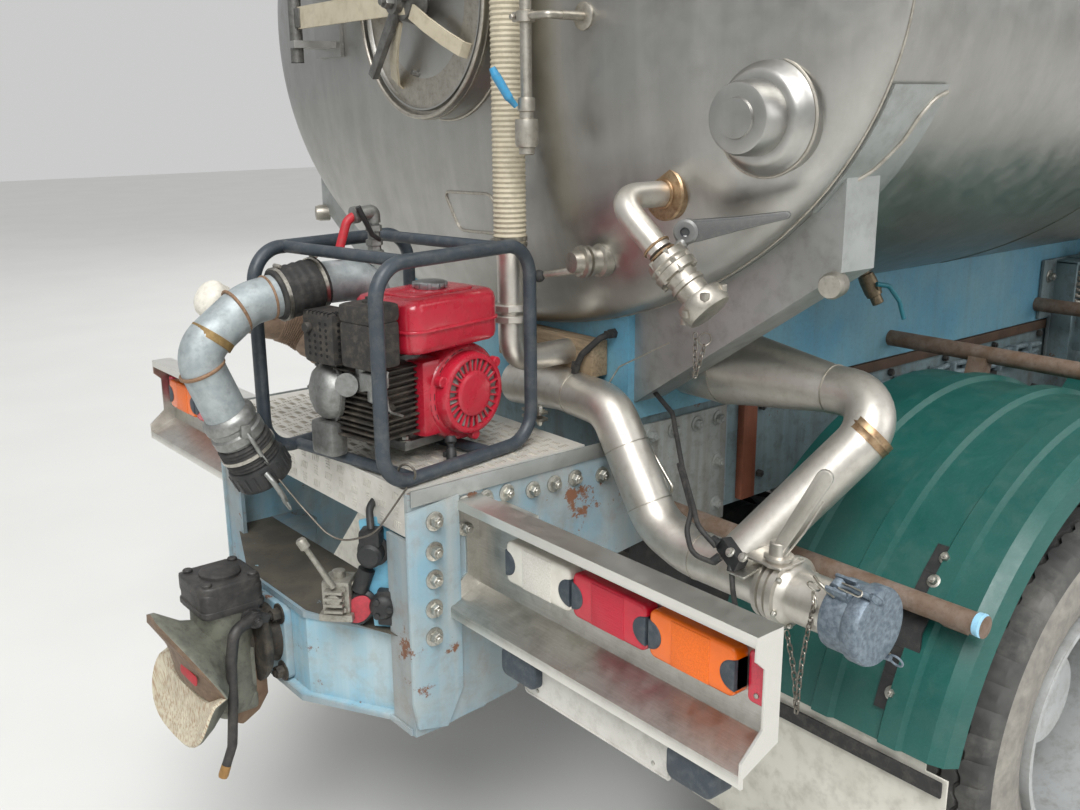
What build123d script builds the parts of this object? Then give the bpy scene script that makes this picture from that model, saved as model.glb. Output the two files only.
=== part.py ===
from build123d import *
import math
import os

# Tanker truck, millimetres. X forward, Y left, Z up, origin on the ground under the middle.

os.makedirs("parts", exist_ok=True)

# Fits
seat_gap = 0.3
panel_gap = 8.0

# Overall layout, with lengths counted forward from the rear bumper's edge
overall_length = 8370.0
coupling_reach = 490.0
tail_x = -overall_length / 2 + coupling_reach
front_x = overall_length / 2
rear_axle_from_tail = 1250.0
bogie_spacing = 1300.0
front_axle_setback = 1380.0
cab_length = 1950.0
cab_tank_gap = 310.0
rear_axle_x = tail_x + rear_axle_from_tail
drive_axle_x = rear_axle_x + bogie_spacing
front_axle_x = front_x - front_axle_setback
cab_rear_x = front_x - cab_length
half_width = 1230.0

# Wheels and tyres
tyre_radius = 500.0
tyre_width = 270.0
tyre_shoulder = 22.0
tread_half = 98.0
bead_radius = 286.0
rim_wall = 14.0
rim_half = 118.0
disc_thickness = 16.0
hub_radius = 112.0
drum_radius = 205.0
dual_outer_y = 1095.0
dual_spacing = 310.0
front_wheel_y = 1030.0
axle_z = tyre_radius

# Axles, knuckles and springs
spindle_radius = 45.0
hub_clearance = 0.3
axle_tube_radius = 68.0
banjo_radius = 215.0
banjo_half = 130.0
axle_tube_end_y = 600.0
shaft_radius = 48.0
kingpin_y = 870.0
kingpin_radius = 22.0
kingpin_boss_radius = 42.0
kingpin_boss_half = 70.0
knuckle_ear = 36.0
knuckle_ear_gap = 4.0
knuckle_plate = 26.0
beam_height = 100.0
beam_depth = 90.0
beam_drop = 110.0
spring_y = 490.0
spring_width = 76.0
leaf_stack = 96.0
leaf_end = 34.0
trunnion_radius = 50.0

# Chassis rails and subframe
rail_outer_y = 430.0
rail_height = 290.0
rail_top_z = 1195.0
rail_flange = 80.0
rail_web = 9.0
rail_bottom_z = rail_top_z - rail_height
rail_rear_x = tail_x + 478.0
rail_front_x = front_x - 300.0
cross_member_depth = 110.0
cross_member_height = 130.0
sub_outer_y = 440.0
sub_inner_y = 372.0
sub_top_z = 1462.0
sub_rear_x = tail_x + 478.0
sub_wall = 10.0

# Tank
tank_half_width = 1105.0
tank_half_height = 730.0
tank_z = 2110.0
tank_rear_x = tail_x + 474.0
head_depth = 170.0
tank_front_x = cab_rear_x - cab_tank_gap - head_depth
tank_barrel = tank_front_x - tank_rear_x
saddle_length = 100.0
pad_thickness = 6.0

# Deck and tail frame
deck_z = 1160.0
deck_thickness = 6.0
deck_rear_x = tail_x - 110.0
deck_front_x = tail_x + 360.0
deck_half = 428.0
deck_lip = 100.0
side_plate = 10.0
post_bottom_z = 620.0
post_flange = 74.0

# Drawbeam and coupling
beam_top_z = 830.0
beam_bottom_z = 620.0
beam_web = 12.0
beam_nose_x = tail_x - 205.0
beam_side_x = tail_x - 97.0
beam_nose_half = 150.0
beam_flange_depth = 190.0
coupling_z = 690.0
coupling_plate = 20.0
coupling_pin_radius = 24.0

# Rear bumper
bumper_top_z = 1120.0
bumper_height = 250.0
bumper_flange = 60.0
bumper_sheet = 5.0
bumper_inner_y = sub_outer_y
lamp_length = 197.0
lamp_pitch = 200.0
lamp_end_gap = 12.0
reflector_length = 40.0
lamp_height = 90.0
lamp_depth = 34.0
lamp_low_z = 978.0

# Mudguards
guard_radius = 728.0
guard_sheet = 6.0
guard_rib = 12.0
guard_inner_y = 650.0
guard_outer_y = 1250.0
guard_rear_angle = 166.5
guard_front_angle = 28.0
guard_meet_gap = 16.0
stay_radius = 22.0
flap_thickness = 5.0
flap_bottom_z = 285.0

# Pump set
pump_tube_radius = 14.5
pump_cross_radius = 12.5
pump_turn = 10.0
frame_length = 432.0
frame_width = 380.0
frame_height = 447.0
frame_corner = 70.0
galvanised_radius = 44.5

# Pipework
pipe_radius = 51.0
head_pipe_radius = 25.5

# Cab
tilt_x = front_x - 85.0
tilt_z = 830.0
tilt_pin_radius = 12.0
tilt_lug_radius = 26.0
lug_sheet = 14.0
lug_gap = 6.0
hinge_barrel_radius = 12.0
hinge_pin_radius = 6.0
hinge_barrel_half = 30.0
hinge_ear = 15.0
cab_face_x = front_x - 45.0
cab_half = 1200.0
cab_floor_z = rail_top_z + 27.0
cab_roof_z = 2850.0
cab_skirt_z = 800.0
step_sheet = 22.0
step_tread = 30.0
step_top_gap = 34.0
step_inner_y = 925.0
front_guard_radius = 612.0
front_guard_lip = 14.0
front_guard_inner_y = 885.0
front_guard_outer_y = 1214.0
front_guard_end_angle = 22.0
step_rear_x = front_axle_x + front_guard_radius + 12.0
cab_wall = 45.0
cab_corner = 150.0
roof_corner = 130.0
cowl_z = 1790.0
glass_thickness = 6.0
glass_inset = 16.0
door_rear_x = front_x - 1180.0
door_front_x = front_x - 265.0
door_bottom_z = 1285.0
door_top_z = 2640.0
sill_z = 1830.0
window_margin = 85.0
tunnel_half = 400.0
tunnel_z = 1480.0
engine_half = 330.0
engine_bottom_z = 700.0
engine_top_z = 1400.0


def block(x, y, z):
    spans = (x, y, z)
    size = [abs(high - low) for low, high in spans]
    middle = [(low + high) / 2 for low, high in spans]
    return Pos(*middle) * Box(*size)


def face_of(points, radius=0.0):
    if radius:
        return Face(Wire(FilletPolyline(*points, radius=radius, close=True).edges()))
    return Face(Wire.make_polygon(points, close=True))


def side_form(points, low_y, high_y, radius=0.0):
    # A side view (x, z) drawn across the width
    face = face_of([(x, low_y, z) for x, z in points], radius)
    return Solid.extrude(face, Vector(0, high_y - low_y, 0))


def end_form(points, low_x, high_x, radius=0.0):
    # An end view (y, z) drawn along the length
    face = face_of([(low_x, y, z) for y, z in points], radius)
    return Solid.extrude(face, Vector(high_x - low_x, 0, 0))


def plan_form(points, low_z, high_z, radius=0.0):
    # A plan (x, y) drawn up
    face = face_of([(x, y, low_z) for x, y in points], radius)
    return Solid.extrude(face, Vector(0, 0, high_z - low_z))


def turned(profile, x, z, y=0.0, arc=360.0):
    # A profile (across, radius) turned about a line along Y
    face = face_of([(x, y + across, z + radius) for across, radius in profile])
    return Solid.revolve(face, arc, Axis((x, 0, z), (0, 1, 0)))


def rod(start, end, radius):
    run = Vector(*end) - Vector(*start)
    return Solid.make_cylinder(radius, run.length, Plane(origin=start, z_dir=run))


def bent_tube(points, bends, radius):
    # A tube of straight runs and tangent bends
    path = FilletPolyline(*points, radius=bends) if len(points) > 2 else Line(*points)
    section = Plane(origin=path @ 0, z_dir=path % 0) * Circle(radius)
    return sweep(sections=section, path=path)


def strip(points, thickness):
    # A sheet of one thickness that follows a line of (x, z) points, laid on the line's left side
    shifted = []
    for i, (x, z) in enumerate(points):
        turns = []
        for a, b in ((i - 1, i), (i, i + 1)):
            if a >= 0 and b < len(points):
                dx, dz = points[b][0] - points[a][0], points[b][1] - points[a][1]
                run = math.hypot(dx, dz)
                turns.append((-dz / run, dx / run))
        nx = sum(n[0] for n in turns)
        nz = sum(n[1] for n in turns)
        size = math.hypot(nx, nz)
        nx, nz = nx / size, nz / size
        mitre = thickness / (nx * turns[0][0] + nz * turns[0][1])
        shifted.append((x + nx * mitre, z + nz * mitre))
    return list(points) + shifted[::-1]


def mirrored(shape):
    return mirror(shape, about=Plane.XZ)


def union(shapes):
    total = shapes[0]
    for shape in shapes[1:]:
        total = total + shape
    return total


def save(node, *shapes):
    solids = []
    for shape in shapes:
        solids += shape.solids()
    whole = solids[0] if len(solids) == 1 else Compound(children=solids)
    export_step(whole, f"parts/{node}.step")


def tank_form(grow=0.0, low_x=tank_rear_x, high_x=tank_front_x):
    # The barrel's ellipse, larger all round by grow
    oval = Plane.YZ * Ellipse(tank_half_width + grow, tank_half_height + grow)
    face = Face(Wire(oval.edges()))
    return Pos(low_x, 0, tank_z) * Solid.extrude(face, Vector(high_x - low_x, 0, 0))


def head_x(y, z):
    # The rear head's surface at a place across and up
    inside = 1 - (y / tank_half_width) ** 2 - ((z - tank_z) / tank_half_height) ** 2
    return tank_rear_x - head_depth * math.sqrt(max(inside, 0.0))


def head_form(grow=0.0):
    by = tuple((size + grow) / 1000 for size in (head_depth, tank_half_width, tank_half_height))
    return Pos(tank_rear_x, 0, tank_z) * scale(Sphere(1000), by=by)


# Tank: elliptical barrel with dished heads
barrel = tank_form()
rear_head = head_form()
tank_shell = barrel + rear_head + Pos(tank_barrel, 0, 0) * head_form()
tank_seat = tank_form(seat_gap, tank_rear_x - 1, tank_front_x + 1) + head_form(seat_gap)
save("tank_shell", tank_shell)


# Chassis: two channel rails joined by cross members
def rail():
    web = block((rail_rear_x, rail_front_x), (rail_outer_y - rail_web, rail_outer_y), (rail_bottom_z, rail_top_z))
    flanges = [
        block((rail_rear_x, rail_front_x), (rail_outer_y - rail_flange, rail_outer_y), (low, low + rail_web))
        for low in (rail_bottom_z, rail_top_z - rail_web)
    ]
    return union([web] + flanges)


cross_member_x = [
    rail_rear_x + 90.0,
    (rear_axle_x + drive_axle_x) / 2,
    drive_axle_x + 620.0,
    (drive_axle_x + front_axle_x) / 2 + 300.0,
    front_axle_x - 260.0,
    rail_front_x - cross_member_depth / 2,
]
cross_top_z = rail_top_z - 40.0
cross_members = [
    block(
        (x - cross_member_depth / 2, x + cross_member_depth / 2),
        (-rail_outer_y + rail_web / 2, rail_outer_y - rail_web / 2),
        (cross_top_z - cross_member_height, cross_top_z),
    )
    for x in cross_member_x
]
cab_rest = block((cab_rear_x + 160, cab_rear_x + 260), (rail_outer_y - rail_flange, rail_outer_y), (rail_top_z - 1, cab_floor_z - seat_gap))
chassis_frame = union([rail(), mirrored(rail()), cab_rest, mirrored(cab_rest)] + cross_members)
save("chassis_frame", chassis_frame)

# Subframe: two beams on the rails, shaped to the tank's underside, with a rear cross plate
sub_front_x = tank_front_x - 60.0
beam = block((sub_rear_x, sub_front_x), (sub_inner_y, sub_outer_y), (rail_top_z, sub_top_z))
sub_cross = [
    block((x, x + sub_wall * 2), (-sub_inner_y, sub_inner_y), (rail_top_z, sub_top_z))
    for x in (sub_rear_x, (sub_rear_x + sub_front_x) / 2, sub_front_x - sub_wall * 2)
]
subframe = union([beam, mirrored(beam)] + sub_cross) - tank_seat
save("subframe", subframe)

# Saddles: outriggers from the subframe out to the tank's side
wing_outer_y = 978.0
wing_end_z = 1590.0
wing_root_z = 1235.0
wing_tip_z = 1800.0


def wing(x, length):
    outline = [
        (sub_outer_y, wing_root_z),
        (sub_outer_y, wing_tip_z),
        (wing_outer_y, wing_tip_z),
        (wing_outer_y, wing_end_z),
    ]
    return end_form(outline, x, x + length) - tank_form(seat_gap, x - 1, x + length + 1)


rear_wing_x = tail_x + 498.0
pad_width = 150.0
pad_low_y = wing_outer_y - 60.0
pad_high_z = tank_z - 190.0
pad_ring = tank_form(pad_thickness + seat_gap, rear_wing_x - 15, rear_wing_x + pad_width) - tank_form(
    seat_gap, rear_wing_x - 16, rear_wing_x + pad_width + 1
)
pad_cut = block((rear_wing_x - 15, rear_wing_x + pad_width), (pad_low_y, tank_half_width + 50), (1600.0, pad_high_z))
rear_wing = wing(rear_wing_x, saddle_length) - tank_form(
    pad_thickness + seat_gap, rear_wing_x - 1, rear_wing_x + saddle_length + 1
)
inner_wing = wing(rear_wing_x, saddle_length) & block(
    (rear_wing_x, rear_wing_x + saddle_length), (sub_outer_y, pad_low_y), (wing_root_z, wing_tip_z)
)
rear_saddle_side = inner_wing + rear_wing + (pad_ring & pad_cut)
first_saddle_x = drive_axle_x + 120.0
last_saddle_x = tank_front_x - 350.0
saddle_x = [first_saddle_x, first_saddle_x * 0.7 + last_saddle_x * 0.3, last_saddle_x]
saddles = [rear_saddle_side] + [wing(x, saddle_length * 0.8) for x in saddle_x]
save("tank_saddles", *saddles, *[mirrored(one) for one in saddles])

# Tail frame: side plates with corner posts outside the rails, and deck bearers between them
plate_front_x = tail_x + 820.0
plate_rear_x = deck_rear_x - 5.0
deck_under_z = deck_z - deck_thickness
side_outline = [
    (plate_rear_x, post_bottom_z),
    (plate_rear_x, deck_under_z),
    (plate_front_x, deck_under_z),
    (plate_front_x, rail_bottom_z + 20),
    (tail_x + 330.0, rail_bottom_z - 40),
    (tail_x + 150.0, 640.0),
    (plate_rear_x + 60.0, post_bottom_z),
]
side = side_form(side_outline, rail_outer_y, rail_outer_y + side_plate)
post = block(
    (plate_rear_x, plate_rear_x + side_plate),
    (rail_outer_y - post_flange, rail_outer_y),
    (post_bottom_z, deck_under_z - deck_lip),
)
bearers = [
    block((x, x + 60.0), (-rail_outer_y, rail_outer_y), (deck_under_z - 70.0, deck_under_z))
    for x in (deck_rear_x + 40.0, deck_front_x - 75.0)
]
tail_frame = union([side, mirrored(side), post, mirrored(post)] + bearers)
save("tail_frame", tail_frame)

# Deck: folded checker plate between the side plates
deck_plate = block((deck_rear_x, deck_front_x), (-deck_half, deck_half), (deck_under_z, deck_z)) + block(
    (deck_rear_x, deck_rear_x + deck_thickness), (-deck_half, deck_half), (deck_z - deck_lip, deck_z)
)
save("deck_plate", deck_plate)


# Drawbeam: a plate beam whose middle stands back to carry the coupling
def beam_outline(back, reach):
    bend_y = rail_outer_y - post_flange - 12
    rear = [
        (beam_side_x - back, -rail_outer_y),
        (beam_side_x - back, -bend_y),
        (beam_nose_x - back, -beam_nose_half),
        (beam_nose_x - back, beam_nose_half),
        (beam_side_x - back, bend_y),
        (beam_side_x - back, rail_outer_y),
    ]
    front = [(x + reach, y) for x, y in rear[::-1]]
    return rear + front


flange_thickness = 14.0
drawbeam = union(
    [
        plan_form(beam_outline(0, beam_web), beam_bottom_z, beam_top_z),
        plan_form(beam_outline(6, beam_flange_depth), beam_top_z - flange_thickness, beam_top_z),
        plan_form(beam_outline(22, beam_flange_depth), beam_bottom_z, beam_bottom_z + flange_thickness),
    ]
)
post_room = block(
    (plate_rear_x - seat_gap, plate_rear_x + side_plate + seat_gap),
    (rail_outer_y - post_flange - seat_gap, rail_outer_y + 1),
    (post_bottom_z - 1, deck_z),
)
drawbeam = drawbeam - post_room - mirrored(post_room)
save("drawbeam", drawbeam)

# Tow coupling: mounting flange, body with pin, lever and flared mouth
coupling_flange_x = beam_nose_x - seat_gap
body_x = tail_x - 330.0
mouth_x = tail_x - coupling_reach
mouth_low_z = 535.0
mouth_high_z = 850.0
mouth_half = 165.0
mouth_wall = 12.0
jaw_low_z = coupling_z - 55.0
jaw_high_z = coupling_z + 55.0
jaw_half = 62.0
jaw_x = tail_x - 385.0
flange_plate = block(
    (coupling_flange_x - coupling_plate, coupling_flange_x),
    (-80.0, 80.0),
    (beam_bottom_z + flange_thickness + 1, beam_top_z - flange_thickness - 1),
)
neck = rod((coupling_flange_x, 0, coupling_z), (body_x, 0, coupling_z), 52.0)
body = rod((body_x, 0, coupling_z - 110), (body_x, 0, coupling_z + 150), 66.0)
cap_outline = [(body_x - 70, -72.0), (body_x + 75, -72.0), (body_x + 75, 72.0), (body_x - 70, 72.0)]
cap = plan_form(cap_outline, coupling_z + 140, coupling_z + 214, radius=24.0)
cap_crown = rod((body_x, 0, coupling_z + 200), (body_x, 0, coupling_z + 228), 50.0)
foot_nut = rod((body_x, 0, coupling_z - 128), (body_x, 0, coupling_z - 105), 40.0)
neck_root = [(-74.0, coupling_z - 53), (74.0, coupling_z - 53), (74.0, coupling_z + 66), (-74.0, coupling_z + 66)]
neck_collar = end_form(neck_root, coupling_flange_x - coupling_plate - 24, coupling_flange_x - 2, radius=22.0)


def mouth(grow):
    # From the jaw to the lip through one section between, each an upright form with round corners
    rows = [  # x, half width, low z, high z, corner
        (jaw_x + 30, jaw_half, jaw_low_z, jaw_high_z, 26.0),
        (jaw_x - 30, jaw_half + 34, jaw_low_z - 46, jaw_high_z + 42, 44.0),
        (mouth_x, mouth_half, mouth_low_z + mouth_wall, mouth_high_z - mouth_wall, 78.0),
    ]
    wires = []
    for x, half, low, high, corner in rows:
        points = [(x, -half - grow, low - grow), (x, half + grow, low - grow), (x, half + grow, high + grow), (x, -half - grow, high + grow)]
        wires.append(face_of(points, corner + grow).outer_wire())
    return Solid.make_loft(wires, ruled=True)


throat = block((mouth_x - 1, body_x + 36), (-jaw_half + 14, jaw_half - 14), (jaw_low_z, jaw_high_z))
pin = rod((body_x - 6, 0, coupling_z - 70), (body_x - 6, 0, coupling_z + 70), coupling_pin_radius)
hand_lever = bent_tube(
    [
        (body_x + 20, -60.0, coupling_z + 115),
        (body_x + 20, -125.0, coupling_z + 115),
        (body_x + 35, -130.0, coupling_z + 30),
        (body_x - 10, -130.0, coupling_z - 250),
    ],
    [26, 24],
    9.0,
)
coupling_body = union([flange_plate, neck_collar, neck, body, foot_nut, cap, cap_crown, mouth(mouth_wall)])
tow_coupling = coupling_body - mouth(0) - throat + pin + hand_lever
save("tow_coupling", tow_coupling)

# Rear bumper: a folded stainless channel each side, with end plates
back_x = tail_x + bumper_flange
bumper_low_z = bumper_top_z - bumper_height
bumper_line = [
    (tail_x, bumper_top_z - 20),
    (tail_x, bumper_top_z),
    (back_x, bumper_top_z),
    (back_x, bumper_low_z + 50),
    (tail_x - 20, bumper_low_z + 18),
    (tail_x - 20, bumper_low_z),
]
bumper_sheet_form = side_form(strip(bumper_line, -bumper_sheet), bumper_inner_y, half_width)
end_outline = [
    (tail_x, bumper_top_z),
    (back_x, bumper_top_z),
    (back_x, bumper_low_z + 50),
    (tail_x - 20, bumper_low_z + 18),
    (tail_x - 20, bumper_low_z),
    (tail_x - 26, bumper_low_z),
    (tail_x - 26, bumper_low_z + 45),
    (tail_x + 22, bumper_low_z + 85),
    (tail_x + 22, bumper_top_z - 62),
    (tail_x, bumper_top_z - 42),
]
end_plates = [
    side_form(end_outline, y, y + bumper_sheet) for y in (bumper_inner_y, half_width - bumper_sheet)
]
bumper_arm = block((back_x, back_x + 60), (bumper_inner_y, bumper_inner_y + 120), (bumper_low_z + 70, bumper_top_z - 30))
bumper_half = union([bumper_sheet_form, bumper_arm] + end_plates)
save("rear_bumper", bumper_half, mirrored(bumper_half))

# Rear lamps on the bumper's back wall: white, red and amber, with a reflector at the end
lamp_face_x = back_x - bumper_sheet
lamps = []
reflector_y = half_width - lamp_end_gap - reflector_length
lamp_rows = [(reflector_y - 6.0 - i * lamp_pitch, lamp_length) for i in (3, 2, 1)] + [(reflector_y, reflector_length)]
for inner_y, length in lamp_rows:
    low, high = inner_y, inner_y + length
    outline = [
        (lamp_face_x, lamp_low_z),
        (lamp_face_x, lamp_low_z + lamp_height),
        (lamp_face_x - lamp_depth + 8, lamp_low_z + lamp_height),
        (lamp_face_x - lamp_depth, lamp_low_z + lamp_height - 12),
        (lamp_face_x - lamp_depth, lamp_low_z + 12),
        (lamp_face_x - lamp_depth + 8, lamp_low_z),
    ]
    lamps.append(side_form(outline, low, high))
save("rear_lamps", *lamps, *[mirrored(lamp) for lamp in lamps])


# Manway: a ring on the rear head, and a lid that swings on its left side
manway_radius = 250.0
manway_wall = 10.0
manway_rim_x = tail_x + 240.0
hinge_y = 560.0
hinge_x = manway_rim_x - 14.0
ring_blank = rod((manway_rim_x, 0, tank_z), (tank_rear_x, 0, tank_z), manway_radius)
ring_hollow = rod((manway_rim_x - 1, 0, tank_z), (tank_rear_x, 0, tank_z), manway_radius - manway_wall)
hinge_half = 55.0
ring_side = ring_blank - ring_hollow
hinge_wall_x = head_x(hinge_y, tank_z)
lug_outline = [
    (hinge_x - 18, hinge_y - 20),
    (hinge_x - 18, hinge_y + 20),
    (hinge_wall_x + 60, hinge_y + 75),
    (hinge_wall_x + 60, hinge_y - 75),
]
lug_z = [(tank_z - hinge_half - 18, tank_z - hinge_half), (tank_z + hinge_half, tank_z + hinge_half + 18)]
hinge_plate = plan_form(
    [
        (hinge_wall_x - 16, hinge_y - 78),
        (hinge_wall_x - 6, hinge_y + 78),
        (hinge_wall_x + 60, hinge_y + 78),
        (hinge_wall_x + 60, hinge_y - 78),
    ],
    tank_z - hinge_half - 40,
    tank_z + hinge_half + 40,
)
hinge_hole = rod((hinge_x, hinge_y, tank_z - 90), (hinge_x, hinge_y, tank_z + 90), 9.0 + seat_gap)
lugs = [plan_form(lug_outline, low, high) for low, high in lug_z]
hinge_bracket = union([hinge_plate] + lugs) - head_form(seat_gap) - hinge_hole
manway_ring = ring_side - head_form(seat_gap)
save(
    "manway_ring",
    max(manway_ring.solids(), key=lambda one: one.volume),
    max(hinge_bracket.solids(), key=lambda one: one.volume),
)

lid_radius = manway_radius - manway_wall - 8.0
lid_plate = rod((manway_rim_x + 16, 0, tank_z), (manway_rim_x + 28, 0, tank_z), lid_radius)
lid_hub = rod((manway_rim_x - 50, 0, tank_z), (manway_rim_x + 18, 0, tank_z), 42.0)
lid_arm = plan_form(
    [
        (manway_rim_x - 48, -22.0),
        (manway_rim_x - 24, -22.0),
        (manway_rim_x - 16, manway_radius),
        (hinge_x + 13, hinge_y),
        (hinge_x, hinge_y + 14),
        (hinge_x - 13, hinge_y),
        (manway_rim_x - 48, 60.0),
    ],
    tank_z - 28,
    tank_z + 28,
)
lid_barrel = rod((hinge_x, hinge_y, tank_z - hinge_half + 6), (hinge_x, hinge_y, tank_z + hinge_half - 6), 17.0)
lid_pin = rod((hinge_x, hinge_y, tank_z - hinge_half - 16), (hinge_x, hinge_y, tank_z + hinge_half + 16), 9.0)
lid_bars = [
    rod((manway_rim_x - 36, 0, tank_z), (manway_rim_x - 60, y, tank_z + up), 13.0)
    for y, up in ((110.0, -155.0), (-110.0, 60.0))
]
manway_lid = union([lid_plate, lid_hub, lid_arm, lid_barrel, lid_pin] + lid_bars)
save("manway_lid", manway_lid)


# Fittings on the rear head: boss, level pipe, sample valve and a blank plate frame
def on_head(y, z, reach, radius, tip_radius=None):
    # A round stub that stands off the head by reach at (y, z)
    x = head_x(y, z)
    tip = radius * 0.98 if tip_radius is None else tip_radius
    stub = Solid.make_cone(radius, tip, reach + 60.0, Plane(origin=(x + 60.0, y, z), z_dir=(-1, 0, 0)))
    return stub - head_form(seat_gap)


boss_y, boss_z = -880.0, 1866.0
boss = on_head(boss_y, boss_z, 34.0, 102.0, 84.0) + on_head(boss_y, boss_z, 92.0, 66.0, 58.0)
level_x = head_x(-330.0, 2060.0) - 85.0
level_pipe = union(
    [
        rod((level_x, -400.0, tank_z - 260.0), (level_x, -400.0, tank_z + 310.0), 12.0),
        rod((level_x, -400.0, 1790.0), (level_x, -400.0, 1862.0), 21.0),
        rod((level_x, -400.0, 2060.0), (head_x(-400.0, 2060.0) + 40, -400.0, 2060.0), 11.0),
        rod((level_x, -400.0, 2418.0), (head_x(-400.0, 2418.0) + 60, -400.0, 2418.0), 12.0),
    ]
) - head_form(seat_gap)
valve_y, valve_z = -455.0, 1572.0
valve_x = head_x(valve_y, valve_z) - 40.0
sample_valve = on_head(valve_y, valve_z, 66.0, 34.0) + rod(
    (valve_x, valve_y, valve_z), (valve_x, valve_y + 72.0, valve_z - 6.0), 13.0
)
save("head_fittings", boss, level_pipe, sample_valve)

# Vent hose: down the rear head to a pipe and union at the subframe
hose_radius = 36.0
hose_y = -manway_radius - hose_radius - 5.0
hose_x = head_x(hose_y, tank_z) - 46.0
hose_low_z = 1590.0
foot_radius = 29.0
union_z = (1425.0, 1470.0)
foot_z = tank_z - tank_half_height - foot_radius - 9.0
hose_foot = bent_tube(
    [(hose_x, hose_y, hose_low_z), (hose_x, hose_y, foot_z), (sub_rear_x - seat_gap, hose_y, foot_z)],
    [60],
    foot_radius,
) + rod((hose_x, hose_y, union_z[0]), (hose_x, hose_y, union_z[1]), 41.0)
hose_top_z = tank_z + tank_half_height + 60.0
hose_end_x = tank_rear_x + 260.0
vent_hose = bent_tube(
    [
        (hose_x, hose_y, hose_low_z),
        (hose_x, hose_y, hose_top_z),
        (hose_end_x, hose_y, hose_top_z),
        (hose_end_x, hose_y, tank_z + tank_half_height - 60.0),
    ],
    [110, 55],
    hose_radius,
) - tank_form(seat_gap)
save("vent_hose", hose_foot, vent_hose)

# Upper outlet: pipe from the head, butterfly valve, lever and cap
outlet_y, outlet_z = -650.0, 1722.0
outlet_x = head_x(outlet_y, outlet_z)
elbow = (outlet_x - 130.0, outlet_y, outlet_z)
valve_from = (outlet_x - 105.0, outlet_y - 95.0, outlet_z - 95.0)
valve_to = (outlet_x - 80.0, outlet_y - 190.0, outlet_z - 190.0)
cap_to = (outlet_x - 68.0, outlet_y - 236.0, outlet_z - 236.0)
upper_outlet = union(
    [
        bent_tube([(outlet_x + 70.0, outlet_y, outlet_z), elbow, valve_from], [46], head_pipe_radius),
        rod((outlet_x + 40.0, outlet_y, outlet_z), (outlet_x - 6.0, outlet_y, outlet_z), 52.0),
        rod(valve_from, valve_to, 40.0),
        rod(valve_to, cap_to, 48.0),
    ]
) - head_form(seat_gap)
lever_root = ((valve_from[0] + valve_to[0]) / 2, (valve_from[1] + valve_to[1]) / 2, (valve_from[2] + valve_to[2]) / 2)
outlet_lever = rod(lever_root, (lever_root[0] - 5, lever_root[1] - 20, lever_root[2] + 70.0), 11.0) + rod(
    (lever_root[0] - 5, lever_root[1] - 20, lever_root[2] + 70.0),
    (lever_root[0] - 30, lever_root[1] - 200.0, lever_root[2] + 115.0),
    12.0,
)
save("upper_outlet", upper_outlet + outlet_lever)

# Transfer pipes: from the pump side and from the tank's sump, joining at the transfer valve
run_x = tail_x + 420.0
run_z = 976.0
sump_radius = 88.0
tee_y = -905.0
pump_side = [  # from the deck, over the side plate and down to the tee
    (run_x, -110.0, 1235.0),
    (run_x, -290.0, 1252.0),
    (run_x, -448.0, 1240.0),
    (run_x, -600.0, run_z + 32.0),
    (run_x, -700.0, run_z),
    (run_x, tee_y - 10.0, run_z),
]
pump_pipe = bent_tube(pump_side, [160, 85, 120, 200], pipe_radius)
sump_x = rear_wing_x + saddle_length + sump_radius + 6.0
sump_z = 1312.0
cone_y = (-560.0, -835.0)
sump_stub = rod((sump_x, -sub_outer_y - seat_gap, sump_z), (sump_x, cone_y[0], sump_z), sump_radius)
cone_height = cone_y[0] - cone_y[1]
sump_cone = Solid.make_cone(
    sump_radius, pipe_radius, cone_height, Plane(origin=(sump_x, cone_y[0], sump_z), z_dir=(0, -1, 0))
)
sump_pipe = bent_tube(
    [(sump_x, cone_y[1] + 5, sump_z), (sump_x, -1000.0, sump_z), (run_x + 5, tee_y + 80, run_z + 18)],
    [82],
    pipe_radius,
)
save("transfer_pipes", union([pump_pipe, sump_stub, sump_cone, sump_pipe]))

# Transfer valve: flange, body, outlet adaptor and dust cap, facing right
valve_rows = [  # from y, to y, radius
    (tee_y - 10.0 - seat_gap, tee_y - 40.0, 66.0),
    (tee_y - 39.0, tee_y - 70.0, 74.0),
    (tee_y - 69.0, tee_y - 170.0, 54.0),
    (tee_y - 168.0, tee_y - 225.0, 70.0),
    (tee_y - 222.0, tee_y - 262.0, 76.0),
]
valve_pieces = [rod((run_x, low, run_z), (run_x, high, run_z), radius) for low, high, radius in valve_rows]
valve_stem = rod((run_x, tee_y - 55.0, run_z), (run_x - 20.0, tee_y - 55.0, run_z + 105.0), 20.0)
valve_lever = bent_tube(
    [
        (run_x - 20.0, tee_y - 55.0, run_z + 104.0),
        (run_x - 60.0, tee_y - 90.0, run_z + 170.0),
        (run_x - 20.0, tee_y - 160.0, run_z + 300.0),
    ],
    [60],
    11.0,
)
save("transfer_valve", union(valve_pieces + [valve_stem, valve_lever]))


# Pump set: two side loops of tube joined across, set on the deck at a slight turn
pump_place = Pos(tail_x - 155.0, -425.0, 0) * Rot(0, 0, pump_turn)
loop_low_z = deck_z + pump_tube_radius
loop_high_z = deck_z + frame_height


def side_loop(y):
    # Two bent halves that meet at the middle of the top and bottom tubes
    middle = frame_length / 2
    halves = []
    for end_x in (0, frame_length):
        corners = [(middle, loop_low_z), (end_x, loop_low_z), (end_x, loop_high_z), (middle, loop_high_z)]
        halves.append(bent_tube([(x, y, z) for x, z in corners], [frame_corner] * 2, pump_tube_radius))
    return halves[0] + halves[1]


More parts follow.
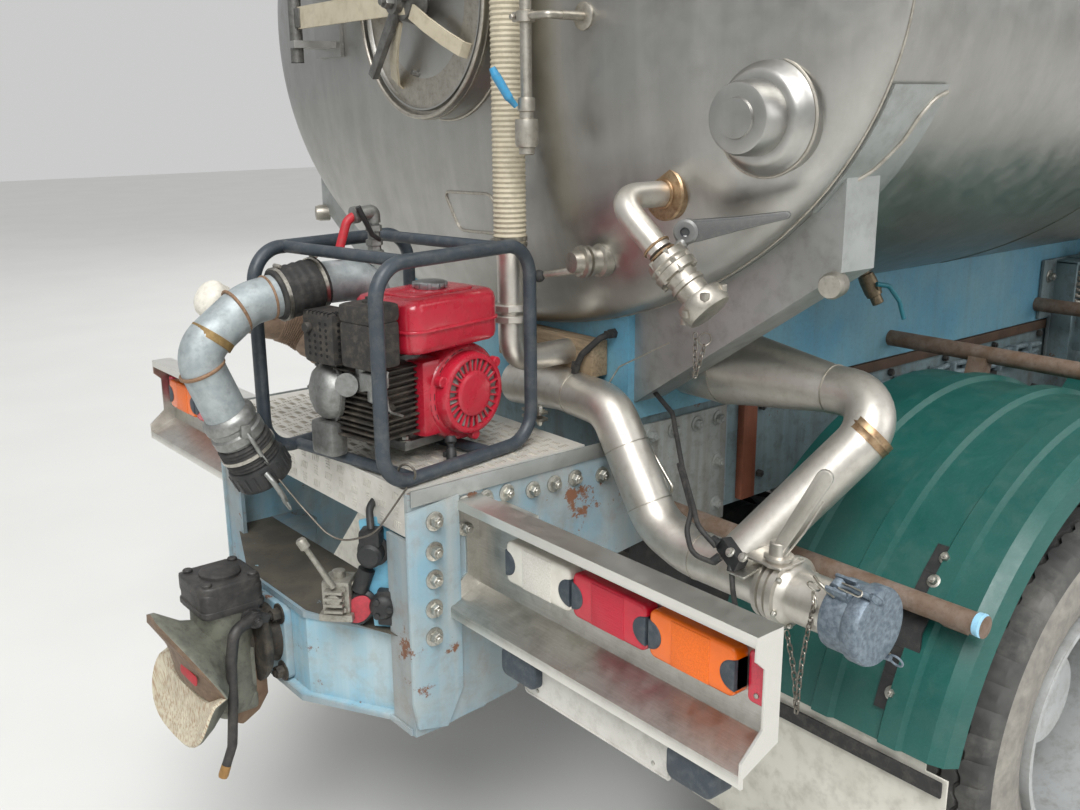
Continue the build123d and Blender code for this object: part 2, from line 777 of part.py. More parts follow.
cross_rows = [  # along, height of the tubes across
    (80.0, loop_low_z),
    (frame_length - 130.0, loop_low_z),
    (frame_corner + 10, loop_high_z),
    (frame_length - frame_corner - 20, loop_high_z),
]
cross_tubes = [rod((x, 0, z), (x, frame_width, z), pump_cross_radius) for x, z in cross_rows]
pump_frame = union([side_loop(0), side_loop(frame_width)] + cross_tubes)
save("pump_frame", pump_place * pump_frame)

# Pump engine: crankcase, cylinder and a round blower cover facing right
fan_x, fan_z = 288.0, 1302.0
cover_radius = 106.0
feet_z = loop_low_z + pump_cross_radius + seat_gap
cylinder_top_z = fan_z + 78.0
petrol_low_z = fan_z + cover_radius + seat_gap
crankcase = block((fan_x - 110, fan_x + 80), (120.0, 235.0), (feet_z + 20, fan_z + 80))
blower = rod((fan_x, 55.0, fan_z), (fan_x, 125.0, fan_z), cover_radius)
shroud = block((fan_x - 118, fan_x), (60.0, 125.0), (fan_z - 84, fan_z + 86))
recoil = rod((fan_x, 28.0, fan_z), (fan_x, 56.0, fan_z), 86.0)
fins = [
    block((48.0, fan_x - 100), (78.0, 205.0), (z, z + 7))
    for z in [fan_z - 62 + 14 * i for i in range(10)]
]
cylinder = block((60.0, fan_x - 100), (88.0, 195.0), (fan_z - 66, cylinder_top_z))
engine_feet = block((fan_x - 130, fan_x + 90), (110.0, 233.0), (feet_z, feet_z + 21))
air_cleaner = block((20.0, 104.0), (46.0, 142.0), (cylinder_top_z - 1, cylinder_top_z + 142))
muffler = block((20.0, 104.0), (158.0, 262.0), (cylinder_top_z - 1, cylinder_top_z + 122))
pump_engine = union([crankcase, blower, shroud, recoil, cylinder, engine_feet, air_cleaner, muffler] + fins)
save("pump_engine", pump_place * pump_engine)

petrol_plan = [(108.0, 22.0), (378.0, 22.0), (378.0, 222.0), (108.0, 222.0)]
petrol_tank = plan_form(petrol_plan, petrol_low_z, petrol_low_z + 112, radius=36.0) + rod(
    (fan_x - 62, 110.0, petrol_low_z + 110), (fan_x - 62, 110.0, petrol_low_z + 128), 30.0
)
save("pump_fuel_tank", pump_place * petrol_tank)

volute_z = fan_z - 20.0
volute_radius = 102.0
volute = rod((fan_x - 60, 236.0, volute_z), (fan_x - 60, 318.0, volute_z), volute_radius)
pump_foot = block((fan_x - 110, fan_x - 10), (250.0, 305.0), (feet_z, volute_z - 60))
save("pump_housing", pump_place * (volute + pump_foot))

# Discharge: galvanised pipe up from the pump and back, with a sleeve, camlock and hanging cap
line_y = -112.0
outlet_foot = (pump_place * Pos(fan_x - 60, 277.0, 0)).position
foot = (outlet_foot.X, outlet_foot.Y, volute_z + volute_radius + seat_gap)
discharge_line = [
    foot,
    (foot[0], foot[1], 1532.0),
    (tail_x - 110.0, line_y, 1534.0),
    (tail_x - 270.0, line_y, 1508.0),
    (tail_x - 385.0, line_y, 1425.0),
    (tail_x - 330.0, line_y, 1290.0),
    (tail_x - 252.0, line_y, 1135.0),
]
discharge_bends = [62, 150, 110, 62, 300]
discharge_pipe = bent_tube(discharge_line, discharge_bends, galvanised_radius)
cap_rows = [  # share of the last run, radius
    (0.0, 0.34, 56.0),
    (0.4, 0.66, 60.0),
    (0.7, 1.06, 64.0),
]
last_from, last_to = Vector(*discharge_line[-2]), Vector(*discharge_line[-1])
for low, high, radius in cap_rows:
    a = last_from + (last_to - last_from) * low
    b = last_from + (last_to - last_from) * high
    discharge_pipe = discharge_pipe + rod(tuple(a), tuple(b), radius)
save("discharge_pipe", discharge_pipe)


# Mudguards: a ribbed sheet bent round each rear wheel
def guard_section():
    crown = guard_radius
    top = crown + guard_rib
    rows = [  # across, radius of the sheet's upper side
        (guard_inner_y, crown - 26),
        (guard_inner_y + 14, crown),
        (guard_inner_y + 120, crown),
        (guard_inner_y + 128, top),
        (guard_inner_y + 168, top),
        (guard_inner_y + 176, crown),
        (guard_inner_y + 290, crown),
        (guard_inner_y + 298, top),
        (guard_inner_y + 338, top),
        (guard_inner_y + 346, crown),
        (guard_inner_y + 450, crown),
        (guard_inner_y + 458, top),
        (guard_inner_y + 498, top),
        (guard_inner_y + 506, crown),
        (guard_outer_y - 40, crown),
        (guard_outer_y - 12, crown - 14),
        (guard_outer_y, crown - 50),
    ]
    return strip(rows, -guard_sheet)


def guard(x, rear_angle, front_angle):
    face = face_of([(x, y, axle_z + radius) for y, radius in guard_section()])
    # Turned from the top towards the rear, then back towards the front
    rear = Solid.revolve(face, -(rear_angle - 90), Axis((x, 0, axle_z), (0, 1, 0)))
    front = Solid.revolve(face, 90 - front_angle, Axis((x, 0, axle_z), (0, 1, 0)))
    return rear + front


guard_crest = guard_radius + guard_rib
meet_angle = math.degrees(math.acos((bogie_spacing - guard_meet_gap) / 2 / guard_crest))
guard_rows = [  # axle, rear end's angle, front end's angle, stay angles
    (rear_axle_x, guard_rear_angle, meet_angle, (144.7, 72.0)),
    (drive_axle_x, 180 - meet_angle, guard_front_angle, (108.0, 44.0)),
]
guards = [guard(x, rear, front) for x, rear, front, angles in guard_rows]
save("mudguards", *guards, *[mirrored(one) for one in guards])

# Guard stays: round bars out from the chassis, each with two saddles down to the guard
stays = []
stay_reach = guard_crest + 26.0 + stay_radius
stay_end_y = guard_outer_y + 15.0
clamp_rows = [guard_inner_y + 67.0, guard_outer_y - 62.0]
for x, rear, front, angles in guard_rows:
    for angle in angles:
        away = math.radians(angle)
        stay_x = x + stay_reach * math.cos(away)
        stay_z = axle_z + stay_reach * math.sin(away)
        inner_y = rail_outer_y if stay_z < rail_top_z else sub_outer_y
        if stay_x < plate_front_x:
            inner_y = rail_outer_y + side_plate
        stay = rod((stay_x, inner_y, stay_z), (stay_x, stay_end_y, stay_z), stay_radius)
        for y in clamp_rows:
            reach = stay_reach - guard_radius - seat_gap
            saddle = Pos(guard_radius + seat_gap + reach / 2, y, 0) * Box(reach, 50, 36)
            stay = stay + Pos(x, 0, axle_z) * Rot(0, -angle, 0) * saddle
        stays.append(stay)
save("guard_stays", *stays, *[mirrored(one) for one in stays])

# Mudflaps behind the rear wheels
flap_top_z = axle_z + 190.0
flap_full_z = axle_z + 145.0
guard_under = guard_radius - guard_sheet - seat_gap
flap_x = rear_axle_x - math.sqrt(guard_under**2 - (flap_top_z - axle_z) ** 2)
flap_rows = [  # low y, high y, top
    (guard_inner_y - 45, guard_outer_y, flap_full_z),
    (guard_inner_y + 22, guard_outer_y - 48, flap_top_z),
]
flap = union([block((flap_x, flap_x + flap_thickness), (low, high), (flap_bottom_z, top)) for low, high, top in flap_rows])
save("mudflaps", flap, mirrored(flap))


# Tyres and wheels, drawn at (x, y) with the disc's outer side facing left
def tyre(x, y):
    half = tyre_width / 2
    profile = [
        (-rim_half - 4, bead_radius),
        (-half, bead_radius + 105),
        (-half + 12, tyre_radius - tyre_shoulder),
        (-tread_half, tyre_radius),
        (tread_half, tyre_radius),
        (half - 12, tyre_radius - tyre_shoulder),
        (half, bead_radius + 105),
        (rim_half + 4, bead_radius),
    ]
    return turned(profile, x, axle_z, y)


def rim_profile(y, disc_y):
    outer = bead_radius - seat_gap
    return [
        (y - rim_half, outer - rim_wall),
        (y - rim_half, outer),
        (y + rim_half, outer),
        (y + rim_half, outer - rim_wall),
        (disc_y + disc_thickness, outer - rim_wall),
        (disc_y + disc_thickness, 0),
        (disc_y, 0),
        (disc_y, outer - rim_wall),
    ]


dual_inner_y = dual_outer_y - dual_spacing
disc_plane_y = (dual_outer_y + dual_inner_y) / 2


def solid_of_turn(profile, x):
    return turned(profile, x, axle_z)


def dual_wheel(x):
    outer = solid_of_turn(rim_profile(dual_outer_y, disc_plane_y), x)
    inner = solid_of_turn(rim_profile(dual_inner_y, disc_plane_y - disc_thickness), x)
    hub = rod((x, axle_tube_end_y + 12, axle_z), (x, dual_outer_y + 10, axle_z), hub_radius)
    drum = rod((x, axle_tube_end_y + 40, axle_z), (x, disc_plane_y - 40, axle_z), drum_radius)
    bore = rod((x, axle_tube_end_y, axle_z), (x, dual_outer_y - 60, axle_z), spindle_radius + hub_clearance)
    return outer + inner + hub + drum - bore


def single_wheel(x):
    outer = solid_of_turn(rim_profile(front_wheel_y, front_wheel_y + 52), x)
    hub = rod((x, kingpin_y + 98, axle_z), (x, front_wheel_y + 112, axle_z), hub_radius * 0.9)
    drum = rod((x, kingpin_y + 98, axle_z), (x, front_wheel_y + 20, axle_z), drum_radius)
    bore = rod((x, kingpin_y, axle_z), (x, front_wheel_y + 60, axle_z), spindle_radius + hub_clearance)
    return outer + hub + drum - bore


rear_sets = [("rear", rear_axle_x), ("middle", drive_axle_x)]
for name, x in rear_sets:
    wheel = dual_wheel(x)
    tyres = [tyre(x, dual_outer_y), tyre(x, dual_inner_y)]
    save(f"wheel_{name}_left", wheel)
    save(f"wheel_{name}_right", mirrored(wheel))
    save(f"tyres_{name}_left", *tyres)
    save(f"tyres_{name}_right", *[mirrored(one) for one in tyres])

front_wheel = single_wheel(front_axle_x)
front_tyre = tyre(front_axle_x, front_wheel_y)
save("wheel_front_left", front_wheel)
save("wheel_front_right", mirrored(front_wheel))
save("tyre_front_left", front_tyre)
save("tyre_front_right", mirrored(front_tyre))


# Drive axles: tubes with a banjo in the middle, spindles, spring pads and the propeller shafts
spring_pad_z = axle_z + 100.0


def drive_axle(x):
    profile = [
        (-dual_outer_y + 70, 0),
        (-dual_outer_y + 70, spindle_radius),
        (-axle_tube_end_y, spindle_radius),
        (-axle_tube_end_y, axle_tube_radius),
        (-banjo_half * 2, axle_tube_radius + 14),
        (-banjo_half, banjo_radius),
        (banjo_half, banjo_radius),
        (banjo_half * 2, axle_tube_radius + 14),
        (axle_tube_end_y, axle_tube_radius),
        (axle_tube_end_y, spindle_radius),
        (dual_outer_y - 70, spindle_radius),
        (dual_outer_y - 70, 0),
    ]
    axle = turned(profile, x, axle_z)
    pads = [
        block((x - 70, x + 70), (y - spring_width / 2, y + spring_width / 2), (axle_z, spring_pad_z))
        for y in (spring_y, -spring_y)
    ]
    return union([axle] + pads)


gearbox_front_x = front_axle_x + 100.0
gearbox_rear_x = front_axle_x - 640.0
gearbox_z = 860.0
shaft_z = axle_z + 60.0
between_shaft = rod((rear_axle_x + 100, 0, shaft_z), (drive_axle_x - 100, 0, shaft_z), shaft_radius)
shaft_rise = (gearbox_z - shaft_z) / (gearbox_rear_x - drive_axle_x - 100)
shaft_end_x = gearbox_rear_x - shaft_radius * shaft_rise - seat_gap
main_shaft = rod((drive_axle_x + 100, 0, shaft_z), (shaft_end_x, 0, gearbox_z - shaft_rise), shaft_radius)
noses = [
    Solid.make_cone(130.0, 62.0, 180.0, Plane(origin=(x + 150.0, 0, shaft_z), z_dir=(1, 0, 0)))
    for x in (rear_axle_x, drive_axle_x)
]
drive_axles = union([drive_axle(rear_axle_x), drive_axle(drive_axle_x), between_shaft, main_shaft] + noses)
save("drive_axles", drive_axles)

# Front axle: a dropped beam with kingpin bosses
front_pad_z = axle_z - beam_drop + beam_height / 2
beam_line = [
    (-kingpin_y, axle_z - beam_height / 2),
    (-kingpin_y, axle_z + beam_height / 2),
    (-720.0, axle_z + beam_height / 2),
    (-600.0, front_pad_z),
    (600.0, front_pad_z),
    (720.0, axle_z + beam_height / 2),
    (kingpin_y, axle_z + beam_height / 2),
    (kingpin_y, axle_z - beam_height / 2),
    (700.0, axle_z - beam_height / 2),
    (580.0, front_pad_z - beam_height),
    (-580.0, front_pad_z - beam_height),
    (-700.0, axle_z - beam_height / 2),
]
beam_form = end_form(beam_line, front_axle_x - beam_depth / 2, front_axle_x + beam_depth / 2)
boss_low = axle_z - kingpin_boss_half
boss_high = axle_z + kingpin_boss_half
bosses = [rod((front_axle_x, y, boss_low), (front_axle_x, y, boss_high), kingpin_boss_radius) for y in (kingpin_y, -kingpin_y)]
pin_holes = [
    rod((front_axle_x, y, boss_low - 1), (front_axle_x, y, boss_high + 1), kingpin_radius + hub_clearance)
    for y in (kingpin_y, -kingpin_y)
]
front_axle = beam_form
for one in bosses:
    front_axle = front_axle + one
for one in pin_holes:
    front_axle = front_axle - one
save("front_axle", front_axle)

# Knuckles: ears above and below the boss, a plate and the spindle
plate_inner_y = kingpin_y + kingpin_boss_radius + 8.0
ear_low = boss_low - knuckle_ear_gap
ear_high = boss_high + knuckle_ear_gap
ears = []
for low, high in ((ear_low - knuckle_ear, ear_low), (ear_high, ear_high + knuckle_ear)):
    disc = rod((front_axle_x, kingpin_y, low), (front_axle_x, kingpin_y, high), kingpin_boss_radius + 4)
    bridge = block((front_axle_x - 44, front_axle_x + 44), (kingpin_y, plate_inner_y + 2), (low, high))
    ears.append(disc + bridge)
knuckle = union(
    ears
    + [
        block(
            (front_axle_x - 60, front_axle_x + 60),
            (plate_inner_y, plate_inner_y + knuckle_plate),
            (ear_low - knuckle_ear, ear_high + knuckle_ear),
        ),
        rod((front_axle_x, plate_inner_y, axle_z), (front_axle_x, front_wheel_y + 50, axle_z), spindle_radius),
        rod(
            (front_axle_x, kingpin_y, ear_low - knuckle_ear),
            (front_axle_x, kingpin_y, ear_high + knuckle_ear),
            kingpin_radius,
        ),
    ]
)
save("knuckle_left", knuckle)
save("knuckle_right", mirrored(knuckle))

# Leaf springs: a trunnion pack over each side's two drive axles, and a front spring each side
trunnion_x = (rear_axle_x + drive_axle_x) / 2
pack_half = bogie_spacing / 2 + 60.0
rear_pack = [
    (trunnion_x - pack_half, spring_pad_z),
    (trunnion_x - pack_half, spring_pad_z + leaf_end),
    (trunnion_x - 200, spring_pad_z + leaf_end + 50),
    (trunnion_x + 200, spring_pad_z + leaf_end + 50),
    (trunnion_x + pack_half, spring_pad_z + leaf_end),
    (trunnion_x + pack_half, spring_pad_z),
    (trunnion_x + pack_half - 140, spring_pad_z),
    (trunnion_x + 120, spring_pad_z - leaf_stack + 40),
    (trunnion_x - 120, spring_pad_z - leaf_stack + 40),
    (trunnion_x - pack_half + 140, spring_pad_z),
]
spring_low_y = spring_y - spring_width / 2
spring_high_y = spring_y + spring_width / 2
rear_spring = side_form(rear_pack, spring_low_y, spring_high_y)
trunnion_z = axle_z - 60.0
hanger = side_form(
    [
        (trunnion_x - 180, rail_bottom_z + 160),
        (trunnion_x + 180, rail_bottom_z + 160),
        (trunnion_x + 90, trunnion_z - 40),
        (trunnion_x - 90, trunnion_z - 40),
    ],
    rail_outer_y,
    rail_outer_y + 22,
)
trunnion = rod((trunnion_x, -spring_high_y, trunnion_z), (trunnion_x, spring_high_y, trunnion_z), trunnion_radius)
seat = block((trunnion_x - 70, trunnion_x + 70), (spring_low_y, spring_high_y), (trunnion_z, spring_pad_z - leaf_stack + 45))
rear_springs = union([rear_spring, mirrored(rear_spring), hanger, mirrored(hanger), trunnion, seat, mirrored(seat)])

front_half = 720.0
eye_z = rail_bottom_z - 90.0
front_pack = [
    (front_axle_x - front_half, eye_z),
    (front_axle_x - front_half, eye_z + leaf_end),
    (front_axle_x - 250, front_pad_z + leaf_stack + 70),
    (front_axle_x + 250, front_pad_z + leaf_stack + 70),
    (front_axle_x + front_half, eye_z + leaf_end),
    (front_axle_x + front_half, eye_z),
    (front_axle_x + 260, front_pad_z + 36),
    (front_axle_x + 70, front_pad_z),
    (front_axle_x - 70, front_pad_z),
    (front_axle_x - 260, front_pad_z + 36),
]
front_spring = side_form(front_pack, spring_low_y, spring_high_y)
front_hangers = [
    side_form(
        [(x - 40, eye_z - 10), (x - 40, rail_bottom_z + 120), (x + 40, rail_bottom_z + 120), (x + 40, eye_z - 10)],
        rail_outer_y,
        spring_low_y + 2,
    )
    for x in (front_axle_x - front_half + 30, front_axle_x + front_half - 30)
]
front_side = union([front_spring] + front_hangers)
save("leaf_springs", rear_springs, front_side, mirrored(front_side))

# Engine and gearbox as one plain block between the rails
engine_front_x = rail_front_x - cross_member_depth - 12.0
engine_block = block((gearbox_front_x, engine_front_x), (-engine_half, engine_half), (engine_bottom_z, engine_top_z)) + rod(
    (gearbox_rear_x, 0, gearbox_z), (gearbox_front_x + 5, 0, gearbox_z), 150.0
)
save("engine_block", engine_block)

# Side equipment on the rails
side_tank_x = (drive_axle_x + 1050.0, drive_axle_x + 2150.0)
tank_outline = [(470.0, 470.0), (1090.0, 470.0), (1090.0, 1010.0), (470.0, 1010.0)]
diesel = end_form(tank_outline, *side_tank_x, radius=110.0)
diesel_arms = [
    block((x, x + 60), (rail_outer_y, 520.0), (rail_bottom_z + 20, rail_bottom_z + 80))
    for x in (side_tank_x[0] + 160, side_tank_x[1] - 220)
]
save("fuel_tank", union([diesel] + diesel_arms))

battery_x = (drive_axle_x + 1450.0, drive_axle_x + 2150.0)
battery = block(battery_x, (-1080.0, -500.0), (560.0, 980.0))
battery_arms = [
    block((x, x + 60), (-520.0, -rail_outer_y), (rail_bottom_z + 10, rail_bottom_z + 60))
    for x in (battery_x[0] + 60, battery_x[1] - 120)
]
save("battery_box", union([battery] + battery_arms))

air_x = (drive_axle_x + 880.0, drive_axle_x + 1390.0)
air_tanks = [
    rod((air_x[0], y, 700.0), (air_x[1], y, 700.0), 120.0) for y in (-640.0, -900.0)
]
air_frame = block((air_x[0] + 120, air_x[0] + 170), (-1000.0, -rail_outer_y), (800.0, 925.0))
save("air_tanks", union(air_tanks + [air_frame]))

# Walkway on the tank, with the hatch collar and its lid
walk_z = tank_z + tank_half_height + 40.0
hatch_x = (tank_rear_x + tank_front_x) / 2
hatch_radius = 255.0
walk_rear_x = tank_rear_x + 500.0
walk_front_x = tank_front_x - 150.0
walk_plate = block((walk_rear_x, walk_front_x), (-520.0, -300.0), (walk_z, walk_z + 30))
walk_feet = [
    block((x, x + 50), (-500.0, -320.0), (tank_z + 300, walk_z + 5))
    for x in [walk_rear_x + 60 + i * (walk_front_x - walk_rear_x - 170) / 4 for i in range(5)]
]
walkway = union([walk_plate] + walk_feet) - tank_form(seat_gap)
collar_top_z = tank_z + tank_half_height + 120.0
collar = rod((hatch_x, 0, tank_z + 500), (hatch_x, 0, collar_top_z), hatch_radius) - rod(
    (hatch_x, 0, tank_z + 499), (hatch_x, 0, collar_top_z + 1), hatch_radius - 10
)
collar = collar - tank_form(seat_gap)
hatch_hinge_x = hatch_x - hatch_radius - 40.0
hatch_ears = []
for y in (-74.0, 60.0):
    ear = block((hatch_hinge_x - 22, hatch_hinge_x + 15), (y, y + 14), (collar_top_z - 46, collar_top_z + 34))
    root = block((hatch_hinge_x, hatch_x - hatch_radius + 8), (y, y + 14), (collar_top_z - 46, collar_top_z - 6))
    hatch_ears.append(ear + root)
collar = union([collar] + hatch_ears) - rod(
    (hatch_hinge_x, -90, collar_top_z + 14), (hatch_hinge_x, 90, collar_top_z + 14), 8.0 + seat_gap
)
save("walkway", walkway, max(collar.solids(), key=lambda one: one.volume))

lid_disc = rod((hatch_x, 0, collar_top_z + 1), (hatch_x, 0, collar_top_z + 17), hatch_radius + 12)
lid_dome = Solid.make_cone(hatch_radius - 30, 90.0, 34.0, Plane(origin=(hatch_x, 0, collar_top_z + 16), z_dir=(0, 0, 1)))
lid_strap = block((hatch_hinge_x, hatch_x - hatch_radius + 60), (-50.0, 50.0), (collar_top_z + 4, collar_top_z + 24))
hatch_pin = rod((hatch_hinge_x, -76, collar_top_z + 14), (hatch_hinge_x, 76, collar_top_z + 14), 8.0)
hatch_lid = union([lid_disc, lid_dome, lid_strap, hatch_pin])
save("hatch_lid", hatch_lid)


# Cab: a side view, an end view and a plan crossed with each other, for any inset from the outside
def cab_form(inset):
    side_view = [
        (cab_rear_x + inset, cab_floor_z + inset),
        (cab_rear_x + inset, cab_roof_z - inset),
        (cab_face_x - 420 - inset, cab_roof_z - inset),
        (cab_face_x - 150 - inset, 2660.0 - inset / 2),
        (cab_face_x - inset, cowl_z),
        (cab_face_x - inset, cab_skirt_z + inset),
        (door_front_x + 40 + inset, cab_skirt_z + inset),
        (door_front_x + 40 + inset, cab_floor_z + inset),
    ]
    side = side_form(side_view, -cab_half - 50, cab_half + 50)
    edge = cab_half - inset
    end_view = [
        (-edge, cab_skirt_z - 50),
        (-edge, cab_roof_z - inset),
        (edge, cab_roof_z - inset),
        (edge, cab_skirt_z - 50),
    ]
    end = end_form(end_view, cab_rear_x - 50, front_x + 50, radius=roof_corner - inset)
    plan = [
        (cab_rear_x + inset, -edge),
        (cab_face_x - inset, -edge),
        (cab_face_x - inset, edge),
        (cab_rear_x + inset, edge),
    ]
    plan_view = plan_form(plan, cab_skirt_z - 200, cab_roof_z + 50, radius=cab_corner - inset)
    return side & end & plan_view


outer = cab_form(0.0)
inner = cab_form(cab_wall)
tunnel_x = (gearbox_front_x - 150, front_x + 50)
tunnel = block(tunnel_x, (-tunnel_half, tunnel_half), (cab_skirt_z - 10, tunnel_z))
tunnel_inside = block(
    (tunnel_x[0] + cab_wall, front_x + 50),
    (-tunnel_half + cab_wall, tunnel_half - cab_wall),
    (cab_skirt_z - 11, tunnel_z - cab_wall),
)
cab_shell = outer - (inner - tunnel)
cab_shell = cab_shell - (tunnel_inside & cab_form(cab_wall * 0.6)) - block(
    (tunnel_x[0] + cab_wall, cab_face_x - cab_wall), (-tunnel_half + cab_wall, tunnel_half - cab_wall), (cab_skirt_z - 11, tunnel_z - cab_wall)
)


def door_outline(shrink):
    return [
        (door_rear_x + shrink, door_bottom_z + shrink),
        (door_rear_x + shrink, door_top_z - shrink),
        (door_front_x - 100 - shrink, door_top_z - shrink),
        (door_front_x - shrink, sill_z),
        (door_front_x - shrink, door_bottom_z + shrink),
    ]


def door_window(shrink):
    return [
        (door_rear_x + window_margin + shrink, sill_z + shrink),
        (door_rear_x + window_margin + shrink, door_top_z - window_margin - shrink),
        (door_front_x - window_margin - 105 - shrink, door_top_z - window_margin - shrink),
        (door_front_x - window_margin - shrink, sill_z + shrink),
    ]


wall_y = (cab_half - cab_wall - 80, cab_half + 60)
doorway = side_form(door_outline(0.0), *wall_y, radius=40.0)
leaf = side_form(door_outline(panel_gap), *wall_y, radius=34.0)
pane_hole = side_form(door_window(0.0), *wall_y, radius=40.0)
wall_ring = outer - inner
door_left = (wall_ring & leaf) - pane_hole
glass_skin = cab_form(glass_inset) - cab_form(glass_inset + glass_thickness)
door_glass = glass_skin & side_form(door_window(seat_gap), *wall_y, radius=40.0)
screen_margin = 110.0
screen_points = [
    (-cab_half + screen_margin, cowl_z + 40),
    (-cab_half + screen_margin, 2570.0),
    (cab_half - screen_margin, 2570.0),
    (cab_half - screen_margin, cowl_z + 40),
]
screen_hole = end_form(screen_points, front_x - 420, front_x, radius=70.0)
screen_small = end_form(
    [(y - math.copysign(seat_gap, y), z + (seat_gap if z < 2000 else -seat_gap)) for y, z in screen_points],
    front_x - 420,
    front_x,
    radius=70.0,
)
rear_points = [(-400.0, 1950.0), (-400.0, 2500.0), (400.0, 2500.0), (400.0, 1950.0)]
rear_hole = end_form(rear_points, cab_rear_x - 50, cab_rear_x + 150, radius=50.0)
cab_shell = cab_shell - doorway - mirrored(doorway) - screen_hole - rear_hole

# Door hinges on the front pillar: a pin between two ears on the cab, and a barrel on the door
hinge_edge_x = door_front_x
leaf_y = (cab_half - 4.0, cab_half + 5.0)
for z in (1500.0, 1800.0):
    low, high = z - hinge_barrel_half, z + hinge_barrel_half
    room = rod((hinge_edge_x, cab_half, low - hinge_ear - 2), (hinge_edge_x, cab_half, high + hinge_ear + 2), 15.0)
    pin = rod((hinge_edge_x, cab_half, low - hinge_ear), (hinge_edge_x, cab_half, high + hinge_ear), hinge_pin_radius)
    cab_side = pin
    for ear_low, ear_high in ((low - hinge_ear, low - seat_gap), (high + seat_gap, high + hinge_ear)):
        ear = rod((hinge_edge_x, cab_half, ear_low), (hinge_edge_x, cab_half, ear_high), hinge_barrel_radius)
        cab_side = cab_side + ear + block((hinge_edge_x, hinge_edge_x + 34), leaf_y, (ear_low, ear_high))
    barrel_room = rod((hinge_edge_x, cab_half, low - 1), (hinge_edge_x, cab_half, high + 1), hinge_pin_radius + seat_gap)
    door_side = (
        rod((hinge_edge_x, cab_half, low), (hinge_edge_x, cab_half, high), hinge_barrel_radius)
        + block((hinge_edge_x - 40, hinge_edge_x), leaf_y, (low, high))
        - barrel_room
    )
    cab_shell = (cab_shell - room - mirrored(room)) + cab_side + mirrored(cab_side)
    door_left = (door_left - room) + door_side

# Tilt pivot: slots in the cab's front lower edge, each with a pin across
lug_y = (rail_outer_y, rail_outer_y + lug_sheet)
slot = block((tilt_x - 40, front_x), (lug_y[0] - lug_gap, lug_y[1] + lug_gap), (cab_skirt_z - 10, tilt_z + 36))
tilt_pin = rod((tilt_x, lug_y[0] - 26, tilt_z), (tilt_x, lug_y[1] + 26, tilt_z), tilt_pin_radius)
cab_shell = (cab_shell - slot - mirrored(slot)) + tilt_pin + mirrored(tilt_pin)
save("cab_shell", cab_shell)
save("door_left", door_left)
save("door_right", mirrored(door_left))
save("door_glass_left", door_glass)
save("door_glass_right", mirrored(door_glass))
save("cab_glass", glass_skin & screen_small, glass_skin & end_form(
    [(y * 0.999, z + (seat_gap if z < 2000 else -seat_gap)) for y, z in rear_points],
    cab_rear_x - 50,
    cab_rear_x + 150,
    radius=50.0,
))

# Seats, dashboard and steering wheel
seat_x = door_rear_x - 330.0
floor_top_z = cab_floor_z + cab_wall


def seat_form(y):
    base = block((seat_x, seat_x + 420), (y - 190, y + 190), (floor_top_z, floor_top_z + 300))
    cushion = block((seat_x - 20, seat_x + 480), (y - 240, y + 240), (floor_top_z + 300, floor_top_z + 430))
    back = side_form(
        [
            (seat_x - 20, floor_top_z + 400),
            (seat_x - 150, floor_top_z + 1080),
            (seat_x - 30, floor_top_z + 1080),
            (seat_x + 100, floor_top_z + 400),
        ],
        y - 230,
        y + 230,
    )
    return union([base, cushion, back])


dash_x = cab_face_x - cab_wall - seat_gap
dash_outline = [
    (dash_x, tunnel_z + seat_gap),
    (dash_x, cowl_z - 20),
    (dash_x - 330, cowl_z - 60),
    (dash_x - 380, cowl_z - 180),
    (dash_x - 250, tunnel_z + seat_gap),
]
dash = side_form(dash_outline, -cab_half + cab_corner + 60, cab_half - cab_corner - 60)
wheel_y = 690.0
column = rod((dash_x - 300, wheel_y, cowl_z - 160), (dash_x - 480, wheel_y, cowl_z - 60), 28.0)
rim_plane = Plane(origin=(dash_x - 480, wheel_y, cowl_z - 60), z_dir=(-180, 0, 100))
steering_rim = rim_plane * Torus(215.0, 14.0)
spokes = [rim_plane * Rot(0, 0, turn) * Pos(105, 0, 0) * Box(215, 30, 12) for turn in (0, 120, 240)]
dashboard = union([dash, column, steering_rim] + spokes)
save("cab_interior", dashboard, seat_form(690.0), seat_form(-690.0))

# Grille on the cab's face, headlamps in the front bumper, mirrors on the front corners
grille_x = cab_face_x + seat_gap
grille_half = cab_half - 480.0
grille_bars = [
    block((grille_x, grille_x + 24), (-grille_half + 20, grille_half - 20), (z, z + 46)) for z in range(1080, 1640, 90)
]
grille_back = block((grille_x, grille_x + 8), (-grille_half, grille_half), (1060.0, 1680.0))
save("grille", union([grille_back] + grille_bars))

# Front mudguards: a sheet bent over each steered wheel, held by two bars from the rail
front_guard_rows = [
    (front_guard_inner_y, front_guard_radius),
    (front_guard_outer_y - 24, front_guard_radius),
    (front_guard_outer_y, front_guard_radius - front_guard_lip),
]
front_section = [(y, radius) for y, radius in strip(front_guard_rows, -guard_sheet)]
front_face = face_of([(front_axle_x, y, axle_z + radius) for y, radius in front_section])
front_sweep = 90.0 - front_guard_end_angle
front_line = Axis((front_axle_x, 0, axle_z), (0, 1, 0))
front_guard = Solid.revolve(front_face.rotate(front_line, -front_sweep), 2 * front_sweep, front_line)
for angle in (55.0, 125.0):
    bar_x = front_axle_x + (front_guard_radius + 10) * math.cos(math.radians(angle))
    bar_z = axle_z + (front_guard_radius + 10) * math.sin(math.radians(angle))
    front_guard = front_guard + rod((bar_x, rail_outer_y + seat_gap, bar_z), (bar_x, front_guard_outer_y - 60, bar_z), 14.0)
save("front_mudguards", front_guard, mirrored(front_guard))

